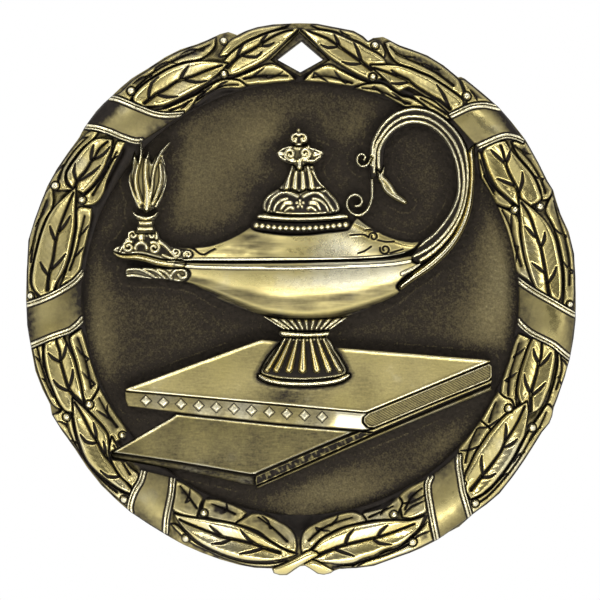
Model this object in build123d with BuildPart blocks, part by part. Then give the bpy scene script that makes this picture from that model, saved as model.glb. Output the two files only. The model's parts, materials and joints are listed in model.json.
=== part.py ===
"""Round award medal, cast in relief: a laurel wreath with six ribbon bands around a
recessed field, and on the field an oil lamp standing on two stacked books.

Frame: the medal hangs upright. Its flat back lies in the XZ plane and the face looks
towards -Y. The origin is where the axis of the hanging opening meets the flat back, and
the rest of the medal hangs below it, along -Z. Lengths are in millimetres.
"""
from build123d import *
import os

os.makedirs("parts", exist_ok=True)

# ---------------------------------------------------------------- driving dimensions
OPENING_HEIGHT = 22.4     # centre of the hanging opening above the medal's centre
PLATE_THICKNESS = 1.8     # flat back to the recessed field
BACK_EDGE_HEIGHT = 0.3    # height of the relieved edge around the back
FIELD_RADIUS = 20.0       # the recessed field inside the wreath
WREATH_BED_RISE = 0.6     # ring that carries the wreath, above the field
SIDE_LEAF_RISE = 0.55     # small leaves beside the main row, above the bed
MAIN_LEAF_RISE = 1.1      # main row of leaves, above the bed
BAND_RISE = 1.15          # ribbon bands, above the bed
CORD_RISE = 0.2           # corded edges of the bands, above their panels
CORD_WIDTH = 0.34
BERRY_RISE = 0.95
STEM_RISE = 1.15
EYE_RISE = 0.5            # raised frame around the hanging opening
VEIN_WIDTH = 0.22         # veins cut in the leaves
VEIN_DEPTH = 0.25
DRAFT = 15                # degrees, the casting's draft on raised pieces
FLAME_RISE = 1.3          # from here on, heights above the field
SPOUT_RISE = 1.5
BOWL_RISE = 2.2
COVER_RISE = 1.8
LID_RISE = 1.6
HANDLE_RISE = 1.5
RIDGE_RISE = 0.2
RIDGE_WIDTH = 0.34
PEDESTAL_RISE = 1.7
UPPER_BOOK_RISE = 1.2
LOWER_BOOK_RISE = 0.8

# The flat back, facing the viewer, with the medal's centre at its middle.
BACK = Plane(origin=(0, 0, -OPENING_HEIGHT), x_dir=(1, 0, 0), z_dir=(0, -1, 0))
FIELD = PLATE_THICKNESS                  # height of the field above the back
BED = PLATE_THICKNESS + WREATH_BED_RISE  # height of the wreath's bed above the back

# ---------------------------------------------------------------- outlines, (x, z) points from the medal's centre
SILHOUETTE = [
    (-0.88, 25.39), (0.97, 25.39), (1.52, 25.36), (4.88, 24.69), (5.76, 24.19), (6.22, 23.73),
    (6.68, 24.01), (7.6, 24.12), (8.25, 23.83), (9.16, 23.34), (10.36, 22.92), (11.7, 22.42),
    (13.18, 21.51), (14.52, 20.4), (14.79, 20.43), (15.16, 20.28), (16.77, 18.97), (18.3, 17.65),
    (19.49, 16.27), (20.78, 14.61), (21.98, 12.49), (22.81, 10.83), (23.32, 10), (23.59, 9.08),
    (24.01, 7.81), (24.79, 6.13), (25.28, 4.14), (25.39, 2.03), (25.39, -1.98), (25.21, -3.64),
    (24.86, -5.57), (24.43, -7.19), (23.94, -8.6), (23.38, -10.07), (23.27, -10.83), (23, -11.53),
    (22.3, -12.37), (20.62, -15.05), (19.63, -16.45), (18.39, -18.02), (17.19, -19.03), (15.86, -19.95),
    (14.66, -21.09), (13.68, -21.58), (12.67, -22.29), (11.13, -23.06), (10.09, -23.5), (8.89, -23.92),
    (6.79, -24.7), (5.17, -24.91), (3.55, -24.95), (3.09, -25.12), (2.76, -25.36), (2.14, -25.51),
    (1.57, -25.39), (1, -24.98), (0.42, -24.61), (-0.05, -24.65), (-1.24, -25.53), (-1.89, -25.56),
    (-2.48, -25.36), (-2.65, -24.88), (-4.19, -24.84), (-5.67, -24.56), (-7.42, -24.06), (-9.17, -23.41),
    (-10.83, -22.67), (-12.4, -21.8), (-14.06, -20.78), (-15.71, -19.68), (-17.19, -18.39), (-18.39, -17.24),
    (-19.68, -15.62), (-20.82, -13.87), (-21.98, -12.26), (-22.93, -10.74), (-23.07, -9.82), (-23.82, -8.34),
    (-24.47, -6.68), (-24.88, -4.56), (-25.23, -2.44), (-25.32, -0.14), (-25.26, 3.36), (-25.15, 5.39),
    (-24.56, 7.33), (-23.92, 9.08), (-23.36, 10.41), (-22.54, 11.94), (-21.52, 13.41), (-20.42, 14.88),
    (-19.95, 15.76), (-18.85, 17.33), (-18.2, 18.02), (-17.42, 18.71), (-16.54, 19.54), (-15.62, 20.32),
    (-14.24, 21.15), (-12.49, 22.3), (-11.11, 23), (-9.63, 23.46), (-8.62, 23.86), (-7.42, 24.41),
    (-6.68, 24.6), (-5.85, 24.29), (-5.02, 24.69), (-4.01, 25.04), (-2.54, 25.3),
]

HANGING_OPENING = [
    (-2.19, 22.06), (0.09, 23.8), (2.13, 22.06), (-0.03, 20.86),
]

HANGER_EYE = [
    (-2.86, 21.94), (-0.08, 24.61), (2.76, 21.94), (-0.03, 20.41),
]

BAND_UPPER_LEFT = [
    (-14.76, 14.22), (-14.73, 14.52), (-14.67, 14.53), (-14.65, 14.44), (-11.12, 16.75), (-11.08, 16.76),
    (-10.74, 16.98), (-10.76, 17.22), (-11.88, 17.11), (-12.21, 17.1), (-12.8, 17.13), (-13.36, 17.24),
    (-13.94, 17.43), (-14.81, 17.77), (-16.48, 18.49), (-17, 18.66), (-17.34, 18.73), (-18.02, 18.12),
    (-19.5, 16.36), (-19.97, 15.64), (-19.98, 15.6), (-19.16, 15.51), (-18.89, 15.46), (-18.32, 15.3),
    (-17.73, 15.1), (-16.53, 14.59), (-15.57, 14.28), (-15.1, 14.2),
]

BAND_UPPER_LEFT_CORD_1 = [
    (-10.74, 17), (-12.21, 16.88), (-13.41, 17.03), (-14.61, 17.47), (-15.71, 17.93), (-16.82, 18.39),
    (-17.65, 18.57),
]

BAND_UPPER_LEFT_CORD_2 = [
    (-14.65, 14.44), (-15.25, 14.42), (-16.45, 14.79), (-17.65, 15.3), (-18.85, 15.67), (-19.95, 15.81),
]

BAND_UPPER_RIGHT = [
    (17.2, 14.06), (18.22, 14.5), (18.77, 14.67), (18.92, 14.69), (19.24, 14.69), (19.79, 14.57),
    (20.52, 14.28), (20.68, 14.66), (20.36, 14.81), (18.7, 17.12), (18.27, 17.62), (17.98, 17.87),
    (17.3, 18.01), (16.96, 18.05), (16.3, 18.02), (15.89, 17.95), (15.33, 17.79), (15.11, 17.7),
    (13.59, 16.96), (13.78, 16.58), (13.84, 16.61), (16, 14.24), (16.09, 14.3), (16.15, 14.27),
    (16.12, 14.1), (16.31, 13.89), (16.4, 13.7),
]

BAND_UPPER_RIGHT_CORD_1 = [
    (13.69, 16.77), (14.52, 17.19), (15.4, 17.59), (16.11, 17.78), (16.96, 17.83), (17.56, 17.74),
    (18.39, 17.56),
]

BAND_UPPER_RIGHT_CORD_2 = [
    (16.31, 13.89), (17.37, 14.37), (18.37, 14.77), (19.07, 14.91), (19.85, 14.77), (20.6, 14.47),
]

BAND_MIDDLE_LEFT = [
    (-23.06, -3.88), (-21.15, -3.19), (-20.9, -3.04), (-20.7, -2.89), (-20.21, -2.45), (-19.97, -2.18),
    (-20.07, -1.05), (-20.09, 0), (-20.07, 1.05), (-19.93, 2.56), (-20.12, 2.72), (-20.72, 1.98),
    (-20.93, 1.77), (-21.39, 1.42), (-22.17, 0.95), (-23, 0.51), (-23.8, 0.17), (-25.27, -0.32),
    (-25.21, -1.8), (-25.15, -2.64), (-24.82, -4.62),
]

BAND_MIDDLE_LEFT_CORD_1 = [
    (-19.95, 2.58), (-20.78, 1.61), (-21.8, 0.92), (-22.9, 0.32), (-24.01, -0.14), (-25.3, -0.55),
]

BAND_MIDDLE_LEFT_CORD_2 = [
    (-20, -1.89), (-20.51, -2.44), (-21.24, -3), (-22.72, -3.51), (-24.38, -4.19), (-25.02, -4.47),
]

BAND_MIDDLE_RIGHT = [
    (24.8, -5.62), (24.89, -5.17), (25.35, -1.46), (25.35, -1.24), (24.29, -0.68), (21.76, 0.79),
    (20.9, 1.35), (20.07, 2.01), (20, 1.92), (20.08, 0.53), (20.08, -0.53), (20.03, -1.58),
    (19.95, -2.4), (20.27, -2.75), (20.67, -3.1), (21.15, -3.45), (22.91, -4.33), (23.12, -4.46),
    (24.71, -5.74),
]

BAND_MIDDLE_RIGHT_CORD_1 = [
    (19.94, 1.84), (20.77, 1.18), (21.97, 0.41), (23.36, -0.37), (24.43, -1), (25.35, -1.47),
]

BAND_MIDDLE_RIGHT_CORD_2 = [
    (19.97, -2.09), (20.41, -2.6), (21.26, -3.27), (22.32, -3.8), (23.24, -4.29), (24.1, -5),
    (24.84, -5.58),
]

BAND_LOWER_LEFT = [
    (-12.13, -20.69), (-12.04, -20), (-11.63, -17.95), (-11.49, -16.53), (-11.7, -16.51), (-14.66, -15.75),
    (-14.93, -16.7), (-15.35, -17.36), (-15.55, -17.78), (-15.73, -18.23), (-15.93, -18.94), (-15.97, -19.15),
    (-15.97, -19.4), (-15.69, -19.65), (-14.85, -20.21), (-12.6, -21.58), (-12.6, -21.62), (-12.48, -21.7),
    (-12.18, -21.72),
]

BAND_LOWER_LEFT_CORD_1 = [
    (-14.45, -15.81), (-14.74, -16.78), (-15.16, -17.47), (-15.53, -18.29), (-15.76, -19.18), (-15.71, -19.68),
]

BAND_LOWER_LEFT_CORD_2 = [
    (-11.71, -16.51), (-11.84, -17.93), (-12.03, -18.9), (-12.3, -20.32), (-12.4, -21.71),
]

BAND_LOWER_RIGHT = [
    (12.39, -22.38), (12.65, -22.25), (13.65, -21.54), (15.62, -20.12), (15.84, -19.92), (15.21, -17.84),
    (15.09, -17.27), (14.8, -15.36), (14.8, -14.32), (14.38, -14.31), (14.38, -14.48), (11.94, -16.41),
    (11.74, -16.32), (11.5, -16.84), (11.45, -17.06), (11.43, -17.29), (11.44, -17.52), (11.53, -18.32),
    (11.91, -20.5), (12.33, -22.4),
]

BAND_LOWER_RIGHT_CORD_1 = [
    (14.59, -14.31), (14.59, -15.37), (14.73, -16.29), (14.94, -17.63), (15.23, -18.62), (15.67, -20.09),
]

BAND_LOWER_RIGHT_CORD_2 = [
    (11.94, -16.41), (11.66, -17.1), (11.7, -17.98), (11.91, -19.31), (12.12, -20.45), (12.53, -22.35),
]

BERRIES_LEFT = [  # one outline per berry
    [(-10.34, -22.35), (-10.24, -22.23), (-10.2, -22.07), (-10.24, -21.92), (-10.34, -21.8), (-10.48, -21.73), (-10.63, -21.73), (-10.77, -21.8), (-10.87, -21.92), (-10.9, -22.07), (-10.87, -22.23), (-10.77, -22.35), (-10.63, -22.42), (-10.48, -22.42)],
    [(-8.68, -20.02), (-8.58, -19.9), (-8.54, -19.75), (-8.58, -19.6), (-8.68, -19.48), (-8.82, -19.41), (-8.97, -19.41), (-9.11, -19.48), (-9.21, -19.6), (-9.24, -19.75), (-9.21, -19.9), (-9.11, -20.02), (-8.97, -20.09), (-8.82, -20.09)],
    [(-16, -18.75), (-15.91, -18.63), (-15.87, -18.48), (-15.91, -18.33), (-16, -18.2), (-16.14, -18.14), (-16.3, -18.14), (-16.44, -18.2), (-16.54, -18.33), (-16.57, -18.48), (-16.54, -18.63), (-16.44, -18.75), (-16.3, -18.82), (-16.14, -18.82)],
    [(-16.19, -12.83), (-16.1, -12.72), (-16.07, -12.58), (-16.1, -12.44), (-16.19, -12.34), (-16.32, -12.28), (-16.46, -12.28), (-16.58, -12.34), (-16.67, -12.44), (-16.7, -12.58), (-16.67, -12.72), (-16.58, -12.83), (-16.46, -12.89), (-16.32, -12.89)],
    [(-21.28, -11.17), (-21.19, -11.05), (-21.15, -10.89), (-21.19, -10.74), (-21.28, -10.62), (-21.42, -10.55), (-21.58, -10.55), (-21.72, -10.62), (-21.82, -10.74), (-21.85, -10.89), (-21.82, -11.05), (-21.72, -11.17), (-21.58, -11.24), (-21.42, -11.24)],
    [(-19.2, -10.05), (-19.1, -9.92), (-19.06, -9.76), (-19.1, -9.6), (-19.2, -9.47), (-19.35, -9.4), (-19.51, -9.4), (-19.66, -9.47), (-19.76, -9.6), (-19.8, -9.76), (-19.76, -9.92), (-19.66, -10.05), (-19.51, -10.12), (-19.35, -10.12)],
    [(-24.64, -0.02), (-24.56, 0.09), (-24.52, 0.23), (-24.56, 0.37), (-24.64, 0.48), (-24.77, 0.54), (-24.91, 0.54), (-25.03, 0.48), (-25.12, 0.37), (-25.15, 0.23), (-25.12, 0.09), (-25.03, -0.02), (-24.91, -0.08), (-24.77, -0.08)],
    [(-19.87, 8.79), (-19.77, 8.92), (-19.73, 9.08), (-19.77, 9.24), (-19.87, 9.37), (-20.02, 9.44), (-20.18, 9.44), (-20.33, 9.37), (-20.43, 9.24), (-20.47, 9.08), (-20.43, 8.92), (-20.33, 8.79), (-20.18, 8.72), (-20.02, 8.72)],
    [(-22.34, 10.08), (-22.24, 10.21), (-22.2, 10.37), (-22.24, 10.53), (-22.34, 10.66), (-22.49, 10.73), (-22.65, 10.73), (-22.8, 10.66), (-22.9, 10.53), (-22.94, 10.37), (-22.9, 10.21), (-22.8, 10.08), (-22.65, 10.01), (-22.49, 10.01)],
    [(-15.36, 18.81), (-15.25, 18.94), (-15.22, 19.1), (-15.25, 19.26), (-15.36, 19.39), (-15.5, 19.46), (-15.67, 19.46), (-15.82, 19.39), (-15.92, 19.26), (-15.95, 19.1), (-15.92, 18.94), (-15.82, 18.81), (-15.67, 18.74), (-15.5, 18.74)],
    [(-6.82, 20.36), (-6.73, 20.48), (-6.69, 20.64), (-6.73, 20.79), (-6.82, 20.91), (-6.96, 20.98), (-7.12, 20.98), (-7.26, 20.91), (-7.36, 20.79), (-7.39, 20.64), (-7.36, 20.48), (-7.26, 20.36), (-7.12, 20.29), (-6.96, 20.29)],
    [(-6.87, 23.45), (-6.78, 23.56), (-6.75, 23.7), (-6.78, 23.85), (-6.87, 23.96), (-7, 24.03), (-7.15, 24.03), (-7.28, 23.96), (-7.38, 23.85), (-7.41, 23.7), (-7.38, 23.56), (-7.28, 23.45), (-7.15, 23.38), (-7, 23.38)],
]

BERRIES_LEFT_TOPS = [  # x, z, radius of the crown of each berry
    (-10.55, -22.07, 0.25),
    (-8.89, -19.75, 0.25),
    (-16.22, -18.48, 0.25),
    (-16.39, -12.58, 0.22),
    (-21.5, -10.89, 0.25),
    (-19.43, -9.76, 0.26),
    (-24.84, 0.23, 0.22),
    (-20.1, 9.08, 0.26),
    (-22.57, 10.37, 0.26),
    (-15.59, 19.1, 0.26),
    (-7.04, 20.64, 0.25),
    (-7.08, 23.71, 0.23),
]

BERRIES_RIGHT = [  # one outline per berry
    [(10.54, -22.71), (10.65, -22.58), (10.68, -22.42), (10.65, -22.26), (10.54, -22.14), (10.4, -22.06), (10.23, -22.06), (10.08, -22.14), (9.98, -22.26), (9.94, -22.42), (9.98, -22.58), (10.08, -22.71), (10.23, -22.78), (10.4, -22.78)],
    [(8.81, -20.16), (8.9, -20.04), (8.94, -19.89), (8.9, -19.74), (8.81, -19.62), (8.67, -19.55), (8.51, -19.55), (8.37, -19.62), (8.27, -19.74), (8.24, -19.89), (8.27, -20.04), (8.37, -20.16), (8.51, -20.23), (8.67, -20.23)],
    [(16.29, -19.1), (16.39, -18.98), (16.42, -18.83), (16.39, -18.68), (16.29, -18.56), (16.15, -18.49), (16, -18.49), (15.86, -18.56), (15.76, -18.68), (15.72, -18.83), (15.76, -18.98), (15.86, -19.1), (16, -19.17), (16.15, -19.17)],
    [(15.16, -17.1), (15.18, -17), (15.16, -16.89), (15.1, -16.82), (15.06, -16.84), (15.1, -17.11), (15.14, -17.12)],
    [(21.55, -12.17), (21.65, -12.04), (21.69, -11.88), (21.65, -11.72), (21.55, -11.59), (21.4, -11.52), (21.24, -11.52), (21.09, -11.59), (20.99, -11.72), (20.95, -11.88), (20.99, -12.04), (21.09, -12.17), (21.24, -12.24), (21.4, -12.24)],
    [(19.38, -10.41), (19.48, -10.28), (19.52, -10.12), (19.48, -9.96), (19.38, -9.83), (19.23, -9.76), (19.07, -9.76), (18.92, -9.83), (18.82, -9.96), (18.78, -10.12), (18.82, -10.28), (18.92, -10.41), (19.07, -10.48), (19.23, -10.48)],
    [(24.98, -0.78), (25.06, -0.68), (25.09, -0.55), (25.06, -0.42), (24.98, -0.32), (24.86, -0.26), (24.73, -0.26), (24.61, -0.32), (24.53, -0.42), (24.5, -0.55), (24.53, -0.68), (24.61, -0.78), (24.73, -0.84), (24.86, -0.84)],
    [(19.93, 7.87), (20.04, 8), (20.07, 8.16), (20.04, 8.32), (19.93, 8.44), (19.79, 8.52), (19.62, 8.52), (19.48, 8.44), (19.37, 8.32), (19.34, 8.16), (19.37, 8), (19.48, 7.87), (19.62, 7.8), (19.79, 7.8)],
    [(22.25, 8.14), (22.35, 8.27), (22.39, 8.43), (22.35, 8.59), (22.25, 8.72), (22.1, 8.79), (21.94, 8.79), (21.79, 8.72), (21.69, 8.59), (21.65, 8.43), (21.69, 8.27), (21.79, 8.14), (21.94, 8.07), (22.1, 8.07)],
    [(15.52, 18.32), (15.62, 18.45), (15.66, 18.61), (15.62, 18.77), (15.52, 18.9), (15.37, 18.97), (15.21, 18.97), (15.06, 18.9), (14.96, 18.77), (14.92, 18.61), (14.96, 18.45), (15.06, 18.32), (15.21, 18.25), (15.37, 18.25)],
    [(6.87, 20.11), (6.97, 20.24), (7, 20.39), (6.97, 20.54), (6.87, 20.66), (6.73, 20.73), (6.58, 20.73), (6.44, 20.66), (6.34, 20.54), (6.3, 20.39), (6.34, 20.24), (6.44, 20.11), (6.58, 20.05), (6.73, 20.05)],
    [(7.06, 23.02), (7.16, 23.14), (7.19, 23.28), (7.16, 23.42), (7.06, 23.54), (6.93, 23.6), (6.78, 23.6), (6.65, 23.54), (6.56, 23.42), (6.52, 23.28), (6.56, 23.14), (6.65, 23.02), (6.78, 22.96), (6.93, 22.96)],
]

BERRIES_RIGHT_TOPS = [  # x, z, radius of the crown of each berry
    (10.31, -22.42, 0.26),
    (8.59, -19.89, 0.25),
    (16.07, -18.83, 0.25),
    (21.32, -11.88, 0.26),
    (19.15, -10.12, 0.26),
    (24.79, -0.55, 0.21),
    (19.71, 8.16, 0.26),
    (22.02, 8.43, 0.26),
    (15.29, 18.61, 0.26),
    (6.65, 20.39, 0.25),
    (6.86, 23.28, 0.23),
]

STEM_LEFT = [
    (-1.24, -25.44), (-0.51, -24.88), (0.42, -24.33), (1.57, -23.68), (1.7, -23.5), (1.42, -23.27),
    (0.97, -23.13), (0.56, -23.26), (-0.78, -24.01), (-1.7, -24.47), (-2.54, -24.84), (-2.56, -25.07),
    (-2.48, -25.3), (-2.38, -25.37), (-2.12, -25.46), (-1.89, -25.48), (-1.58, -25.5),
]

STEM_RIGHT = [
    (2.47, -25.4), (2.85, -25.27), (3.09, -25.07), (2.78, -24.85), (1.61, -24.19), (1.24, -24.05),
    (1.04, -24.03), (0.28, -24.45), (0.4, -24.59), (1.01, -24.96), (1.57, -25.35), (1.93, -25.45),
    (2.14, -25.46),
]

LEAF_LEFT_1 = [
    (-3.09, -24.19), (-2.54, -24.15), (-1.99, -24.06), (-1.46, -23.94), (-0.72, -23.72), (-0.29, -23.53),
    (-0.29, -23.49), (-0.97, -23.31), (-1.34, -23.18), (-1.7, -23.01), (-2.44, -22.58), (-3.82, -21.7),
    (-4.74, -21.25), (-5.7, -20.88), (-6.68, -20.6), (-7.18, -20.52), (-8.06, -20.42), (-8.71, -20.28),
    (-10.51, -20.05), (-11.66, -19.78), (-11.68, -19.81), (-11.4, -20.31), (-11.2, -20.6), (-10.54, -21.34),
    (-9.86, -22.02), (-9.53, -22.3), (-9.12, -22.58), (-8.58, -22.88), (-7.95, -23.19), (-7.33, -23.46),
    (-6.73, -23.68), (-5.58, -24.01), (-5.1, -24.11), (-4.66, -24.16), (-3.66, -24.2),
]

LEAF_LEFT_1_VEINS = [  # the midrib first
    [(-11.11, -20.32), (-10.37, -20.69), (-7.88, -21.67), (-7.14, -21.94), (-4.38, -22.53), (-3.46, -22.9), (-1.94, -23.36)],
    [(-8.34, -20.88), (-7.24, -21.89)],
    [(-5.53, -21.24), (-4.75, -22.17), (-3.92, -22.72)],
    [(-8.16, -22.53), (-7.24, -22.49), (-6.41, -22.13)],
    [(-5.58, -23.46), (-4.47, -23.27), (-3.36, -22.93)],
]

LEAF_LEFT_2 = [
    (-15.53, -17.66), (-15.53, -17.53), (-15.62, -17.28), (-15.88, -17.02), (-16.22, -16.74), (-16.54, -16.45),
    (-16.8, -16.13), (-17.03, -15.79), (-17.24, -15.44), (-17.41, -15.07), (-17.56, -14.68), (-17.65, -14.33),
    (-17.66, -14.04), (-17.6, -13.5), (-17.62, -13.16), (-17.66, -12.81), (-17.74, -12.49), (-17.86, -12.25),
    (-18.42, -11.59), (-19.26, -10.69), (-19.95, -10), (-20.93, -9.12), (-20.96, -9.13), (-20.88, -10.83),
    (-20.74, -11.76), (-20.64, -12.21), (-20.45, -12.94), (-19.98, -14.25), (-19.77, -14.7), (-19.53, -15.08),
    (-19.26, -15.42), (-18.94, -15.76), (-18.54, -16.13), (-17.26, -17.1), (-16.9, -17.34), (-16.54, -17.56),
    (-16.2, -17.73), (-15.66, -17.96),
]

LEAF_LEFT_2_VEINS = [  # the midrib first
    [(-20.78, -9.54), (-20.6, -9.82), (-19.95, -10.92), (-19.22, -12.4), (-18.76, -13.04), (-18.11, -14.24), (-16.96, -15.62), (-15.62, -17.28)],
    [(-20.23, -12.49), (-19.77, -13.13), (-19.12, -13.32)],
    [(-18.39, -15.81), (-17.74, -16.36), (-16.91, -16.41)],
    [(-19.03, -11.38), (-18.85, -12.12), (-18.76, -12.95)],
    [(-18.11, -13.13), (-17.97, -13.78), (-17.93, -14.52)],
]

LEAF_LEFT_3 = [
    (-20.94, -10.48), (-21, -9.12), (-20.98, -9.1), (-20.9, -9.09), (-19.92, -9.98), (-19.89, -9.96),
    (-20.23, -7.88), (-20.78, -5.67), (-20.92, -5.32), (-21.54, -4.04), (-21.86, -3.48), (-22.63, -3.74),
    (-23.48, -4.09), (-23.55, -4.29), (-23.6, -4.7), (-23.59, -5.17), (-23.55, -5.67), (-23.46, -6.22),
    (-23.18, -7.33), (-23.03, -7.77), (-22.42, -9.22), (-22.26, -9.54), (-21.85, -10.15), (-21.61, -10.37),
    (-21.35, -10.47), (-21.07, -10.49),
]

LEAF_LEFT_3_VEINS = [  # the midrib first
    [(-22.47, -3.46), (-22.4, -4.1), (-22.11, -4.93), (-22.07, -5.67), (-21.8, -6.77), (-21.43, -7.97), (-20.97, -8.8), (-19.95, -9.72)],
    [(-23.18, -5.02), (-22.81, -5.44), (-22.26, -5.76)],
    [(-22.72, -7.47), (-22.26, -8.06), (-21.52, -8.43)],
    [(-20.92, -6.5), (-20.97, -7.24), (-21.24, -8.06)],
    [(-21.52, -4.19), (-21.66, -4.93), (-21.94, -5.58)],
]

LEAF_LEFT_4 = [
    (-23.28, 0.42), (-22.68, 0.72), (-22.4, 1.43), (-21.96, 2.14), (-21.75, 2.54), (-21.58, 2.96),
    (-21.29, 3.87), (-21.06, 4.82), (-20.8, 6.18), (-20.74, 6.68), (-20.64, 10.23), (-20.67, 10.24),
    (-21.44, 9.59), (-22.38, 8.72), (-22.63, 8.43), (-22.86, 8.12), (-23.27, 7.42), (-23.47, 6.99),
    (-23.82, 6.04), (-24.11, 5.05), (-24.47, 3.64), (-24.65, 2.7), (-24.72, 2.22), (-24.75, 1.8),
    (-24.73, 1.45), (-24.68, 1.15), (-24.56, 0.88), (-24.36, 0.6), (-23.87, 0.18),
]

LEAF_LEFT_4_VEINS = [  # the midrib first
    [(-20.88, 9.72), (-21.2, 8.99), (-21.98, 7.05), (-22.41, 5.67), (-22.58, 4.84), (-22.76, 3.55), (-23.13, 2.17), (-23.27, 0.78)],
    [(-23.04, 6.68), (-22.86, 6.04), (-22.55, 5.3)],
    [(-23.92, 3.36), (-23.69, 2.81), (-23.24, 2.17)],
    [(-21.15, 7.6), (-21.57, 6.87), (-22.26, 6.04)],
    [(-21.57, 4.1), (-22.17, 3.36), (-22.95, 2.63)],
]

LEAF_LEFT_5 = [
    (-19.52, 9.99), (-19.31, 10.18), (-18.91, 10.66), (-18.5, 11.21), (-18.11, 11.84), (-17.94, 12.21),
    (-17.45, 13.43), (-17.37, 13.69), (-17.33, 13.99), (-17.28, 14.65), (-18.33, 14.75), (-18.8, 14.7),
    (-19.2, 14.49), (-19.55, 14.19), (-20.14, 13.57), (-21.06, 12.31), (-21.38, 11.8), (-21.47, 11.6),
    (-21.52, 11.38), (-21.51, 11.14), (-21.44, 10.88), (-21.34, 10.64), (-21.19, 10.43), (-21, 10.23),
    (-20.87, 10.12), (-20.68, 10.28), (-20.61, 10.25), (-20.61, 9.94), (-19.95, 9.63),
]

LEAF_LEFT_5_VEINS = [  # the midrib first
    [(-17.74, 14.42), (-18.48, 13.78), (-18.89, 13.04), (-19.31, 12.49), (-19.86, 11.57), (-20.46, 10.92), (-20.74, 10.18)],
    [(-19.03, 14.1), (-19.17, 13.5), (-19.26, 12.76)],
    [(-20.69, 12.4), (-20.83, 11.66), (-20.6, 10.83)],
    [(-17.51, 13.96), (-18.11, 13.23), (-19.03, 12.76)],
    [(-18.39, 12.21), (-19.12, 11.57), (-20.28, 10.83)],
]

LEAF_LEFT_6 = [
    (-13.15, 17.66), (-12.82, 17.68), (-12.49, 17.74), (-12.15, 17.86), (-10.49, 18.68), (-9.06, 19.48),
    (-8.62, 19.77), (-7.78, 20.45), (-7.13, 21.07), (-6.66, 21.58), (-6.67, 21.62), (-7.72, 21.76),
    (-8.96, 21.86), (-9.31, 21.84), (-10.25, 21.72), (-10.74, 21.61), (-11.21, 21.47), (-12.12, 21.11),
    (-12.51, 20.9), (-13.92, 20.04), (-14.24, 19.82), (-14.55, 19.56), (-14.83, 19.3), (-15.07, 19.03),
    (-15.26, 18.78), (-15.41, 18.53), (-15.44, 18.3), (-15.3, 18.07), (-15.17, 17.97), (-14.4, 17.65),
]

LEAF_LEFT_6_VEINS = [  # the midrib first
    [(-7.24, 21.43), (-7.88, 21.24), (-8.99, 20.83), (-10, 20.41), (-11.38, 19.95), (-12.3, 19.31), (-13.23, 18.8), (-14.33, 17.97)],
    [(-13.04, 20.37), (-13.69, 19.77), (-13.96, 18.76)],
    [(-10.28, 21.38), (-10.74, 20.78), (-11.11, 20.05)],
    [(-11.29, 18.57), (-12.21, 18.48), (-13.23, 18.76)],
    [(-8.62, 20), (-9.63, 19.86), (-10.74, 20.14)],
]

LEAF_LEFT_7 = [
    (-6.2, 20.52), (-5.94, 20.58), (-5.37, 20.78), (-4.46, 21.2), (-3.92, 21.48), (-3.18, 21.94),
    (-2.18, 22.81), (-1.73, 23.24), (-0.14, 24.87), (-0.15, 24.9), (-1.05, 24.88), (-1.24, 24.86),
    (-2.17, 24.65), (-2.84, 24.45), (-3.49, 24.21), (-4.72, 23.66), (-5.34, 23.32), (-5.94, 22.9),
    (-6.45, 22.49), (-6.93, 21.99), (-7.13, 21.75), (-7.12, 21.71), (-6.66, 21.65), (-6.63, 21.59),
    (-7.1, 21.05), (-7.09, 21.01), (-6.95, 21.01), (-6.81, 20.94), (-6.7, 20.81), (-6.66, 20.64),
    (-6.67, 20.57), (-6.45, 20.51),
]

LEAF_LEFT_7_VEINS = [  # the midrib first
    [(-0.78, 24.7), (-1.34, 24.61), (-2.35, 24.19), (-3.27, 23.64), (-4.1, 23.09), (-4.93, 22.63), (-5.76, 22.17), (-6.73, 21.24)],
    [(-5.07, 23.69), (-5.48, 23.09), (-5.85, 22.17)],
    [(-3.09, 24.24), (-3.46, 23.82), (-3.69, 23.27)],
    [(-2.44, 23.5), (-3, 23.23), (-3.64, 23.23)],
    [(-3.55, 22.67), (-4.1, 22.17), (-5.3, 22.3)],
]

LEAF_RIGHT_1 = [
    (4.03, -24.46), (4.48, -24.42), (4.88, -24.34), (5.22, -24.22), (5.81, -23.92), (6.79, -23.64),
    (7.7, -23.13), (8.89, -22.77), (9.14, -22.66), (9.74, -22.24), (10.67, -21.36), (10.92, -21.06),
    (11.12, -20.71), (11.45, -20), (11.42, -19.97), (10.54, -20.3), (10.09, -20.42), (9.68, -20.44),
    (8.89, -20.38), (7.7, -20.4), (7.11, -20.46), (5.24, -20.78), (4.46, -20.95), (3.73, -21.2),
    (3.35, -21.37), (2.2, -21.96), (1.85, -22.21), (1.56, -22.52), (1.1, -23.14), (1.44, -23.24),
    (1.74, -23.5), (1.58, -23.72), (1.15, -23.96), (1.16, -24.01), (1.25, -24.02), (1.62, -24.16),
    (1.85, -24.28), (3.02, -24.43), (3.55, -24.47),
]

LEAF_RIGHT_1_VEINS = [  # the midrib first
    [(10.46, -20.74), (10.09, -20.88), (8.55, -21.47), (7.14, -21.94), (6.08, -22.17), (4.1, -22.65), (3.26, -22.93), (1.5, -23.64)],
    [(4.88, -21.2), (4.38, -21.8), (4.1, -22.63)],
    [(7.99, -20.83), (7.42, -21.34), (7.07, -21.94)],
    [(3.09, -23.03), (3.97, -23.36), (4.93, -23.67)],
    [(6.65, -22.07), (7.22, -22.51), (8.34, -22.6)],
]

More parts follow.
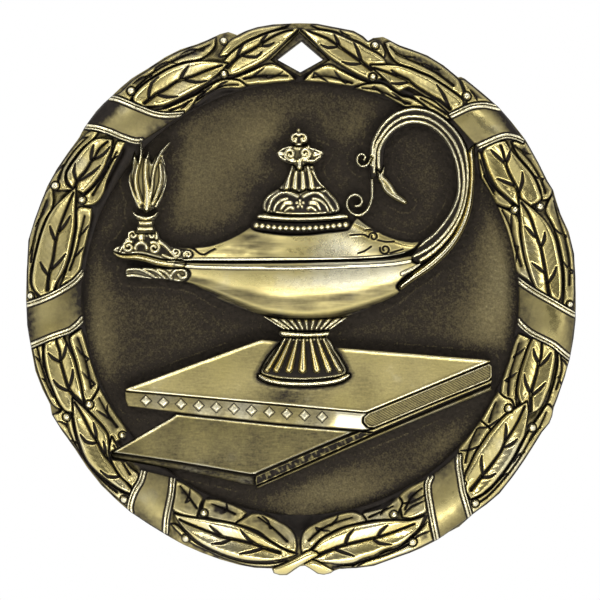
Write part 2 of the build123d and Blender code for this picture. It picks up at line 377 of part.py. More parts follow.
LEAF_RIGHT_2 = [
    (16.34, -18.16), (16.64, -18.02), (16.81, -17.9), (17.45, -17.36), (17.88, -16.92), (18.58, -16.05),
    (19, -15.48), (19.42, -14.83), (19.83, -14.11), (20.19, -13.36), (20.5, -12.86), (20.62, -12.58),
    (20.71, -12.21), (20.94, -10.61), (20.97, -10.26), (20.94, -9.96), (20.83, -9.45), (19.53, -10.24),
    (19.51, -10.3), (19.4, -10.44), (19.25, -10.51), (19.12, -10.51), (18.64, -10.89), (18.39, -11.14),
    (17.69, -11.94), (17.23, -12.52), (16.18, -14.06), (15.6, -15.25), (15.25, -15.92), (15.12, -16.25),
    (15.03, -16.61), (15.06, -16.81), (15.13, -16.8), (15.19, -16.88), (15.21, -16.99), (15.19, -17.11),
    (15.16, -17.15), (15.11, -17.16), (15.23, -17.77), (15.62, -18.48),
]

LEAF_RIGHT_2_VEINS = [  # the midrib first
    [(20.6, -9.91), (20.44, -10.28), (20.05, -11.17), (19.49, -12.16), (18.85, -13.08), (18.5, -13.93), (17.93, -14.77), (17.23, -15.69), (16.66, -16.32), (15.68, -17.59)],
    [(18.85, -11.53), (18.89, -12.21), (18.78, -13.13)],
    [(19.91, -12.9), (19.45, -13.36), (18.8, -13.66)],
    [(16.66, -14.42), (16.59, -15.07), (16.73, -15.99)],
    [(17.93, -16.08), (17.37, -16.41), (16.64, -16.45)],
]

LEAF_RIGHT_3 = [
    (21.5, -10.47), (21.7, -10.37), (21.88, -10.24), (22.04, -10.1), (22.18, -9.91), (22.33, -9.65),
    (22.85, -8.41), (23.04, -7.78), (23.32, -6.41), (23.46, -5.38), (23.46, -5.07), (23.38, -4.71),
    (22.89, -4.36), (21.38, -3.62), (21.25, -3.78), (20.97, -4.38), (20.82, -4.76), (20.23, -6.55),
    (20.06, -7.3), (19.94, -8.03), (19.9, -8.38), (19.91, -8.71), (19.97, -9.02), (20.07, -9.32),
    (20.3, -9.72), (20.82, -9.41), (20.86, -9.44), (20.98, -9.96), (21, -10.26), (20.98, -10.56),
    (21.06, -10.64),
]

LEAF_RIGHT_3_VEINS = [  # the midrib first
    [(22.18, -3.82), (22.17, -4.56), (22.11, -5.42), (21.89, -5.99), (21.69, -6.96), (21.4, -7.96), (21.19, -8.74), (21.12, -10.37)],
    [(21.4, -4.63), (21.52, -5.21), (21.89, -5.92)],
    [(23, -4.98), (22.63, -5.58), (22.04, -6.18)],
    [(20.56, -6.96), (20.69, -7.79), (21.15, -8.71)],
    [(22.5, -7.75), (21.98, -8.34), (21.26, -8.89)],
]

LEAF_RIGHT_4 = [
    (23.74, -0.26), (23.91, -0.05), (24.01, 0.23), (24.06, 0.77), (24.03, 2.41), (23.88, 3.43),
    (23.56, 5), (23.46, 5.41), (23.33, 5.77), (23.18, 6.1), (22.85, 6.7), (22.46, 7.24),
    (22.25, 7.46), (21.37, 8.27), (20.13, 9.24), (20.09, 9.22), (20.12, 8.06), (20.26, 6.04),
    (20.36, 5.24), (20.54, 4.11), (20.72, 3.35), (20.84, 2.95), (21.29, 1.61), (21.48, 1.18),
    (21.64, 0.91), (22.44, 0.43), (23.71, -0.29),
]

LEAF_RIGHT_4_VEINS = [  # the midrib first
    [(20.32, 8.8), (20.84, 8.02), (21.26, 7.11), (21.69, 5.76), (22.04, 4.84), (22.26, 3.86), (22.46, 2.73), (22.67, 1.39), (22.87, 0.05)],
    [(20.6, 6.64), (20.97, 6.31), (21.47, 5.76)],
    [(22.44, 6.08), (22.4, 5.39), (22.1, 4.75)],
    [(21.26, 3.27), (21.71, 2.9), (22.4, 2.4)],
    [(23.5, 2.9), (23.27, 2.17), (22.76, 1.43)],
]

LEAF_RIGHT_5 = [
    (20.08, 8.49), (20.06, 9.23), (20.12, 9.27), (21.16, 8.5), (21.6, 8.68), (21.95, 8.89),
    (22.17, 9.12), (22.18, 9.4), (21.73, 10.56), (21.61, 10.83), (21.35, 11.3), (21, 11.76),
    (20.02, 12.87), (19.38, 13.65), (19.08, 14.09), (18.85, 14.52), (18.2, 14.45), (17.07, 13.96),
    (16.95, 13.87), (16.73, 13.59), (16.69, 13.32), (17, 12.29), (17.26, 11.65), (17.65, 10.83),
    (17.97, 10.28), (18.16, 10.05), (18.4, 9.8), (19.42, 8.95), (20.04, 8.48),
]

LEAF_RIGHT_5_VEINS = [  # the midrib first
    [(18.39, 14.06), (18.62, 13.41), (18.85, 12.4), (19.22, 11.43), (19.64, 10.61), (20.01, 9.82), (20.18, 8.8)],
    [(17.47, 13.64), (18.02, 13.13), (18.71, 12.49)],
    [(20.36, 11.61), (20.4, 10.74), (20.09, 9.82)],
    [(18.06, 11.01), (18.85, 10.69), (19.72, 10.32)],
    [(19.26, 13.64), (19.12, 13.04), (18.85, 12.4)],
]

LEAF_RIGHT_6 = [
    (14.2, 17.31), (14.92, 17.66), (15, 17.83), (15.02, 18.02), (14.98, 18.17), (14.87, 18.3),
    (14.52, 18.6), (13.57, 19.28), (12.04, 20.27), (11.84, 20.38), (10.86, 20.76), (10.15, 21.08),
    (9.44, 21.32), (9.08, 21.41), (8.76, 21.46), (7.88, 21.49), (6.41, 21.48), (6.4, 21.44),
    (7.14, 20.69), (7.75, 20.16), (8.25, 19.68), (8.58, 19.31), (8.88, 19.08), (9.01, 19.03),
    (9.17, 19.03), (9.39, 19.14), (9.65, 19.31), (9.91, 19.4), (10.17, 19.34), (10.95, 18.92),
    (11.43, 18.62), (11.95, 18.42), (12.21, 18.3), (12.46, 18.1), (13.46, 17.22), (13.69, 17.05),
]

LEAF_RIGHT_6_VEINS = [  # the midrib first
    [(6.77, 21.2), (8.16, 20.74), (9.45, 20.23), (10.05, 19.95), (10.65, 19.45), (11.38, 19), (12.12, 18.54), (12.9, 18.11), (13.73, 17.42)],
    [(8.34, 20.97), (9.08, 20.46), (9.91, 20.09)],
    [(12.49, 19.63), (13.09, 18.8), (13.69, 17.51)],
    [(8.34, 19.79), (9.08, 19.72), (9.91, 19.9)],
]

LEAF_RIGHT_7 = [
    (7.02, 20.05), (7.51, 20.23), (7.55, 20.29), (7.12, 20.67), (6.36, 21.42), (6.36, 21.45),
    (6.41, 21.51), (7.92, 21.52), (7.83, 21.84), (7.63, 22.1), (7.35, 22.33), (7.05, 22.54),
    (6.74, 22.71), (6.13, 23), (5.48, 23.41), (4.65, 23.75), (3.82, 24.15), (3.23, 24.39),
    (2.9, 24.5), (2.17, 24.65), (1.8, 24.7), (0.54, 24.77), (-0.02, 24.89), (-0.04, 24.85),
    (0.97, 23.82), (2.04, 22.67), (2.4, 22.35), (3, 21.89), (4.05, 21.2), (4.57, 20.89),
    (5.21, 20.55), (5.81, 20.28), (6.37, 20.07), (6.39, 20.11), (6.3, 20.23), (6.27, 20.4),
    (6.31, 20.56), (6.41, 20.68), (6.56, 20.76), (6.73, 20.76), (6.89, 20.69), (7, 20.56),
    (7.04, 20.4), (7, 20.23), (6.86, 20.07), (6.88, 20.02),
]

LEAF_RIGHT_7_VEINS = [  # the midrib first
    [(0.6, 24.7), (1.06, 24.47), (2.44, 23.92), (3.55, 23.18), (4.47, 22.53), (5.39, 21.89), (6.5, 21.06)],
    [(3.09, 24.24), (3.36, 23.73), (3.59, 23.09)],
    [(4.88, 23.5), (5.21, 22.9), (5.58, 21.84)],
    [(1.85, 23.32), (2.53, 23.04), (3.32, 23.13)],
    [(3.82, 21.75), (4.56, 21.52), (5.48, 21.57)],
]

INNER_LEAVES_LEFT = [  # one outline per leaf
    [(-0.34, -23.05), (-0.32, -22.81), (-0.34, -22.51), (-0.46, -21.89), (-0.55, -21.67), (-0.78, -21.34), (-1.08, -21.05), (-1.42, -20.81), (-2, -20.49), (-2.87, -20.08), (-3.33, -19.93), (-3.82, -19.82), (-4.27, -19.78), (-4.47, -19.8), (-4.64, -19.86), (-5.74, -20.5), (-5.94, -20.69), (-5.85, -20.8), (-5.21, -20.97), (-4.35, -21.24), (-3.92, -21.43), (-3.54, -21.68), (-2.81, -22.26), (-1.94, -22.77), (-1.14, -23.17), (-0.71, -23.34), (-0.41, -23.42)],
    [(-5.97, -20.66), (-5.75, -20.47), (-5.35, -20.24), (-5.3, -20.14), (-4.96, -19.83), (-4.93, -19.68), (-5.16, -19.5), (-6.14, -19.03), (-7.44, -18.56), (-7.97, -18.48), (-8.8, -18.48), (-8.94, -18.83), (-9.03, -19.4), (-8.97, -19.38), (-8.8, -19.38), (-8.66, -19.45), (-8.55, -19.58), (-8.51, -19.74), (-8.54, -19.91), (-8.67, -20.07), (-8.34, -20.23), (-7.94, -20.34), (-5.98, -20.7)],
    [(-9.36, -19.37), (-9.26, -19.03), (-8.99, -18.53), (-8.99, -18.3), (-9.2, -18.04), (-10.22, -17.35), (-10.83, -17), (-11.48, -16.71), (-11.6, -17.96), (-11.86, -19.33), (-11.84, -19.38), (-11.66, -19.58), (-11.4, -19.74), (-11.09, -19.86), (-10.36, -20.03), (-9.54, -20.14)],
    [(-15.38, -17.34), (-14.96, -16.68), (-14.87, -16.42), (-14.88, -16.18), (-15.07, -15.98), (-15.35, -15.82), (-15.62, -15.62), (-15.85, -15.35), (-16.07, -15.01), (-17.29, -14.8), (-17.44, -14.64), (-17.48, -14.66), (-17.29, -15.15), (-17.1, -15.53), (-16.88, -15.9), (-16.49, -16.45), (-15.86, -16.99), (-15.6, -17.26), (-15.5, -17.52), (-15.46, -17.52)],
    [(-16.72, -13.1), (-16.49, -12.94), (-16.49, -12.91), (-16.61, -12.85), (-16.7, -12.74), (-16.74, -12.59), (-16.7, -12.44), (-16.61, -12.31), (-16.47, -12.24), (-16.32, -12.24), (-16.18, -12.3), (-16.07, -12.43), (-16.04, -12.42), (-16, -12.26), (-16.04, -12.03), (-16.23, -11.69), (-16.82, -10.92), (-17.33, -10.17), (-18.11, -8.89), (-18.46, -8.19), (-18.5, -8.19), (-19.03, -9.17), (-19.22, -9.42), (-19.17, -9.45), (-19.06, -9.59), (-19.03, -9.77), (-19.06, -9.93), (-19.17, -10.07), (-19.33, -10.15), (-19.56, -10.15), (-19.44, -10.4), (-18.27, -11.62), (-18.02, -11.94), (-17.71, -12.48), (-17.62, -12.87), (-17.56, -13.04), (-17.51, -13.07), (-17.42, -12.71), (-17.34, -12.69), (-17.04, -13.22)],
    [(-19.67, -9.44), (-19.51, -9.37), (-19.35, -9.37), (-19.29, -9.39), (-19.21, -9.27), (-18.67, -8.36), (-18.57, -8.06), (-18.58, -7.82), (-19.22, -6.04), (-19.91, -3.64), (-20.14, -2.72), (-20.97, -3.26), (-21.24, -3.55), (-21.28, -3.87), (-20.74, -5.58), (-20.64, -5.93), (-20.18, -7.88), (-19.95, -9.08), (-19.75, -9.53)],
    [(-9.63, 17.93), (-8.34, 18.87), (-8.06, 19.03), (-7.79, 19.15), (-7.24, 19.31), (-6.93, 19.35), (-6.31, 19.37), (-5.58, 19.35), (-5.35, 19.39), (-4.93, 19.54), (-5.29, 19.87), (-5.48, 20), (-5.7, 20.09), (-5.94, 20.15), (-6.56, 20.19), (-6.94, 20.17), (-7.33, 20.09), (-7.7, 19.95), (-8.06, 19.75), (-8.81, 19.32), (-9.32, 19), (-9.29, 18.95), (-8.87, 19.13), (-8.81, 19.07), (-8.82, 19.04), (-9.42, 18.55), (-9.9, 17.82), (-9.87, 17.78)],
    [(-4.56, 19.64), (-3.92, 19.72), (-3.42, 19.7), (-2.09, 19.89), (-1.15, 19.97), (-0.88, 20.05), (-0.46, 20.09), (-0.44, 20.12), (-0.71, 20.43), (-1.07, 20.77), (-1.79, 21.28), (-2.07, 21.45), (-2.35, 21.57), (-2.6, 21.61), (-2.84, 21.6), (-3.33, 21.5), (-4.09, 21.16), (-4.65, 20.88), (-6.22, 20.27), (-6.21, 20.22), (-5.94, 20.19), (-5.69, 20.13), (-5.47, 20.03), (-5.27, 19.9), (-5.05, 19.7), (-4.84, 19.63)],
    [(-17.53, -14.26), (-17.47, -14.26), (-17.45, -14.23), (-17.49, -14.16), (-17.48, -14.12), (-16.8, -13.74), (-17.35, -12.72), (-17.39, -12.73), (-17.56, -13.5), (-17.6, -14.1), (-17.58, -14.26)],
    [(-21.41, 1.47), (-20.93, 1.81), (-20.75, 2), (-20.23, 2.64), (-20.11, 3.06), (-20, 4.01), (-19.68, 5.3), (-19.33, 6.86), (-19.22, 7.51), (-19.12, 8.34), (-20.14, 8.46), (-20.51, 8.34), (-20.63, 7.9), (-20.6, 6.68), (-20.74, 5.76), (-21.03, 4.31), (-21.29, 3.36), (-21.61, 2.44), (-22.14, 1.12), (-22.11, 1.09)],
    [(-19.19, 8.56), (-18.85, 8.71), (-18.57, 8.96), (-18.31, 9.28), (-18.11, 9.63), (-17.99, 9.99), (-17.83, 10.74), (-17.53, 11.49), (-17.22, 12.17), (-16.91, 12.76), (-16.01, 14.38), (-16.37, 14.5), (-16.58, 14.55), (-16.82, 14.52), (-16.98, 14.34), (-17.09, 14.08), (-17.51, 12.76), (-17.66, 12.4), (-18.02, 11.66), (-18.24, 11.28), (-18.76, 10.55), (-19.03, 10.25), (-19.58, 9.72), (-19.95, 9.44), (-19.84, 9.39), (-19.74, 9.26), (-19.7, 9.09), (-19.74, 8.91), (-19.84, 8.77), (-20.04, 8.67), (-19.86, 8.52), (-19.56, 8.5)],
    [(-10.51, 17.14), (-10.34, 17.3), (-10.05, 17.64), (-9.45, 18.57), (-8.87, 19.03), (-8.85, 19.06), (-8.87, 19.1), (-10.93, 18.13), (-12.03, 17.65), (-12.4, 17.51), (-13.18, 17.37), (-13.33, 17.31), (-13.33, 17.27), (-13.07, 17.21), (-12.8, 17.17), (-12.21, 17.13), (-11.88, 17.14), (-10.76, 17.25), (-10.72, 17.22), (-10.7, 17.02)],
]

INNER_LEAVES_RIGHT = [  # one outline per leaf
    [(0.55, -23.23), (0.78, -23.16), (0.88, -23.09), (1.8, -22.17), (2.15, -21.91), (2.9, -21.48), (3.3, -21.28), (4.1, -20.97), (4.5, -20.86), (5.87, -20.56), (6.04, -20.46), (6, -20.3), (5.67, -19.91), (5.15, -19.73), (4.88, -19.68), (4.61, -19.67), (4.32, -19.7), (3.67, -19.83), (2.66, -20.15), (1.82, -20.47), (1.08, -20.83), (0.55, -21.15), (0.38, -21.31), (0.24, -21.48), (0.14, -21.7), (0.06, -22.02), (0, -22.72), (0.03, -23.01), (0.12, -23.47)],
    [(6.77, -20.4), (7.85, -20.34), (8.34, -20.34), (8.48, -20.29), (8.48, -20.25), (8.34, -20.18), (8.25, -20.06), (8.21, -19.9), (8.24, -19.73), (8.34, -19.59), (8.5, -19.52), (8.67, -19.51), (8.82, -19.58), (8.94, -19.73), (9.22, -19.24), (9.32, -18.99), (9.36, -18.76), (9.28, -18.56), (8.99, -18.2), (8.18, -19), (8.04, -19.11), (7.85, -19.22), (7.51, -19.33), (5.85, -19.73), (5.65, -19.83), (5.65, -19.87), (5.7, -19.89), (6.03, -20.28), (6.08, -20.47)],
    [(10.18, -20.23), (10.56, -20.14), (10.96, -20.01), (11.29, -19.86), (11.5, -19.74), (11.66, -19.61), (11.7, -19.52), (11.49, -18.32), (11.4, -17.52), (11.42, -17.06), (11.53, -16.68), (11.5, -16.65), (10.11, -17.33), (9.51, -17.72), (9.22, -17.95), (9.03, -18.2), (9.31, -18.54), (9.39, -18.74), (9.36, -18.99), (9.22, -19.31), (9.36, -20.14), (9.89, -20.23)],
    [(13.85, 16.49), (13.86, 16.53), (13.83, 16.57), (13.77, 16.55), (13.75, 16.57), (13.56, 16.95), (13.58, 17), (13.65, 17.03), (12.93, 17.62), (12.52, 18), (11.84, 18.39), (11.21, 18.63), (10.92, 18.71), (10.62, 18.75), (10.35, 18.75), (10.28, 18.66), (10.52, 18.44), (11.38, 17.83), (11.85, 17.46), (12.29, 17.29), (12.71, 17.06), (13.44, 16.54)],
    [(5.4, 19.66), (6.09, 19.83), (6.13, 19.91), (5.92, 20.01), (5.21, 20.28), (4.9, 20.42), (4.29, 20.74), (3.02, 21.46), (2.81, 21.54), (2.6, 21.55), (2.17, 21.45), (1.61, 21.21), (1.34, 21.06), (1.1, 20.9), (0.69, 20.55), (0.25, 20.07), (0.27, 20.04), (0.59, 19.99), (2.09, 19.89), (4.75, 19.54)],
    [(15.08, -16.24), (15.22, -15.9), (15.57, -15.25), (15.7, -14.9), (16.08, -14.1), (17.19, -12.49), (17.46, -12.16), (17.46, -12.03), (17.25, -11.78), (16.56, -11.21), (15.87, -12.18), (15.12, -13.13), (14.66, -13.62), (14.52, -13.87), (14.51, -14.13), (14.55, -14.28), (14.8, -14.28), (14.84, -14.32), (14.83, -15.12), (14.86, -15.57), (14.99, -16.39), (15.04, -16.4)],
    [(17.72, -11.84), (18.36, -11.11), (18.61, -10.87), (19.06, -10.51), (18.91, -10.44), (18.79, -10.3), (18.75, -10.13), (18.79, -9.95), (18.9, -9.81), (19.06, -9.73), (19.23, -9.72), (19.4, -9.8), (19.51, -9.94), (19.55, -10.09), (19.6, -10.08), (19.62, -9.9), (19.54, -9.6), (19.4, -9.36), (19.22, -9.23), (18.98, -9.17), (18.76, -9.08), (18.57, -8.91), (18.2, -8.52), (17.8, -9.12), (17.32, -10), (16.58, -11.18), (17.27, -11.75), (17.49, -12), (17.52, -12.07)],
    [(19.81, -9.12), (19.8, -8.71), (19.85, -8.02), (19.99, -7.3), (20.18, -6.55), (20.79, -4.74), (21.08, -4.04), (21.22, -3.76), (20.96, -3.56), (20.05, -3.18), (19.57, -4.43), (19.15, -5.85), (18.76, -6.93), (18.54, -7.6), (18.46, -7.97), (18.42, -8.3), (18.42, -8.61), (18.45, -8.74), (18.77, -9.05), (18.99, -9.14), (19.23, -9.2), (19.42, -9.33), (19.57, -9.58), (19.66, -9.92), (19.86, -10)],
    [(21.4, 1.27), (21.25, 1.6), (21.08, 2.07), (20.8, 2.94), (20.51, 4.1), (20.29, 5.26), (20.18, 6.04), (20.14, 6.96), (20.09, 7.33), (20, 7.52), (19.86, 7.66), (19.71, 7.76), (19.61, 7.77), (19.45, 7.85), (19.34, 8), (18.94, 8.2), (18.12, 8.55), (18.09, 8.52), (18.48, 7.65), (18.85, 6.68), (19.18, 5.68), (19.56, 4.16), (19.83, 2.63), (19.89, 2.47), (20.05, 2.26), (20.32, 2.04), (20.97, 1.61), (21.36, 1.24)],
    [(19.35, 8.34), (19.45, 8.47), (19.57, 8.53), (19.4, 8.76), (18.16, 9.85), (17.93, 10.09), (17.54, 10.63), (17.37, 10.92), (17.11, 11.53), (16.9, 12.16), (16.61, 13.24), (16.54, 13.41), (16.46, 13.5), (16.3, 13.58), (16.27, 13.56), (16.35, 12.88), (16.55, 11.56), (16.64, 11.09), (17.32, 10), (17.99, 8.74), (18.3, 8.58), (18.66, 8.43), (19.02, 8.33), (19.33, 8.28)],
    [(11.42, 17.62), (11.2, 17.87), (11.01, 18.02), (10.4, 18.35), (10.09, 18.48), (9.84, 18.54), (9.6, 18.56), (9.36, 18.62), (9.09, 18.76), (8.52, 19.12), (7.98, 19.56), (7.7, 19.72), (7.4, 19.8), (7.08, 19.82), (6.46, 19.8), (6.14, 19.77), (5.85, 19.72), (5.21, 19.49), (4.95, 19.42), (4.95, 19.38), (6.21, 19.01), (6.96, 18.89), (7.7, 18.68), (8.06, 18.52), (9.17, 17.88), (9.75, 17.62), (10.22, 17.68), (10.63, 17.68), (11.4, 17.58)],
]

OUTER_LEAVES_LEFT = [  # one outline per leaf
    [(-10.79, -21.77), (-10.65, -21.7), (-10.52, -21.7), (-10.5, -21.66), (-10.98, -21.16), (-11.29, -20.88), (-11.54, -20.76), (-11.97, -20.7), (-11.99, -20.74), (-11.43, -21.38), (-11.11, -21.7), (-10.89, -21.9)],
    [(-22, -10.15), (-22.44, -9.36), (-23.22, -7.54), (-23.36, -7.14), (-23.64, -6.15), (-23.73, -5.67), (-23.74, -5.25), (-23.71, -4.86), (-23.73, -4.47), (-23.81, -4.22), (-24.72, -4.61), (-24.45, -5.92), (-24.29, -6.59), (-24.09, -7.17), (-23.87, -7.73), (-23.41, -8.76), (-23.17, -9.25), (-22.95, -9.63), (-22.79, -9.83), (-22.61, -9.98), (-22.44, -10.09), (-22.28, -10.15), (-22.02, -10.18)],
    [(-2.15, -24.63), (-1.18, -24.17), (-1.2, -24.12), (-2.35, -24.33), (-2.96, -24.37), (-4.19, -24.38), (-5.11, -24.29), (-6.13, -24.05), (-6.72, -23.86), (-7.33, -23.64), (-7.96, -23.37), (-8.61, -23.07), (-9.17, -22.76), (-9.59, -22.48), (-10.14, -22.02), (-10.18, -22.04), (-10.21, -22.25), (-10.31, -22.37), (-10, -22.58), (-9.56, -22.81), (-8.62, -23.23), (-7.72, -23.66), (-6.69, -24.07), (-5.58, -24.42), (-4.64, -24.64), (-4.19, -24.7), (-3.73, -24.73), (-2.81, -24.75)],
    [(-16, -19.13), (-15.93, -18.79), (-15.97, -18.77), (-16.14, -18.86), (-16.3, -18.86), (-16.32, -18.9), (-16.03, -19.14)],
    [(-16.58, -18.62), (-16.61, -18.47), (-16.56, -18.3), (-16.47, -18.18), (-16.31, -18.11), (-16.14, -18.1), (-15.99, -18.17), (-15.88, -18.3), (-15.86, -18.38), (-15.81, -18.38), (-15.75, -18.18), (-15.88, -18.07), (-16.64, -17.74), (-17.36, -17.28), (-18.17, -16.68), (-18.63, -16.32), (-19.03, -15.94), (-19.36, -15.58), (-19.65, -15.2), (-19.91, -14.79), (-20.14, -14.34), (-20.34, -13.87), (-20.64, -13), (-20.92, -11.76), (-21.1, -10.52), (-21.32, -10.51), (-21.34, -10.56), (-21.26, -10.6), (-21.16, -10.72), (-21.12, -10.89), (-21.15, -11.05), (-21.26, -11.19), (-21.41, -11.27), (-21.58, -11.27), (-21.74, -11.2), (-21.84, -11.07), (-21.89, -10.9), (-21.85, -10.73), (-21.75, -10.6), (-21.6, -10.52), (-21.46, -10.52), (-21.46, -10.47), (-21.64, -10.4), (-21.86, -10.19), (-22.17, -10.46), (-22.37, -10.55), (-22.57, -10.59), (-22.72, -10.64), (-22.81, -10.75), (-22.83, -10.83), (-22.28, -11.71), (-21.8, -12.3), (-21.03, -13.33), (-19.49, -15.53), (-19.07, -16.09), (-18.2, -17.15), (-17.8, -17.57), (-16.61, -18.64)],
    [(-24.11, 0.09), (-24.51, 0.64), (-24.7, 0.97), (-24.81, 1.24), (-24.87, 1.5), (-24.88, 1.8), (-24.86, 2.22), (-24.61, 3.64), (-24.12, 5.55), (-23.96, 6.04), (-23.61, 6.98), (-23.41, 7.42), (-22.93, 8.11), (-22.76, 8.52), (-22.73, 9.13), (-22.78, 10.03), (-22.83, 10.06), (-22.93, 10.19), (-22.97, 10.34), (-23, 10.35), (-23.26, 10.08), (-23.46, 9.82), (-23.62, 9.52), (-23.76, 9.18), (-24.28, 7.86), (-24.8, 6.41), (-25.02, 5.58), (-25.1, 4.87), (-25.17, 1.87), (-25.13, 0.84), (-25.07, 0.5), (-24.92, 0.57), (-24.77, 0.57), (-24.63, 0.51), (-24.53, 0.39), (-24.49, 0.24), (-24.53, 0.06), (-24.33, 0.02)],
    [(-21.35, 9.93), (-21.04, 9.97), (-20.95, 10.05), (-21.34, 10.35), (-21.52, 10.55), (-21.62, 10.81), (-21.66, 11.1), (-21.66, 11.38), (-21.61, 11.63), (-21.52, 11.86), (-21.2, 12.41), (-20.24, 13.67), (-19.95, 13.96), (-18.94, 14.75), (-18.75, 14.98), (-18.54, 15.33), (-19.21, 15.48), (-19.4, 15.44), (-19.73, 15.21), (-20.07, 14.88), (-20.75, 14.13), (-21.43, 13.27), (-22.13, 12.28), (-23, 10.91), (-23.13, 10.55), (-23.09, 10.36), (-23.05, 10.35), (-22.97, 10.38), (-22.93, 10.55), (-22.82, 10.69), (-22.65, 10.76), (-22.49, 10.76), (-22.33, 10.69), (-22.21, 10.55), (-22.17, 10.38), (-22.2, 10.2), (-22.31, 10.06), (-22.44, 10), (-22.43, 9.96), (-22.32, 9.93), (-21.95, 9.91)],
    [(-15.4, 18.7), (-15.43, 18.73), (-15.5, 18.7), (-15.68, 18.71), (-15.83, 18.78), (-15.94, 18.92), (-15.99, 19.09), (-15.95, 19.26), (-15.84, 19.41), (-15.68, 19.49), (-15.5, 19.49), (-15.34, 19.42), (-15.23, 19.28), (-15.19, 19.14), (-15.16, 19.13), (-14.91, 19.42), (-14.33, 19.91), (-14.01, 20.13), (-12.6, 20.99), (-12.21, 21.2), (-11.31, 21.56), (-10.83, 21.7), (-10.31, 21.8), (-9.77, 21.86), (-9.31, 21.95), (-8.96, 22.12), (-8.68, 22.32), (-8.43, 22.54), (-8.21, 22.76), (-8.02, 23.01), (-7.88, 23.27), (-7.82, 23.54), (-7.79, 24.07), (-7.82, 24.09), (-8.83, 23.6), (-9.54, 23.32), (-11.01, 22.81), (-11.91, 22.39), (-12.4, 22.12), (-14.15, 20.97), (-15.04, 20.42), (-15.44, 20.14), (-16.54, 19.03), (-16.88, 18.83), (-17.07, 18.75), (-17.06, 18.71), (-16.47, 18.52), (-15.65, 18.17)],
    [(-6.68, 22.35), (-5.85, 23.09), (-5.31, 23.47), (-4.72, 23.8), (-3.49, 24.35), (-3.18, 24.47), (-2.17, 24.79), (-1.12, 25.2), (-1.13, 25.25), (-2.54, 25.16), (-3.56, 25.02), (-4.01, 24.93), (-4.36, 24.84), (-4.93, 24.61), (-5.67, 24.19), (-6.17, 23.97), (-6.41, 23.82), (-6.63, 23.61), (-6.85, 23.35), (-7.27, 22.78), (-7.46, 22.47), (-7.51, 22.26), (-7.33, 22.22)],
]

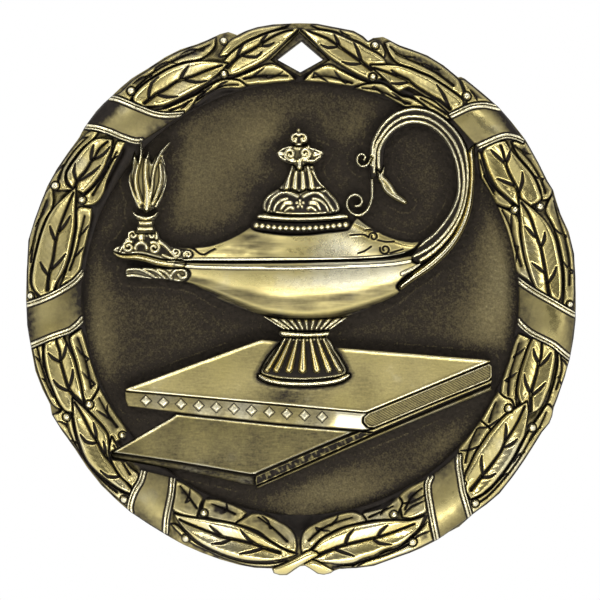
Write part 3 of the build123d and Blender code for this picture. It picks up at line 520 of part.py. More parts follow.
OUTER_LEAVES_RIGHT = [  # one outline per leaf
    [(23.23, -10), (23.4, -9.74), (23.9, -8.45), (24.49, -6.81), (24.76, -5.8), (24.69, -5.77), (23.7, -4.98), (23.67, -5), (23.69, -5.85), (23.66, -6.22), (23.4, -7.55), (23.22, -8.19), (22.64, -9.68), (22.68, -9.71), (22.73, -9.69), (22.95, -9.78), (23.16, -10)],
    [(14.91, 18.49), (14.89, 18.62), (14.92, 18.78), (15.02, 18.9), (14.83, 19.52), (14.61, 20.04), (14.38, 20.32), (14.03, 20.65), (13.09, 21.41), (12.6, 21.74), (11.61, 22.3), (11.17, 22.51), (9.12, 23.22), (8.57, 23.56), (8.34, 23.67), (8.13, 23.67), (7.74, 23.55), (8.02, 22.84), (8.27, 22.32), (8.52, 21.98), (8.86, 21.67), (9.08, 21.54), (9.41, 21.42), (10.15, 21.21), (10.86, 20.89), (11.84, 20.51), (13.32, 19.58), (14.7, 18.57), (14.88, 18.47)],
    [(15.47, 17.88), (15.88, 17.99), (16.29, 18.05), (16.75, 18.08), (17.14, 18.07), (17.71, 17.96), (17.73, 18), (15.6, 19.81), (15.16, 20.14), (14.99, 20.2), (14.65, 20.18), (14.88, 19.77), (15.18, 19), (15.37, 19), (15.54, 18.93), (15.65, 18.79), (15.69, 18.62), (15.66, 18.44), (15.55, 18.3), (15.39, 18.22), (15.27, 18.21), (15.25, 17.83)],
    [(4.82, -24.83), (6.2, -24.68), (6.77, -24.56), (7.47, -24.34), (10.09, -23.36), (11.11, -22.9), (12.28, -22.32), (11.76, -19.91), (11.73, -19.9), (11.65, -19.98), (11.44, -20.48), (11.2, -20.97), (10.92, -21.34), (10.61, -21.69), (10.31, -21.99), (10.33, -22.03), (10.41, -22.03), (10.56, -22.1), (10.67, -22.24), (10.72, -22.42), (10.68, -22.59), (10.57, -22.73), (10.41, -22.82), (10.23, -22.82), (10.07, -22.74), (9.95, -22.61), (9.91, -22.4), (9.88, -22.38), (9.49, -22.68), (9.08, -22.95), (8.64, -23.12), (7.79, -23.36), (6.87, -23.87), (5.85, -24.15), (5.26, -24.44), (4.93, -24.56), (4.51, -24.62), (3.64, -24.65), (3.02, -24.72), (3.02, -24.77), (3.66, -24.82), (4.1, -24.84)],
    [(16.17, -19.65), (17.9, -18.31), (18.3, -17.93), (18.72, -17.44), (19.89, -15.88), (20.51, -14.98), (22.21, -12.3), (22.98, -11.47), (23.23, -10.82), (23.29, -10.41), (23.27, -10.28), (23.13, -10.03), (22.92, -9.8), (22.72, -9.72), (22.54, -9.9), (22.17, -10.55), (21.47, -11.51), (21.58, -11.57), (21.68, -11.7), (21.72, -11.87), (21.68, -12.05), (21.58, -12.19), (21.42, -12.27), (21.24, -12.28), (21.07, -12.2), (21.03, -12.15), (20.67, -12.79), (19.82, -14.52), (19.39, -15.21), (18.74, -16.12), (18.06, -16.98), (17.43, -17.64), (16.87, -18.05), (16.51, -18.27), (16.19, -18.43), (16.19, -18.47), (16.32, -18.53), (16.42, -18.67), (16.46, -18.84), (16.42, -19), (16.32, -19.12), (16.17, -19.2), (16, -19.21), (15.84, -19.14), (15.73, -19), (15.69, -18.84), (15.72, -18.67), (15.84, -18.52), (15.83, -18.48), (15.71, -18.48), (15.61, -18.51), (15.58, -18.48), (15.55, -18.48), (15.45, -18.52), (15.85, -19.84)],
    [(24.5, -0.71), (24.46, -0.55), (24.49, -0.42), (24.58, -0.3), (24.71, -0.23), (24.86, -0.23), (24.99, -0.29), (25.1, -0.44), (25.14, -0.43), (25.21, -0.14), (25.25, 0.49), (25.22, 2.73), (25.19, 3.42), (25.12, 4.1), (24.98, 4.8), (24.81, 5.49), (24.61, 6.13), (24.37, 6.71), (23.87, 7.74), (23.24, 9.63), (23.2, 9.64), (22.71, 8.74), (22.54, 8.34), (22.51, 8.11), (22.55, 7.9), (22.63, 7.7), (23.04, 7.05), (23.36, 6.34), (23.62, 5.56), (23.93, 4.3), (24.16, 2.93), (24.24, 2.07), (24.24, 0.78), (24.11, -0.53), (24.47, -0.74)],
    [(22.62, 9.08), (22.81, 9.17), (23, 9.38), (23.16, 9.67), (23.23, 9.95), (23.13, 10.2), (22.72, 10.74), (21.89, 12.44), (21.22, 13.71), (20.92, 14.19), (20.75, 14.4), (20.64, 14.47), (20.53, 14.24), (19.8, 14.53), (19.4, 14.42), (19.76, 13.6), (19.95, 13.23), (20.19, 12.91), (21.14, 11.82), (21.34, 11.57), (21.63, 11.08), (21.87, 10.56), (22.07, 10), (22.15, 9.56), (22.21, 9.4), (22.21, 9.03)],
    [(7.71, 22.12), (7.8, 22.49), (7.79, 22.72), (7.68, 23), (7.51, 23.31), (7.33, 23.55), (7.15, 23.7), (6.96, 23.79), (6.77, 23.82), (6.59, 23.78), (6.4, 23.68), (6.22, 23.64), (6.07, 23.72), (5.76, 24.01), (5.21, 24.39), (4.84, 24.56), (4.25, 24.71), (2.9, 24.95), (1.52, 25.24), (1.29, 25.26), (0.96, 25.23), (0.96, 25.19), (1.48, 24.94), (1.8, 24.82), (2.9, 24.63), (3.23, 24.53), (3.82, 24.29), (4.65, 23.88), (5.48, 23.52), (6.13, 23.12), (6.96, 22.67), (7.67, 22.11)],
]

OUTER_LEAVES_RIGHT_GAPS = [  # where a berry comes up through a leaf
    [(6.62, 23), (6.52, 23.13), (6.49, 23.29), (6.53, 23.45), (6.62, 23.56), (6.77, 23.64), (6.93, 23.64), (7.08, 23.57), (7.18, 23.45), (7.22, 23.29), (7.19, 23.13), (7.09, 23), (6.95, 22.93), (6.77, 22.93)],
]

LAMP_FLAME = [
    (-13.26, 8.34), (-12.79, 9.26), (-12.42, 10.55), (-12.33, 11.29), (-12.47, 12.21), (-12.71, 13.04),
    (-12.4, 13.69), (-12.02, 14.39), (-12.03, 14.4), (-12.88, 13.73), (-13.5, 12.95), (-13.73, 12.49),
    (-13.87, 12.95), (-13.98, 13.49), (-14.19, 12.95), (-14.42, 13), (-14.57, 13.69), (-14.69, 14.5),
    (-14.71, 14.5), (-14.79, 13.5), (-14.92, 12.4), (-15.07, 12.76), (-15.29, 13.53), (-15.5, 12.95),
    (-15.58, 11.94), (-15.83, 11.29), (-15.88, 10.55), (-15.58, 9.54), (-15.07, 8.34), (-14.19, 7.93),
]

FLAME_GROOVES = [
    [(-15.25, 12.95), (-15.16, 11.29), (-15.02, 10), (-14.75, 8.62)],
    [(-14.65, 12.76), (-14.79, 11.38), (-14.56, 10), (-14.38, 8.53)],
    [(-13.87, 12.21), (-13.64, 11.11), (-13.69, 9.82), (-13.92, 8.53)],
    [(-13.18, 13.13), (-12.86, 11.66), (-12.9, 10.37), (-13.46, 8.71)],
]

WICK_CUP = [
    (-13.41, 5.99), (-13.37, 6.08), (-13.55, 6.68), (-13.57, 6.9), (-13.55, 7.1), (-13.27, 7.42),
    (-13.16, 7.76), (-13.14, 7.99), (-13.16, 8), (-13.27, 7.93), (-13.5, 7.74), (-13.82, 7.62),
    (-14.19, 7.56), (-14.65, 7.62), (-15.07, 7.74), (-15.3, 7.87), (-15.46, 7.99), (-15.48, 7.98),
    (-15.35, 7.46), (-15.02, 7.1), (-14.99, 6.9), (-15.02, 6.68), (-15.23, 6.22), (-15.24, 6.08),
    (-15.16, 5.99), (-14.28, 5.96),
]

SPOUT_SCROLLWORK = [
    (-11.75, 3.58), (-11.29, 3.64), (-10.8, 3.65), (-10.37, 3.69), (-10.07, 3.83), (-9.91, 4.01),
    (-9.97, 4.21), (-10.18, 4.38), (-10.92, 4.47), (-11.34, 4.59), (-11.75, 4.75), (-12.1, 4.92),
    (-12.65, 5.28), (-12.86, 5.48), (-13.13, 6.08), (-13.36, 6.25), (-13.38, 6.23), (-13.34, 6.06),
    (-13.41, 5.96), (-14.28, 5.93), (-15.16, 5.96), (-15.27, 6.08), (-15.24, 6.26), (-15.44, 6.31),
    (-15.69, 6.26), (-15.9, 6.13), (-15.94, 5.67), (-16.31, 5.39), (-16.5, 4.93), (-17, 4.79),
    (-17.2, 4.61), (-17.37, 4.4), (-16.64, 4.1), (-16.28, 4.06), (-15.9, 4.06), (-14.98, 4.1),
    (-14.57, 4.05), (-14.15, 3.96), (-13.13, 3.69), (-12.67, 3.59), (-12.21, 3.55),
]

SPOUT_LIP = [
    (-10.74, 2.81), (-10.54, 3.08), (-10.55, 3.36), (-10.77, 3.43), (-12.21, 3.49), (-12.68, 3.55),
    (-13.13, 3.64), (-14.15, 3.92), (-14.57, 4.01), (-14.98, 4.07), (-16.18, 4.01), (-16.54, 4.05),
    (-17.02, 4.2), (-17.31, 4.34), (-17.33, 4.32), (-17.26, 4.17), (-17.1, 3.96), (-16.82, 3.79),
    (-16.45, 3.66), (-15.35, 3.55), (-14.78, 3.45), (-14.24, 3.34), (-13.32, 3.04), (-12.7, 2.93),
    (-11.31, 2.79),
]

SPOUT_LEAF = [
    (-10.99, 1.54), (-10.51, 1.7), (-10.32, 1.84), (-10.19, 2.06), (-10.14, 2.3), (-10.23, 2.53),
    (-10.42, 2.72), (-10.66, 2.86), (-10.74, 2.78), (-11.31, 2.76), (-11.8, 2.8), (-12.4, 2.76),
    (-13.41, 2.88), (-15.34, 2.87), (-15.88, 2.85), (-16.03, 2.78), (-16.13, 2.67), (-16.16, 2.52),
    (-16.18, 2.35), (-16.15, 2.15), (-16.08, 1.98), (-15.89, 1.91), (-15.11, 1.86), (-12.8, 1.76),
    (-12.21, 1.7), (-11.29, 1.52),
]

SPOUT_LEAF_LINES = [
    [(-15.62, 2.44), (-14.61, 2.53), (-13.78, 2.17)],
    [(-14.42, 2.67), (-13.32, 2.35), (-12.67, 1.98)],
    [(-13.23, 2.67), (-12.4, 2.26), (-11.94, 1.89)],
]

LID_FINIAL_OUTLINE = [
    (0.09, 14.04), (0.28, 14.28), (0.6, 14.37), (0.72, 14.51), (0.78, 14.7), (0.75, 14.92),
    (0.64, 15.12), (0.47, 15.21), (0.12, 15.32), (-0.02, 15.39), (-0.17, 15.7), (-0.2, 15.7),
    (-0.32, 15.39), (-0.43, 15.33), (-0.72, 15.22), (-0.88, 15.12), (-0.96, 14.92), (-1, 14.7),
    (-0.96, 14.51), (-0.88, 14.37), (-0.62, 14.28), (-0.53, 14.15), (-0.42, 14.04), (-0.16, 14.01),
]

LID_VOLUTES_OUTLINE = [
    (0.19, 11.86), (0.23, 12.02), (0.23, 12.21), (0.36, 12.36), (0.55, 12.46), (1.3, 12.47),
    (1.57, 12.65), (2.02, 13.1), (2.17, 13.3), (2.19, 13.47), (2.09, 13.59), (0.97, 13.91),
    (0.82, 14.15), (0.76, 14.31), (0.73, 14.31), (0.55, 14.02), (0.34, 14.01), (0.13, 14.03),
    (0.1, 14.01), (-0.16, 13.98), (-0.42, 14.01), (-0.46, 14.04), (-1.2, 14.04), (-1.52, 13.93),
    (-1.8, 13.78), (-2.24, 13.41), (-2.15, 13.18), (-2.02, 12.97), (-1.78, 12.81), (-1.2, 12.54),
    (-0.68, 12.35), (-0.51, 12.26), (-0.38, 11.86), (-0.09, 11.82),
]

LID_NECK = [
    (0.18, 9.9), (0.51, 10.05), (1.15, 9.95), (1.79, 10.04), (2.3, 10.18), (2.22, 10.36),
    (1.94, 10.6), (1.52, 11.29), (1.32, 11.84), (1.28, 12.1), (1.15, 12.28), (0.68, 12.29),
    (0.28, 12.22), (0.22, 11.84), (-0.09, 11.78), (-0.39, 11.83), (-0.48, 12.04), (-0.53, 12.24),
    (-0.67, 12.29), (-0.86, 12.28), (-0.99, 11.75), (-1.1, 11.48), (-1.39, 10.92), (-1.57, 10.64),
    (-1.84, 10.4), (-2.02, 10.18), (-1.84, 10.04), (-1.52, 9.95), (-0.78, 10.05), (-0.14, 9.77),
]

NECK_FLUTES = [
    [(-0.51, 11.75), (-0.82, 10.28)],
    [(-0.08, 11.66), (-0.08, 10.09)],
    [(0.38, 11.75), (0.71, 10.28)],
]

LID_DOME = [
    (0.78, 7.6), (2.44, 7.7), (3.13, 7.79), (3.44, 7.9), (3.64, 8.06), (3.69, 8.28),
    (3.64, 8.52), (3.51, 8.86), (3.32, 9.2), (3.08, 9.47), (2.81, 9.72), (2.6, 10),
    (2.33, 10.17), (1.8, 10.01), (1.16, 9.92), (0.51, 10.02), (-0.13, 9.74), (-0.79, 10.02),
    (-1.52, 9.92), (-1.85, 10.01), (-2.05, 10.17), (-2.54, 9.9), (-3, 9.6), (-3.28, 9.3),
    (-3.46, 8.99), (-3.55, 8.62), (-3.55, 8.29), (-3.42, 8.05), (-3.18, 7.9), (-2.42, 7.75),
    (-1.52, 7.64), (-0.78, 7.59),
]

DOME_LINES = [
    [(-2.72, 8.25), (-2.44, 8.99), (-1.89, 9.4), (-1.15, 9.45), (-0.6, 9.17)],
    [(0.37, 9.17), (0.97, 9.45), (1.71, 9.4), (2.3, 8.94), (2.67, 8.25)],
    [(-2.07, 8.16), (-1.8, 8.66), (-1.24, 8.89), (-0.78, 8.53), (-0.6, 8.06)],
    [(0.41, 8.06), (0.6, 8.53), (1.06, 8.89), (1.61, 8.66), (1.89, 8.16)],
]

LID_RING = [
    (1.38, 7.12), (2.72, 7.18), (3.67, 7.26), (4.33, 7.37), (4.41, 7.5), (4.33, 7.66),
    (4.02, 7.78), (3.64, 7.84), (3.13, 7.71), (2.44, 7.63), (1.61, 7.56), (-0.05, 7.51),
    (-0.78, 7.52), (-1.52, 7.57), (-3.18, 7.84), (-3.37, 7.86), (-3.55, 7.83), (-4.01, 7.68),
    (-4.05, 7.51), (-4.01, 7.38), (-3.32, 7.26), (-2.35, 7.17), (-1.27, 7.11), (-0.05, 7.09),
]

LID_BEAD_RING = [
    (0.05, 5.86), (0.88, 5.91), (1.7, 5.99), (3.52, 6.18), (4.33, 6.31), (4.54, 6.51),
    (4.61, 6.77), (4.58, 7.05), (4.42, 7.25), (4.13, 7.26), (3.73, 7.21), (2.26, 7.09),
    (1.16, 7.03), (-0.05, 7), (-1.27, 7.04), (-2.35, 7.09), (-3.55, 7.19), (-3.96, 7.19),
    (-4.29, 7.14), (-4.45, 7), (-4.56, 6.82), (-4.56, 6.65), (-4.52, 6.5), (-4.35, 6.36),
    (-4.1, 6.26), (-3.4, 6.13), (-1.66, 5.92), (-0.78, 5.85),
]

BEADS = [
    (-4.14, 6.65), (-3.41, 6.63), (-2.58, 6.55), (-1.75, 6.5), (-0.92, 6.44), (-0.09, 6.42),
    (0.74, 6.45), (1.57, 6.52), (2.4, 6.59), (3.23, 6.68), (4.01, 6.77),
]

HANDLE_SPUR = [
    (9.78, 8.7), (9.91, 8.85), (9.78, 9.07), (9.54, 9.31), (8.99, 9.68), (8.83, 9.89),
    (8.39, 10.64), (7.97, 11.11), (7.81, 11.24), (7.7, 11.38), (7.79, 11.84), (7.77, 12.15),
    (7.71, 12.28), (7.68, 12.28), (7.36, 11.61), (7.18, 11.75), (7.05, 11.97), (7.02, 11.96),
    (7.1, 11.11), (7.22, 10.81), (7.37, 10.55), (7.49, 10.23), (7.65, 9.91), (7.9, 9.64),
    (8.2, 9.4), (9.24, 8.78), (9.54, 8.65),
]

HANDLE_RIB = [
    (9.5, 0.9), (9.72, 1.11), (12.03, 2.64), (12.74, 3.24), (13.41, 3.88), (13.99, 4.53),
    (14.52, 5.24), (15, 6.09), (15.4, 6.99), (15.69, 7.81), (15.89, 8.73), (16.01, 9.97),
    (16.07, 11.2), (16.07, 12.06), (16.02, 13.69), (16.12, 14.25), (16.1, 14.26), (15.83, 14.09),
    (15.58, 13.87), (15.43, 13.6), (15.37, 13.32), (15.49, 12.76), (15.54, 12.15), (15.55, 11.38),
    (15.5, 10.48), (15.38, 9.54), (15.21, 8.66), (14.96, 7.79), (14.58, 6.85), (14.1, 5.94),
    (13.56, 5.19), (12.95, 4.52), (12.27, 3.86), (11.57, 3.27), (10.28, 2.35), (9.19, 1.46),
    (9.01, 1.29), (8.96, 1.12), (8.99, 0.97), (9.12, 0.82), (9.31, 0.76),
]

HANDLE_LOOP = [
    (11.28, 3.31), (11.75, 3.55), (12.33, 3.96), (12.93, 4.54), (13.54, 5.21), (14.08, 5.96),
    (14.55, 6.86), (14.93, 7.8), (15.18, 8.67), (15.35, 9.54), (15.46, 10.49), (15.52, 11.38),
    (15.51, 12.15), (15.46, 12.76), (15.34, 13.32), (15.41, 13.62), (15.28, 14.11), (15.16, 14.42),
    (14.98, 14.76), (14.76, 15.11), (14.5, 15.46), (14.2, 15.8), (13.86, 16.14), (13.5, 16.45),
    (13.11, 16.75), (12.69, 17.03), (12.28, 17.26), (11.86, 17.43), (11.45, 17.54), (11.04, 17.61),
    (10.63, 17.65), (10.22, 17.65), (9.82, 17.6), (9.4, 17.5), (8.98, 17.34), (8.58, 17.13),
    (8.22, 16.88), (7.89, 16.59), (7.58, 16.27), (7.31, 15.91), (7.07, 15.52), (6.72, 14.87),
    (6.61, 14.6), (6.46, 14.07), (6.42, 13.8), (6.37, 13.09), (6.5, 13.12), (6.6, 13.08),
    (6.66, 12.98), (6.65, 12.89), (6.49, 12.48), (6.36, 12.3), (6.43, 11.11), (6.76, 11.11),
    (7.04, 11.37), (6.99, 11.98), (7.01, 11.99), (7.07, 11.99), (7.21, 11.77), (7.34, 11.66),
    (7.45, 11.85), (7.7, 12.49), (7.7, 13.04), (7.78, 13.71), (7.88, 14.06), (8.04, 14.38),
    (8.24, 14.7), (8.49, 15), (8.78, 15.27), (9.11, 15.52), (9.45, 15.71), (9.77, 15.85),
    (10.09, 15.94), (10.42, 15.99), (10.79, 16), (11.18, 15.96), (11.54, 15.87), (11.87, 15.74),
    (12.18, 15.57), (12.49, 15.35), (12.79, 15.07), (13.09, 14.75), (13.36, 14.4), (13.59, 14.01),
    (13.96, 13.15), (14.11, 12.71), (14.33, 11.82), (14.4, 11.39), (14.44, 10.58), (14.42, 9.93),
    (14.37, 9.59), (14.14, 8.78), (13.96, 8.36), (13.75, 7.95), (13.23, 7.14), (12.59, 6.37),
    (12.26, 6.04), (11.94, 5.77), (11.29, 5.34), (11.29, 5.24), (10.74, 4.56), (10.28, 3.92),
    (10.18, 3.36), (10.83, 3.13),
]

HANDLE_RIDGES = [
    [(6.59, 12.3), (6.59, 13.91), (6.91, 14.89), (7.71, 16.13), (8.82, 17.02), (10.06, 17.39), (11.04, 17.39), (12.28, 17.02), (13.5, 16.18), (14.36, 15.25), (14.93, 14.24), (15.25, 13.13), (15.44, 11.66), (15.39, 10), (15.02, 8.25), (14.38, 6.82), (13.5, 5.58), (12.28, 4.34), (11.04, 3.51)],
    [(6.76, 11.66), (6.85, 13.67), (7.35, 14.77), (8.2, 15.87), (9.32, 16.62), (10.55, 16.78), (11.79, 16.56), (13.02, 15.76), (14.1, 14.52), (14.73, 13.04), (15.02, 11.57), (15.02, 10.09), (14.7, 8.43), (14.06, 7), (13, 5.62), (11.75, 4.56), (10.28, 3.82)],
    [(7.22, 12.03), (7.22, 13.54), (7.71, 14.65), (8.58, 15.62), (9.69, 16.19), (10.8, 16.27), (11.91, 15.94), (13.02, 15.11), (13.87, 13.87), (14.37, 12.55), (14.57, 11.2), (14.57, 9.83), (14.15, 8.48), (13.41, 7.24), (12.53, 6.14), (11.66, 5.39), (10.55, 4.65)],
]

HANDLE_SCROLL_OUTLINE = [
    (5.51, 7.54), (5.8, 7.66), (6.07, 7.84), (6.2, 7.96), (6.43, 8.29), (6.61, 8.77),
    (6.74, 9.34), (6.76, 9.66), (6.71, 11.08), (6.45, 11.08), (6.43, 11.03), (6.46, 9.67),
    (6.44, 9.37), (6.4, 9.11), (6.33, 8.85), (6.16, 8.43), (6.08, 8.28), (5.88, 8.07),
    (5.66, 7.91), (5.45, 7.84), (5.22, 7.83), (5.08, 7.86), (4.83, 7.98), (4.71, 8.09),
    (4.49, 8.38), (4.43, 8.52), (4.41, 8.66), (4.42, 8.82), (4.51, 9.1), (4.58, 9.21),
    (4.81, 9.39), (4.92, 9.43), (5.02, 9.44), (5.14, 9.41), (5.35, 9.31), (5.47, 9.16),
    (5.52, 8.99), (5.46, 8.82), (5.35, 8.68), (5.07, 8.67), (4.98, 8.64), (4.93, 8.57),
    (4.93, 8.48), (4.98, 8.41), (5.07, 8.38), (5.39, 8.38), (5.52, 8.44), (5.63, 8.55),
    (5.79, 8.82), (5.82, 8.98), (5.79, 9.14), (5.73, 9.29), (5.64, 9.43), (5.53, 9.54),
    (5.39, 9.63), (5.22, 9.7), (5.04, 9.73), (4.85, 9.72), (4.68, 9.65), (4.51, 9.54),
    (4.36, 9.4), (4.25, 9.24), (4.17, 9.06), (4.12, 8.86), (4.11, 8.65), (4.14, 8.44),
    (4.23, 8.24), (4.5, 7.88), (4.66, 7.74), (4.82, 7.64), (5, 7.58), (5.35, 7.53),
]

HANDLE_CURL_OUTLINE = [
    (5.88, 12.05), (6.14, 12.16), (6.38, 12.36), (6.46, 12.49), (6.63, 12.9), (6.63, 12.98),
    (6.59, 13.06), (6.51, 13.09), (6.42, 13.07), (6.37, 13), (6.22, 12.62), (6.16, 12.53),
    (6, 12.39), (5.83, 12.32), (5.67, 12.34), (5.59, 12.37), (5.47, 12.47), (5.41, 12.56),
    (5.34, 12.74), (5.35, 12.92), (5.41, 13.07), (5.61, 13.19), (5.65, 13.2), (5.78, 13.13),
    (5.86, 13.05), (5.73, 12.85), (5.72, 12.77), (5.75, 12.69), (5.82, 12.65), (5.91, 12.66),
    (5.97, 12.71), (6.07, 12.87), (6.12, 12.98), (6.12, 13.13), (6.05, 13.25), (5.82, 13.43),
    (5.68, 13.47), (5.54, 13.46), (5.29, 13.33), (5.19, 13.24), (5.08, 12.98), (5.07, 12.7),
    (5.17, 12.42), (5.35, 12.2), (5.59, 12.07), (5.73, 12.04),
]

LAMP_COVER = [
    (-1.92, 3.52), (1.82, 3.59), (5.44, 3.7), (6.96, 3.78), (7.76, 3.86), (8.97, 4.06),
    (9.45, 4.19), (9.98, 4.38), (10.46, 4.61), (10.84, 4.96), (11.01, 5.25), (10.76, 5.26),
    (10.3, 5.21), (9.73, 5.27), (9.08, 5.39), (8.4, 5.61), (7.71, 5.89), (7, 6.26),
    (6.36, 6.63), (5.67, 7.1), (5.43, 7.32), (5.21, 7.42), (4.98, 7.2), (4.6, 6.62),
    (4.56, 6.49), (4.34, 6.28), (3.52, 6.16), (2.54, 6.06), (0.88, 5.85), (-0.05, 5.8),
    (-0.97, 5.8), (-1.83, 5.86), (-3.34, 6.05), (-3.92, 6.18), (-4.36, 6.33), (-4.54, 6.48),
    (-4.57, 6.59), (-4.75, 6.54), (-5.58, 5.98), (-6.5, 5.53), (-7.48, 5.13), (-7.99, 4.97),
    (-8.48, 4.84), (-8.89, 4.78), (-9.26, 4.75), (-10.46, 4.71), (-10.92, 4.7), (-11.35, 4.72),
    (-11.63, 4.77), (-11.64, 4.74), (-11.33, 4.62), (-10.92, 4.5), (-10.18, 4.41), (-9.95, 4.23),
    (-9.88, 4.01), (-10.06, 3.8), (-10.37, 3.66), (-10.87, 3.62), (-10.88, 3.58), (-10.58, 3.51),
    (-10, 3.55), (-6.96, 3.49),
]

LAMP_BOWL = [
    (1.11, -1.88), (3.16, -1.82), (4.01, -1.73), (4.98, -1.46), (5.94, -1.11), (6.84, -0.7),
    (8.05, -0.11), (8.88, 0.35), (9.17, 0.6), (9.02, 0.79), (8.8, 0.97), (8.81, 1.19),
    (8.94, 1.43), (9.27, 1.77), (9.72, 2.17), (11.02, 3.14), (11, 3.17), (10.82, 3.1),
    (10.16, 3.35), (10.24, 3.9), (9.95, 3.88), (8.45, 3.65), (7.33, 3.52), (5.59, 3.43),
    (1.89, 3.31), (-0.05, 3.27), (-6.96, 3.24), (-10, 3.29), (-10.52, 3.34), (-10.51, 3.08),
    (-10.65, 2.88), (-10.4, 2.74), (-10.2, 2.54), (-10.11, 2.3), (-10.16, 2.05), (-10.3, 1.83),
    (-10.49, 1.68), (-10.72, 1.59), (-10.72, 1.56), (-9.91, 1.29), (-9.46, 1.06), (-7.97, 0.14),
    (-7.36, -0.16), (-5.93, -0.76), (-5.12, -1.06), (-4.23, -1.36), (-3.36, -1.61), (-2.63, -1.74),
    (-1.02, -1.87), (-0.05, -1.89),
]

PEDESTAL_COLLAR = [
    (1.32, -3.04), (2.39, -2.96), (2.76, -2.86), (3.21, -2.59), (3.64, -2.26), (4.17, -1.91),
    (4.3, -1.71), (4.29, -1.69), (4.01, -1.76), (3.16, -1.85), (1.09, -1.95), (-1.01, -1.92),
    (-1.89, -1.87), (-3.39, -1.67), (-3.4, -1.7), (-2.44, -2.35), (-1.97, -2.64), (-1.52, -2.86),
    (-1.12, -2.96), (-0.08, -3.04), (0.6, -3.05),
]

COLLAR_FLUTES = [
    [(-2.72, -2.02), (-1.43, -2.76)],
    [(-1.98, -2.02), (-0.97, -2.76)],
    [(-1.24, -2.02), (-0.51, -2.76)],
    [(-0.51, -2.02), (-0.05, -2.76)],
    [(0.23, -2.02), (0.41, -2.76)],
    [(0.97, -2.02), (0.88, -2.76)],
    [(1.71, -2.02), (1.34, -2.76)],
    [(2.44, -2.02), (1.8, -2.76)],
    [(3.18, -2.02), (2.26, -2.76)],
]

PEDESTAL_RING = [
    (1.72, -3.54), (2.58, -3.46), (2.69, -3.36), (2.72, -3.23), (2.71, -3.09), (2.63, -3),
    (1.37, -3.12), (0.6, -3.14), (-1.52, -2.95), (-1.98, -3.01), (-2.03, -3.14), (-2.03, -3.27),
    (-1.87, -3.41), (-1.61, -3.51), (-0.6, -3.57), (0.6, -3.58),
]

PEDESTAL_BELL = [
    (1.29, -7.55), (2.26, -7.46), (2.98, -7.36), (3.55, -7.24), (3.96, -7.09), (4.24, -6.91),
    (4.32, -6.72), (4.29, -6.5), (4.1, -6.08), (3.82, -5.58), (3.09, -4.47), (2.81, -3.94),
    (2.4, -3.57), (1.34, -3.58), (0.6, -3.66), (-1.48, -3.58), (-2.26, -4.38), (-2.69, -4.87),
    (-3.09, -5.39), (-3.41, -5.93), (-3.75, -6.65), (-3.73, -6.87), (-3.48, -7.04), (-3.09, -7.19),
    (-2.52, -7.34), (-1.8, -7.46), (-0.83, -7.55), (0.23, -7.58),
]

BELL_FLUTES = [
    [(-1.24, -3.92), (-2.49, -6.77)],
    [(-0.65, -3.92), (-1.52, -7.05)],
    [(-0.02, -3.92), (-0.39, -7.24)],
    [(0.6, -3.92), (0.81, -7.24)],
    [(1.24, -3.92), (1.94, -7.1)],
    [(1.92, -3.92), (3, -6.87)],
]

PEDESTAL_FOOT = [
    (1.38, -8.15), (2.44, -8.06), (3.21, -7.93), (3.82, -7.74), (4.28, -7.49), (4.56, -7.24),
    (4.61, -7), (4.47, -6.87), (3.55, -7.33), (2.96, -7.47), (2.26, -7.57), (1.29, -7.65),
    (0.23, -7.7), (-0.83, -7.66), (-1.8, -7.57), (-2.51, -7.44), (-3.09, -7.27), (-3.51, -7.08),
    (-3.87, -6.87), (-3.97, -7.08), (-3.96, -7.28), (-3.66, -7.53), (-3.18, -7.77), (-2.6, -7.94),
    (-1.89, -8.06), (-0.89, -8.14), (0.23, -8.18),
]

UPPER_BOOK_SPINE = [
    (6.44, -12.04), (6.44, -12), (6.04, -11.84), (5.7, -11.43), (5.71, -10.97), (6.1, -10.6),
    (6.1, -10.57), (5.58, -10.55), (-13.87, -8.76), (-16.18, -8.57), (-16.13, -9.36), (-15.9, -9.95),
    (-9.08, -10.78), (-2.07, -11.52), (5.67, -12.14),
]

SPINE_LOZENGES = [  # centres of a plain row of lozenges
    (-14.33, -9.4), (-12.63, -9.59), (-10.92, -9.78), (-9.22, -9.97), (-7.51, -10.16), (-5.81, -10.35),
    (-4.1, -10.53), (-2.4, -10.72), (-0.69, -10.91), (1.01, -11.1), (2.72, -11.29),
]

UPPER_BOOK_COVER = [
    (6.13, -10.51), (17.56, -5.78), (17.56, -5.75), (16.91, -5.6), (4.1, -4.56), (3.15, -4.46),
    (3.14, -4.49), (3.85, -5.56), (4.13, -6.07), (4.31, -6.49), (4.36, -6.72), (4.28, -6.9),
    (4.3, -6.92), (4.47, -6.84), (4.63, -6.98), (4.58, -7.26), (4.29, -7.52), (3.83, -7.77),
    (3.22, -7.96), (2.44, -8.09), (1.38, -8.18), (0.23, -8.2), (-0.89, -8.18), (-1.89, -8.09),
    (-2.61, -7.97), (-3.19, -7.8), (-3.67, -7.56), (-3.99, -7.28), (-4, -7.06), (-3.9, -6.85),
    (-3.86, -6.84), (-3.78, -6.88), (-3.76, -6.87), (-3.78, -6.64), (-3.44, -5.92), (-3.11, -5.37),
    (-2.71, -4.85), (-2.28, -4.36), (-1.91, -3.97), (-1.92, -3.95), (-3.55, -3.78), (-4.19, -3.96),
    (-10.18, -6.13), (-16.13, -8.31), (-16.08, -8.52), (-15.12, -8.63), (5.58, -10.52), (5.83, -10.53),
]

UPPER_BOOK_COVER_BACK = [
    (1.29, -7.62), (2.26, -7.54), (2.99, -7.43), (2.99, -7.39), (2.26, -7.5), (1.29, -7.58),
    (0.23, -7.62), (-0.83, -7.58), (-1.82, -7.49), (-1.82, -7.53), (-0.83, -7.63), (0.23, -7.67),
]

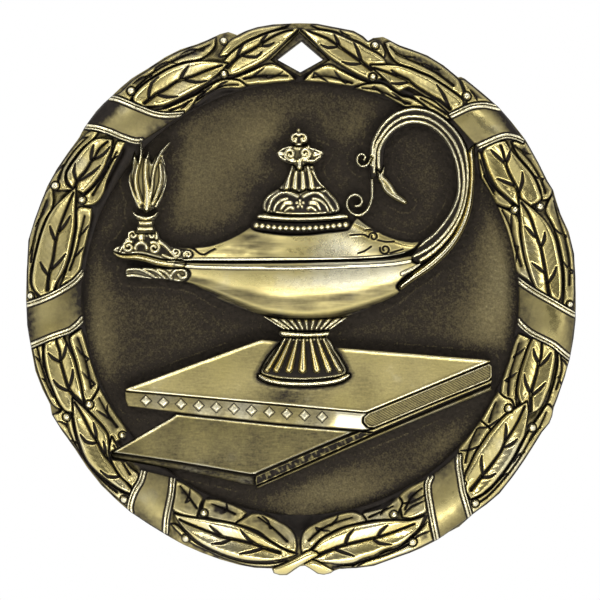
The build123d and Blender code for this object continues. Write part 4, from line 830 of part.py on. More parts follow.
UPPER_BOOK_PAGES = [
    (11.94, -9.72), (17.37, -7.51), (17.61, -7.24), (17.6, -6.22), (17.37, -5.97), (6.22, -10.57),
    (5.81, -10.97), (5.81, -11.38), (6.22, -11.84), (6.77, -11.89),
]

UPPER_PAGE_LINES = [
    [(6.41, -10.88), (17.28, -6.36)],
    [(6.22, -11.15), (17.33, -6.64)],
    [(6.31, -11.43), (17.33, -6.91)],
    [(6.59, -11.61), (17.28, -7.24)],
]

UPPER_BOOK_BOARD = [
    (11.94, -10.09), (17.63, -7.77), (17.61, -7.39), (17.37, -7.6), (11.94, -9.82), (6.77, -11.99),
    (6.07, -12.25), (6.08, -12.27), (6.77, -12.29),
]

LOWER_BOOK_COVER = [
    (-4.1, -16.25), (5.24, -12.24), (5.23, -12.21), (-2.07, -11.61), (-9.08, -10.88), (-11.48, -10.6),
    (-11.94, -11), (-17.46, -14.15), (-17.37, -14.29), (-11.11, -15.21), (-4.65, -16.31),
]

LOWER_BOOK_SPINE = [
    (-4.24, -16.41), (-4.65, -16.41), (-11.11, -15.27), (-17.51, -14.29), (-17.51, -14.52), (-17.28, -14.77),
    (-11.11, -15.82), (-4.84, -17.24), (-4.29, -17.28),
]

LOWER_BOOK_PAGES = [
    (0.88, -15.02), (6.59, -12.49), (6.59, -12.38), (6.04, -12.36), (5.48, -12.29), (0.88, -14.2),
    (-4.1, -16.36), (-4.15, -16.73), (-4.1, -17.24),
]

LOWER_PAGE_LINES = [
    [(-3.92, -16.64), (5.48, -12.58)],
    [(-3.92, -16.95), (5.67, -12.76)],
]

LOWER_BOOK_BOARD = [
    (0.88, -15.48), (6.59, -13), (11.94, -10.78), (17.7, -8.48), (17.63, -7.97), (6.59, -12.6),
    (-4.18, -17.37), (-3.92, -17.54),
]


# ---------------------------------------------------------------- helpers
def face_of(points):
    """The flat face inside a closed outline, on the sketch plane."""
    with BuildSketch() as face:
        with BuildLine():
            Polyline(*points, close=True)
        make_face()
    return face.sketch_local


def line_of(points, width):
    """A line of even width along the points, on the sketch plane."""
    with BuildSketch() as line:
        with BuildLine():
            Polyline(*points)
        trace(line_width=width)
    return line.sketch_local


def finish(piece, name):
    """Name the piece and write it."""
    piece.part.label = name
    export_step(piece.part, f"parts/{name}.step")

# ---------------------------------------------------------------- the pieces
# Field plate: the body of the medal, flat on the back, with the hanging opening through it.
with BuildPart() as field_plate:
    with BuildSketch(BACK.offset(BACK_EDGE_HEIGHT)):
        add(face_of(SILHOUETTE))
    extrude(amount=PLATE_THICKNESS - BACK_EDGE_HEIGHT)
    with BuildSketch(BACK):
        add(face_of(SILHOUETTE))
        offset(amount=-0.2, kind=Kind.INTERSECTION, mode=Mode.REPLACE)
    extrude(amount=BACK_EDGE_HEIGHT)
    with BuildSketch(BACK):
        add(face_of(HANGING_OPENING))
    extrude(amount=PLATE_THICKNESS, mode=Mode.SUBTRACT)
finish(field_plate, "field_plate")

# Wreath bed: the raised ring that carries the leaves, cut away where the lamp and the
# lower book reach over its inner edge.
with BuildPart() as wreath_bed:
    with BuildSketch(BACK.offset(FIELD)):
        add(face_of(SILHOUETTE))
        Circle(FIELD_RADIUS, mode=Mode.SUBTRACT)
        add(face_of(HANGING_OPENING), mode=Mode.SUBTRACT)
        for reach in (LAMP_FLAME, HANDLE_RIB, HANDLE_LOOP, LOWER_BOOK_COVER, LOWER_BOOK_SPINE):
            add(face_of(reach), mode=Mode.SUBTRACT)
    extrude(amount=WREATH_BED_RISE)
finish(wreath_bed, "wreath_bed")

# Hanger eye: the raised rim around the hanging opening.
with BuildPart() as hanger_eye:
    with BuildSketch(BACK.offset(BED)):
        add(face_of(HANGER_EYE))
        add(face_of(HANGING_OPENING), mode=Mode.SUBTRACT)
    extrude(amount=EYE_RISE)
finish(hanger_eye, "hanger_eye")

with BuildPart() as band_upper_left:
    with BuildSketch(BACK.offset(BED)):
        add(face_of(BAND_UPPER_LEFT))
    extrude(amount=BAND_RISE)
    with BuildSketch(BACK.offset(BED + BAND_RISE)):
        add(line_of(BAND_UPPER_LEFT_CORD_1, CORD_WIDTH))
        add(line_of(BAND_UPPER_LEFT_CORD_2, CORD_WIDTH))
        add(face_of(BAND_UPPER_LEFT), mode=Mode.INTERSECT)
    extrude(amount=CORD_RISE)
finish(band_upper_left, "band_upper_left")

with BuildPart() as band_upper_right:
    with BuildSketch(BACK.offset(BED)):
        add(face_of(BAND_UPPER_RIGHT))
    extrude(amount=BAND_RISE)
    with BuildSketch(BACK.offset(BED + BAND_RISE)):
        add(line_of(BAND_UPPER_RIGHT_CORD_1, CORD_WIDTH))
        add(line_of(BAND_UPPER_RIGHT_CORD_2, CORD_WIDTH))
        add(face_of(BAND_UPPER_RIGHT), mode=Mode.INTERSECT)
    extrude(amount=CORD_RISE)
finish(band_upper_right, "band_upper_right")

with BuildPart() as band_middle_left:
    with BuildSketch(BACK.offset(BED)):
        add(face_of(BAND_MIDDLE_LEFT))
    extrude(amount=BAND_RISE)
    with BuildSketch(BACK.offset(BED + BAND_RISE)):
        add(line_of(BAND_MIDDLE_LEFT_CORD_1, CORD_WIDTH))
        add(line_of(BAND_MIDDLE_LEFT_CORD_2, CORD_WIDTH))
        add(face_of(BAND_MIDDLE_LEFT), mode=Mode.INTERSECT)
    extrude(amount=CORD_RISE)
finish(band_middle_left, "band_middle_left")

with BuildPart() as band_middle_right:
    with BuildSketch(BACK.offset(BED)):
        add(face_of(BAND_MIDDLE_RIGHT))
    extrude(amount=BAND_RISE)
    with BuildSketch(BACK.offset(BED + BAND_RISE)):
        add(line_of(BAND_MIDDLE_RIGHT_CORD_1, CORD_WIDTH))
        add(line_of(BAND_MIDDLE_RIGHT_CORD_2, CORD_WIDTH))
        add(face_of(BAND_MIDDLE_RIGHT), mode=Mode.INTERSECT)
    extrude(amount=CORD_RISE)
finish(band_middle_right, "band_middle_right")

with BuildPart() as band_lower_left:
    with BuildSketch(BACK.offset(BED)):
        add(face_of(BAND_LOWER_LEFT))
    extrude(amount=BAND_RISE)
    with BuildSketch(BACK.offset(BED + BAND_RISE)):
        add(line_of(BAND_LOWER_LEFT_CORD_1, CORD_WIDTH))
        add(line_of(BAND_LOWER_LEFT_CORD_2, CORD_WIDTH))
        add(face_of(BAND_LOWER_LEFT), mode=Mode.INTERSECT)
    extrude(amount=CORD_RISE)
finish(band_lower_left, "band_lower_left")

with BuildPart() as band_lower_right:
    with BuildSketch(BACK.offset(BED)):
        add(face_of(BAND_LOWER_RIGHT))
    extrude(amount=BAND_RISE)
    with BuildSketch(BACK.offset(BED + BAND_RISE)):
        add(line_of(BAND_LOWER_RIGHT_CORD_1, CORD_WIDTH))
        add(line_of(BAND_LOWER_RIGHT_CORD_2, CORD_WIDTH))
        add(face_of(BAND_LOWER_RIGHT), mode=Mode.INTERSECT)
    extrude(amount=CORD_RISE)
finish(band_lower_right, "band_lower_right")

with BuildPart() as berries_left:
    for berry in BERRIES_LEFT:
        with BuildSketch(BACK.offset(BED)):
            add(face_of(berry))
        extrude(amount=BERRY_RISE - 0.2)
    for x, z, radius in BERRIES_LEFT_TOPS:
        with BuildSketch(BACK.offset(BED + BERRY_RISE - 0.2)):
            with Locations((x, z)):
                Circle(radius)
        extrude(amount=0.2, taper=25)
finish(berries_left, "berries_left")

with BuildPart() as berries_right:
    for berry in BERRIES_RIGHT:
        with BuildSketch(BACK.offset(BED)):
            add(face_of(berry))
        extrude(amount=BERRY_RISE - 0.2)
    for x, z, radius in BERRIES_RIGHT_TOPS:
        with BuildSketch(BACK.offset(BED + BERRY_RISE - 0.2)):
            with Locations((x, z)):
                Circle(radius)
        extrude(amount=0.2, taper=25)
finish(berries_right, "berries_right")

with BuildPart() as stem_left:
    with BuildSketch(BACK.offset(BED)):
        add(face_of(STEM_LEFT))
    extrude(amount=STEM_RISE, taper=DRAFT)
finish(stem_left, "stem_left")

with BuildPart() as stem_right:
    with BuildSketch(BACK.offset(BED)):
        add(face_of(STEM_RIGHT))
    extrude(amount=STEM_RISE - 0.2, taper=DRAFT)
finish(stem_right, "stem_right")

with BuildPart() as leaf_left_1:
    with BuildSketch(BACK.offset(BED)):
        add(face_of(LEAF_LEFT_1))
    extrude(amount=MAIN_LEAF_RISE, taper=DRAFT)
    with BuildSketch(BACK.offset(BED + MAIN_LEAF_RISE)):
        for vein in LEAF_LEFT_1_VEINS:
            add(line_of(vein, VEIN_WIDTH))
    extrude(amount=-VEIN_DEPTH, mode=Mode.SUBTRACT)
finish(leaf_left_1, "leaf_left_1")

with BuildPart() as leaf_left_2:
    with BuildSketch(BACK.offset(BED)):
        add(face_of(LEAF_LEFT_2))
    extrude(amount=MAIN_LEAF_RISE)
    with BuildSketch(BACK.offset(BED + MAIN_LEAF_RISE)):
        for vein in LEAF_LEFT_2_VEINS:
            add(line_of(vein, VEIN_WIDTH))
    extrude(amount=-VEIN_DEPTH, mode=Mode.SUBTRACT)
finish(leaf_left_2, "leaf_left_2")

with BuildPart() as leaf_left_3:
    with BuildSketch(BACK.offset(BED)):
        add(face_of(LEAF_LEFT_3))
    extrude(amount=MAIN_LEAF_RISE, taper=DRAFT)
    with BuildSketch(BACK.offset(BED + MAIN_LEAF_RISE)):
        for vein in LEAF_LEFT_3_VEINS:
            add(line_of(vein, VEIN_WIDTH))
    extrude(amount=-VEIN_DEPTH, mode=Mode.SUBTRACT)
finish(leaf_left_3, "leaf_left_3")

with BuildPart() as leaf_left_4:
    with BuildSketch(BACK.offset(BED)):
        add(face_of(LEAF_LEFT_4))
    extrude(amount=MAIN_LEAF_RISE, taper=DRAFT)
    with BuildSketch(BACK.offset(BED + MAIN_LEAF_RISE)):
        for vein in LEAF_LEFT_4_VEINS:
            add(line_of(vein, VEIN_WIDTH))
    extrude(amount=-VEIN_DEPTH, mode=Mode.SUBTRACT)
finish(leaf_left_4, "leaf_left_4")

with BuildPart() as leaf_left_5:
    with BuildSketch(BACK.offset(BED)):
        add(face_of(LEAF_LEFT_5))
    extrude(amount=MAIN_LEAF_RISE, taper=DRAFT)
    with BuildSketch(BACK.offset(BED + MAIN_LEAF_RISE)):
        for vein in LEAF_LEFT_5_VEINS:
            add(line_of(vein, VEIN_WIDTH))
    extrude(amount=-VEIN_DEPTH, mode=Mode.SUBTRACT)
finish(leaf_left_5, "leaf_left_5")

with BuildPart() as leaf_left_6:
    with BuildSketch(BACK.offset(BED)):
        add(face_of(LEAF_LEFT_6))
    extrude(amount=MAIN_LEAF_RISE, taper=DRAFT)
    with BuildSketch(BACK.offset(BED + MAIN_LEAF_RISE)):
        for vein in LEAF_LEFT_6_VEINS:
            add(line_of(vein, VEIN_WIDTH))
    extrude(amount=-VEIN_DEPTH, mode=Mode.SUBTRACT)
finish(leaf_left_6, "leaf_left_6")

with BuildPart() as leaf_left_7:
    with BuildSketch(BACK.offset(BED)):
        add(face_of(LEAF_LEFT_7))
    extrude(amount=MAIN_LEAF_RISE, taper=DRAFT)
    with BuildSketch(BACK.offset(BED + MAIN_LEAF_RISE)):
        for vein in LEAF_LEFT_7_VEINS:
            add(line_of(vein, VEIN_WIDTH))
    extrude(amount=-VEIN_DEPTH, mode=Mode.SUBTRACT)
finish(leaf_left_7, "leaf_left_7")

with BuildPart() as leaf_right_1:
    with BuildSketch(BACK.offset(BED)):
        add(face_of(LEAF_RIGHT_1))
    extrude(amount=MAIN_LEAF_RISE)
    with BuildSketch(BACK.offset(BED + MAIN_LEAF_RISE)):
        for vein in LEAF_RIGHT_1_VEINS:
            add(line_of(vein, VEIN_WIDTH))
    extrude(amount=-VEIN_DEPTH, mode=Mode.SUBTRACT)
finish(leaf_right_1, "leaf_right_1")

with BuildPart() as leaf_right_2:
    with BuildSketch(BACK.offset(BED)):
        add(face_of(LEAF_RIGHT_2))
    extrude(amount=MAIN_LEAF_RISE, taper=DRAFT)
    with BuildSketch(BACK.offset(BED + MAIN_LEAF_RISE)):
        for vein in LEAF_RIGHT_2_VEINS:
            add(line_of(vein, VEIN_WIDTH))
    extrude(amount=-VEIN_DEPTH, mode=Mode.SUBTRACT)
finish(leaf_right_2, "leaf_right_2")

with BuildPart() as leaf_right_3:
    with BuildSketch(BACK.offset(BED)):
        add(face_of(LEAF_RIGHT_3))
    extrude(amount=MAIN_LEAF_RISE, taper=DRAFT)
    with BuildSketch(BACK.offset(BED + MAIN_LEAF_RISE)):
        for vein in LEAF_RIGHT_3_VEINS:
            add(line_of(vein, VEIN_WIDTH))
    extrude(amount=-VEIN_DEPTH, mode=Mode.SUBTRACT)
finish(leaf_right_3, "leaf_right_3")

with BuildPart() as leaf_right_4:
    with BuildSketch(BACK.offset(BED)):
        add(face_of(LEAF_RIGHT_4))
    extrude(amount=MAIN_LEAF_RISE, taper=DRAFT)
    with BuildSketch(BACK.offset(BED + MAIN_LEAF_RISE)):
        for vein in LEAF_RIGHT_4_VEINS:
            add(line_of(vein, VEIN_WIDTH))
    extrude(amount=-VEIN_DEPTH, mode=Mode.SUBTRACT)
finish(leaf_right_4, "leaf_right_4")

with BuildPart() as leaf_right_5:
    with BuildSketch(BACK.offset(BED)):
        add(face_of(LEAF_RIGHT_5))
    extrude(amount=MAIN_LEAF_RISE, taper=DRAFT)
    with BuildSketch(BACK.offset(BED + MAIN_LEAF_RISE)):
        for vein in LEAF_RIGHT_5_VEINS:
            add(line_of(vein, VEIN_WIDTH))
    extrude(amount=-VEIN_DEPTH, mode=Mode.SUBTRACT)
finish(leaf_right_5, "leaf_right_5")

with BuildPart() as leaf_right_6:
    with BuildSketch(BACK.offset(BED)):
        add(face_of(LEAF_RIGHT_6))
    extrude(amount=MAIN_LEAF_RISE)
    with BuildSketch(BACK.offset(BED + MAIN_LEAF_RISE)):
        for vein in LEAF_RIGHT_6_VEINS:
            add(line_of(vein, VEIN_WIDTH))
    extrude(amount=-VEIN_DEPTH, mode=Mode.SUBTRACT)
finish(leaf_right_6, "leaf_right_6")

with BuildPart() as leaf_right_7:
    with BuildSketch(BACK.offset(BED)):
        add(face_of(LEAF_RIGHT_7))
    extrude(amount=MAIN_LEAF_RISE)
    with BuildSketch(BACK.offset(BED + MAIN_LEAF_RISE)):
        for vein in LEAF_RIGHT_7_VEINS:
            add(line_of(vein, VEIN_WIDTH))
    extrude(amount=-VEIN_DEPTH, mode=Mode.SUBTRACT)
finish(leaf_right_7, "leaf_right_7")

with BuildPart() as inner_leaves_left:
    for leaf in INNER_LEAVES_LEFT:
        with BuildSketch(BACK.offset(BED)):
            add(face_of(leaf))
        extrude(amount=SIDE_LEAF_RISE)
finish(inner_leaves_left, "inner_leaves_left")

with BuildPart() as inner_leaves_right:
    for leaf in INNER_LEAVES_RIGHT:
        with BuildSketch(BACK.offset(BED)):
            add(face_of(leaf))
        extrude(amount=SIDE_LEAF_RISE)
finish(inner_leaves_right, "inner_leaves_right")

with BuildPart() as outer_leaves_left:
    for leaf in OUTER_LEAVES_LEFT:
        with BuildSketch(BACK.offset(BED)):
            add(face_of(leaf))
        extrude(amount=SIDE_LEAF_RISE)
finish(outer_leaves_left, "outer_leaves_left")

with BuildPart() as outer_leaves_right:
    for leaf in OUTER_LEAVES_RIGHT:
        with BuildSketch(BACK.offset(BED)):
            add(face_of(leaf))
        extrude(amount=SIDE_LEAF_RISE)
    with BuildSketch(BACK.offset(BED)):
        for gap in OUTER_LEAVES_RIGHT_GAPS:
            add(face_of(gap))
    extrude(amount=SIDE_LEAF_RISE, mode=Mode.SUBTRACT)
finish(outer_leaves_right, "outer_leaves_right")

with BuildPart() as lamp_flame:
    with BuildSketch(BACK.offset(FIELD)):
        add(face_of(LAMP_FLAME))
    extrude(amount=FLAME_RISE, taper=DRAFT)
    with BuildSketch(BACK.offset(FIELD + FLAME_RISE)):
        for groove in FLAME_GROOVES:
            add(line_of(groove, 0.16))
    extrude(amount=-0.3, mode=Mode.SUBTRACT)
finish(lamp_flame, "lamp_flame")

with BuildPart() as wick_cup:
    with BuildSketch(BACK.offset(FIELD)):
        add(face_of(WICK_CUP))
    extrude(amount=SPOUT_RISE - 0.2)
finish(wick_cup, "wick_cup")

with BuildPart() as spout_scrollwork:
    with BuildSketch(BACK.offset(FIELD)):
        add(face_of(SPOUT_SCROLLWORK))
    extrude(amount=SPOUT_RISE, taper=DRAFT)
finish(spout_scrollwork, "spout_scrollwork")

with BuildPart() as spout_lip:
    with BuildSketch(BACK.offset(FIELD)):
        add(face_of(SPOUT_LIP))
    extrude(amount=SPOUT_RISE + 0.1)
finish(spout_lip, "spout_lip")

with BuildPart() as spout_leaf:
    with BuildSketch(BACK.offset(FIELD)):
        add(face_of(SPOUT_LEAF))
    extrude(amount=SPOUT_RISE - 0.2, taper=DRAFT)
    with BuildSketch(BACK.offset(FIELD + SPOUT_RISE - 0.2)):
        for groove in SPOUT_LEAF_LINES:
            add(line_of(groove, 0.14))
    extrude(amount=-0.25, mode=Mode.SUBTRACT)
finish(spout_leaf, "spout_leaf")

with BuildPart() as lid_finial:
    with BuildSketch(BACK.offset(FIELD)):
        add(face_of(LID_FINIAL_OUTLINE))
    extrude(amount=LID_RISE - 0.4)
    with BuildSketch(BACK.offset(FIELD)):
        add(face_of(LID_VOLUTES_OUTLINE))
    extrude(amount=LID_RISE - 0.2, taper=DRAFT)
finish(lid_finial, "lid_finial")

with BuildPart() as lid_neck:
    with BuildSketch(BACK.offset(FIELD)):
        add(face_of(LID_NECK))
    extrude(amount=LID_RISE - 0.2, taper=DRAFT)
    with BuildSketch(BACK.offset(FIELD + LID_RISE - 0.2)):
        for groove in NECK_FLUTES:
            add(line_of(groove, 0.2))
    extrude(amount=-0.3, mode=Mode.SUBTRACT)
finish(lid_neck, "lid_neck")

with BuildPart() as lid_dome:
    with BuildSketch(BACK.offset(FIELD)):
        add(face_of(LID_DOME))
    extrude(amount=LID_RISE, taper=DRAFT)
    with BuildSketch(BACK.offset(FIELD + LID_RISE)):
        for groove in DOME_LINES:
            add(line_of(groove, 0.2))
    extrude(amount=-0.25, mode=Mode.SUBTRACT)
finish(lid_dome, "lid_dome")

with BuildPart() as lid_ring:
    with BuildSketch(BACK.offset(FIELD)):
        add(face_of(LID_RING))
    extrude(amount=LID_RISE + 0.15)
finish(lid_ring, "lid_ring")

with BuildPart() as lid_bead_ring:
    with BuildSketch(BACK.offset(FIELD)):
        add(face_of(LID_BEAD_RING))
    extrude(amount=LID_RISE, taper=DRAFT)
    with BuildSketch(BACK.offset(FIELD + LID_RISE)):
        with Locations(*BEADS):
            Circle(0.3)
    extrude(amount=0.2)
finish(lid_bead_ring, "lid_bead_ring")

with BuildPart() as handle_spur:
    with BuildSketch(BACK.offset(FIELD)):
        add(face_of(HANDLE_SPUR))
    extrude(amount=HANDLE_RISE - 0.5)
finish(handle_spur, "handle_spur")

with BuildPart() as handle_rib:
    with BuildSketch(BACK.offset(FIELD)):
        add(face_of(HANDLE_RIB))
    extrude(amount=HANDLE_RISE - 0.1)
finish(handle_rib, "handle_rib")

with BuildPart() as handle_loop:
    with BuildSketch(BACK.offset(FIELD)):
        add(face_of(HANDLE_LOOP))
    extrude(amount=HANDLE_RISE)
    with BuildSketch(BACK.offset(FIELD + HANDLE_RISE)):
        for ridge in HANDLE_RIDGES:
            add(line_of(ridge, RIDGE_WIDTH))
        add(face_of(HANDLE_LOOP), mode=Mode.INTERSECT)
    extrude(amount=RIDGE_RISE)
finish(handle_loop, "handle_loop")

with BuildPart() as handle_scrolls:
    with BuildSketch(BACK.offset(FIELD)):
        add(face_of(HANDLE_SCROLL_OUTLINE))
    extrude(amount=HANDLE_RISE - 0.4)
    with BuildSketch(BACK.offset(FIELD)):
        add(face_of(HANDLE_CURL_OUTLINE))
    extrude(amount=HANDLE_RISE - 0.5)
finish(handle_scrolls, "handle_scrolls")

with BuildPart() as lamp_cover:
    with BuildSketch(BACK.offset(FIELD)):
        add(face_of(LAMP_COVER))
    extrude(amount=COVER_RISE, taper=DRAFT)
finish(lamp_cover, "lamp_cover")

with BuildPart() as lamp_bowl:
    with BuildSketch(BACK.offset(FIELD)):
        add(face_of(LAMP_BOWL))
    extrude(amount=BOWL_RISE, taper=DRAFT)
finish(lamp_bowl, "lamp_bowl")

with BuildPart() as pedestal_collar:
    with BuildSketch(BACK.offset(FIELD)):
        add(face_of(PEDESTAL_COLLAR))
    extrude(amount=PEDESTAL_RISE - 0.2, taper=DRAFT)
    with BuildSketch(BACK.offset(FIELD + PEDESTAL_RISE - 0.2)):
        for groove in COLLAR_FLUTES:
            add(line_of(groove, 0.14))
    extrude(amount=-0.25, mode=Mode.SUBTRACT)
finish(pedestal_collar, "pedestal_collar")

with BuildPart() as pedestal_ring:
    with BuildSketch(BACK.offset(FIELD)):
        add(face_of(PEDESTAL_RING))
    extrude(amount=PEDESTAL_RISE)
finish(pedestal_ring, "pedestal_ring")

with BuildPart() as pedestal_bell:
    with BuildSketch(BACK.offset(FIELD)):
        add(face_of(PEDESTAL_BELL))
    extrude(amount=PEDESTAL_RISE, taper=DRAFT)
    with BuildSketch(BACK.offset(FIELD + PEDESTAL_RISE)):
        for groove in BELL_FLUTES:
            add(line_of(groove, 0.2))
    extrude(amount=-0.3, mode=Mode.SUBTRACT)
finish(pedestal_bell, "pedestal_bell")

with BuildPart() as pedestal_foot:
    with BuildSketch(BACK.offset(FIELD)):
        add(face_of(PEDESTAL_FOOT))
    extrude(amount=PEDESTAL_RISE + 0.1)
finish(pedestal_foot, "pedestal_foot")

with BuildPart() as upper_book_spine:
    with BuildSketch(BACK.offset(FIELD)):
        add(face_of(UPPER_BOOK_SPINE))
    extrude(amount=UPPER_BOOK_RISE + 0.4)
    with BuildSketch(BACK.offset(FIELD + UPPER_BOOK_RISE + 0.4)):
        with Locations(*SPINE_LOZENGES):
            Rectangle(0.5, 0.5, rotation=45)
    extrude(amount=0.12)
finish(upper_book_spine, "upper_book_spine")

# The pedestal stands across the back edge of the cover, so a small corner shows behind it.
with BuildPart() as upper_book_cover:
    with BuildSketch(BACK.offset(FIELD)):
        add(face_of(UPPER_BOOK_COVER))
        add(face_of(UPPER_BOOK_COVER_BACK))
    extrude(amount=UPPER_BOOK_RISE)
finish(upper_book_cover, "upper_book_cover")

with BuildPart() as upper_book_pages:
    with BuildSketch(BACK.offset(FIELD)):
        add(face_of(UPPER_BOOK_PAGES))
    extrude(amount=UPPER_BOOK_RISE + 0.2)
    with BuildSketch(BACK.offset(FIELD + UPPER_BOOK_RISE + 0.2)):
        for groove in UPPER_PAGE_LINES:
            add(line_of(groove, 0.08))
    extrude(amount=-0.15, mode=Mode.SUBTRACT)
finish(upper_book_pages, "upper_book_pages")

with BuildPart() as upper_book_board:
    with BuildSketch(BACK.offset(FIELD)):
        add(face_of(UPPER_BOOK_BOARD))
    extrude(amount=UPPER_BOOK_RISE)
finish(upper_book_board, "upper_book_board")

with BuildPart() as lower_book_cover:
    with BuildSketch(BACK.offset(FIELD)):
        add(face_of(LOWER_BOOK_COVER))
    extrude(amount=LOWER_BOOK_RISE)
finish(lower_book_cover, "lower_book_cover")

with BuildPart() as lower_book_spine:
    with BuildSketch(BACK.offset(FIELD)):
        add(face_of(LOWER_BOOK_SPINE))
    extrude(amount=LOWER_BOOK_RISE + 0.3)
finish(lower_book_spine, "lower_book_spine")

with BuildPart() as lower_book_pages:
    with BuildSketch(BACK.offset(FIELD)):
        add(face_of(LOWER_BOOK_PAGES))
    extrude(amount=LOWER_BOOK_RISE + 0.2)
    with BuildSketch(BACK.offset(FIELD + LOWER_BOOK_RISE + 0.2)):
        for groove in LOWER_PAGE_LINES:
            add(line_of(groove, 0.08))
    extrude(amount=-0.15, mode=Mode.SUBTRACT)
finish(lower_book_pages, "lower_book_pages")

with BuildPart() as lower_book_board:
    with BuildSketch(BACK.offset(FIELD)):
        add(face_of(LOWER_BOOK_BOARD))
    extrude(amount=LOWER_BOOK_RISE)
finish(lower_book_board, "lower_book_board")
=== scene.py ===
import json
import math

import bpy
import numpy as np
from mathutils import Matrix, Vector
from mathutils.geometry import delaunay_2d_cdt
from mathutils.kdtree import KDTree


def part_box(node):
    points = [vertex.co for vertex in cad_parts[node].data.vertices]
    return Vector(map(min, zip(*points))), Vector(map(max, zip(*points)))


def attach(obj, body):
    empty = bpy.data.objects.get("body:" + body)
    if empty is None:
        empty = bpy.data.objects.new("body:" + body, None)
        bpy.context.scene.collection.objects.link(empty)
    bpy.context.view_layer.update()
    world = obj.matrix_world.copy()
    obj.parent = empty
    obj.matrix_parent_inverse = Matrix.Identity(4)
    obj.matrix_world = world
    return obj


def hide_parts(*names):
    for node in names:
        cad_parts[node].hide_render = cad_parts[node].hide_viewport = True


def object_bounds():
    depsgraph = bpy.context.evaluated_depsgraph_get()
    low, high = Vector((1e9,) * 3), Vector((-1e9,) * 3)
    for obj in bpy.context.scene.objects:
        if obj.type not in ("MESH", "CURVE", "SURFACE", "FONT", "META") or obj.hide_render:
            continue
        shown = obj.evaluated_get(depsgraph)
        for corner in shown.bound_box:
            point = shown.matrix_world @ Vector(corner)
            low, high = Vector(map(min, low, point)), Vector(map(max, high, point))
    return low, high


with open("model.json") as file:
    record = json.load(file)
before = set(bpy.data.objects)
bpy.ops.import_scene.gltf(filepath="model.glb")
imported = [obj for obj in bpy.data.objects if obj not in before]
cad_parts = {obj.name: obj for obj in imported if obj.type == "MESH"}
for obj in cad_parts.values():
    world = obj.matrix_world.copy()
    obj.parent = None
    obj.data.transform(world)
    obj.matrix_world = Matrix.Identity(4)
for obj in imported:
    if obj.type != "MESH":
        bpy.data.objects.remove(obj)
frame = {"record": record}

CAD_BOX = [list(map(float, corner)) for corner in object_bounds()]
RNG = np.random.default_rng(11)
MM = 0.001
MOUNTS = {m["name"]: m for m in frame["record"]["mounts"]}
CENTRE_Z = MOUNTS["back_face"]["pos_m"][2]          # the medal's centre, on its flat back
FIELD = (-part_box("field_plate")[0].y) / MM          # height of the field above the back
FIELD_RADIUS = 20.0
TOP = 3.99                                            # no relief stands higher than this above the back

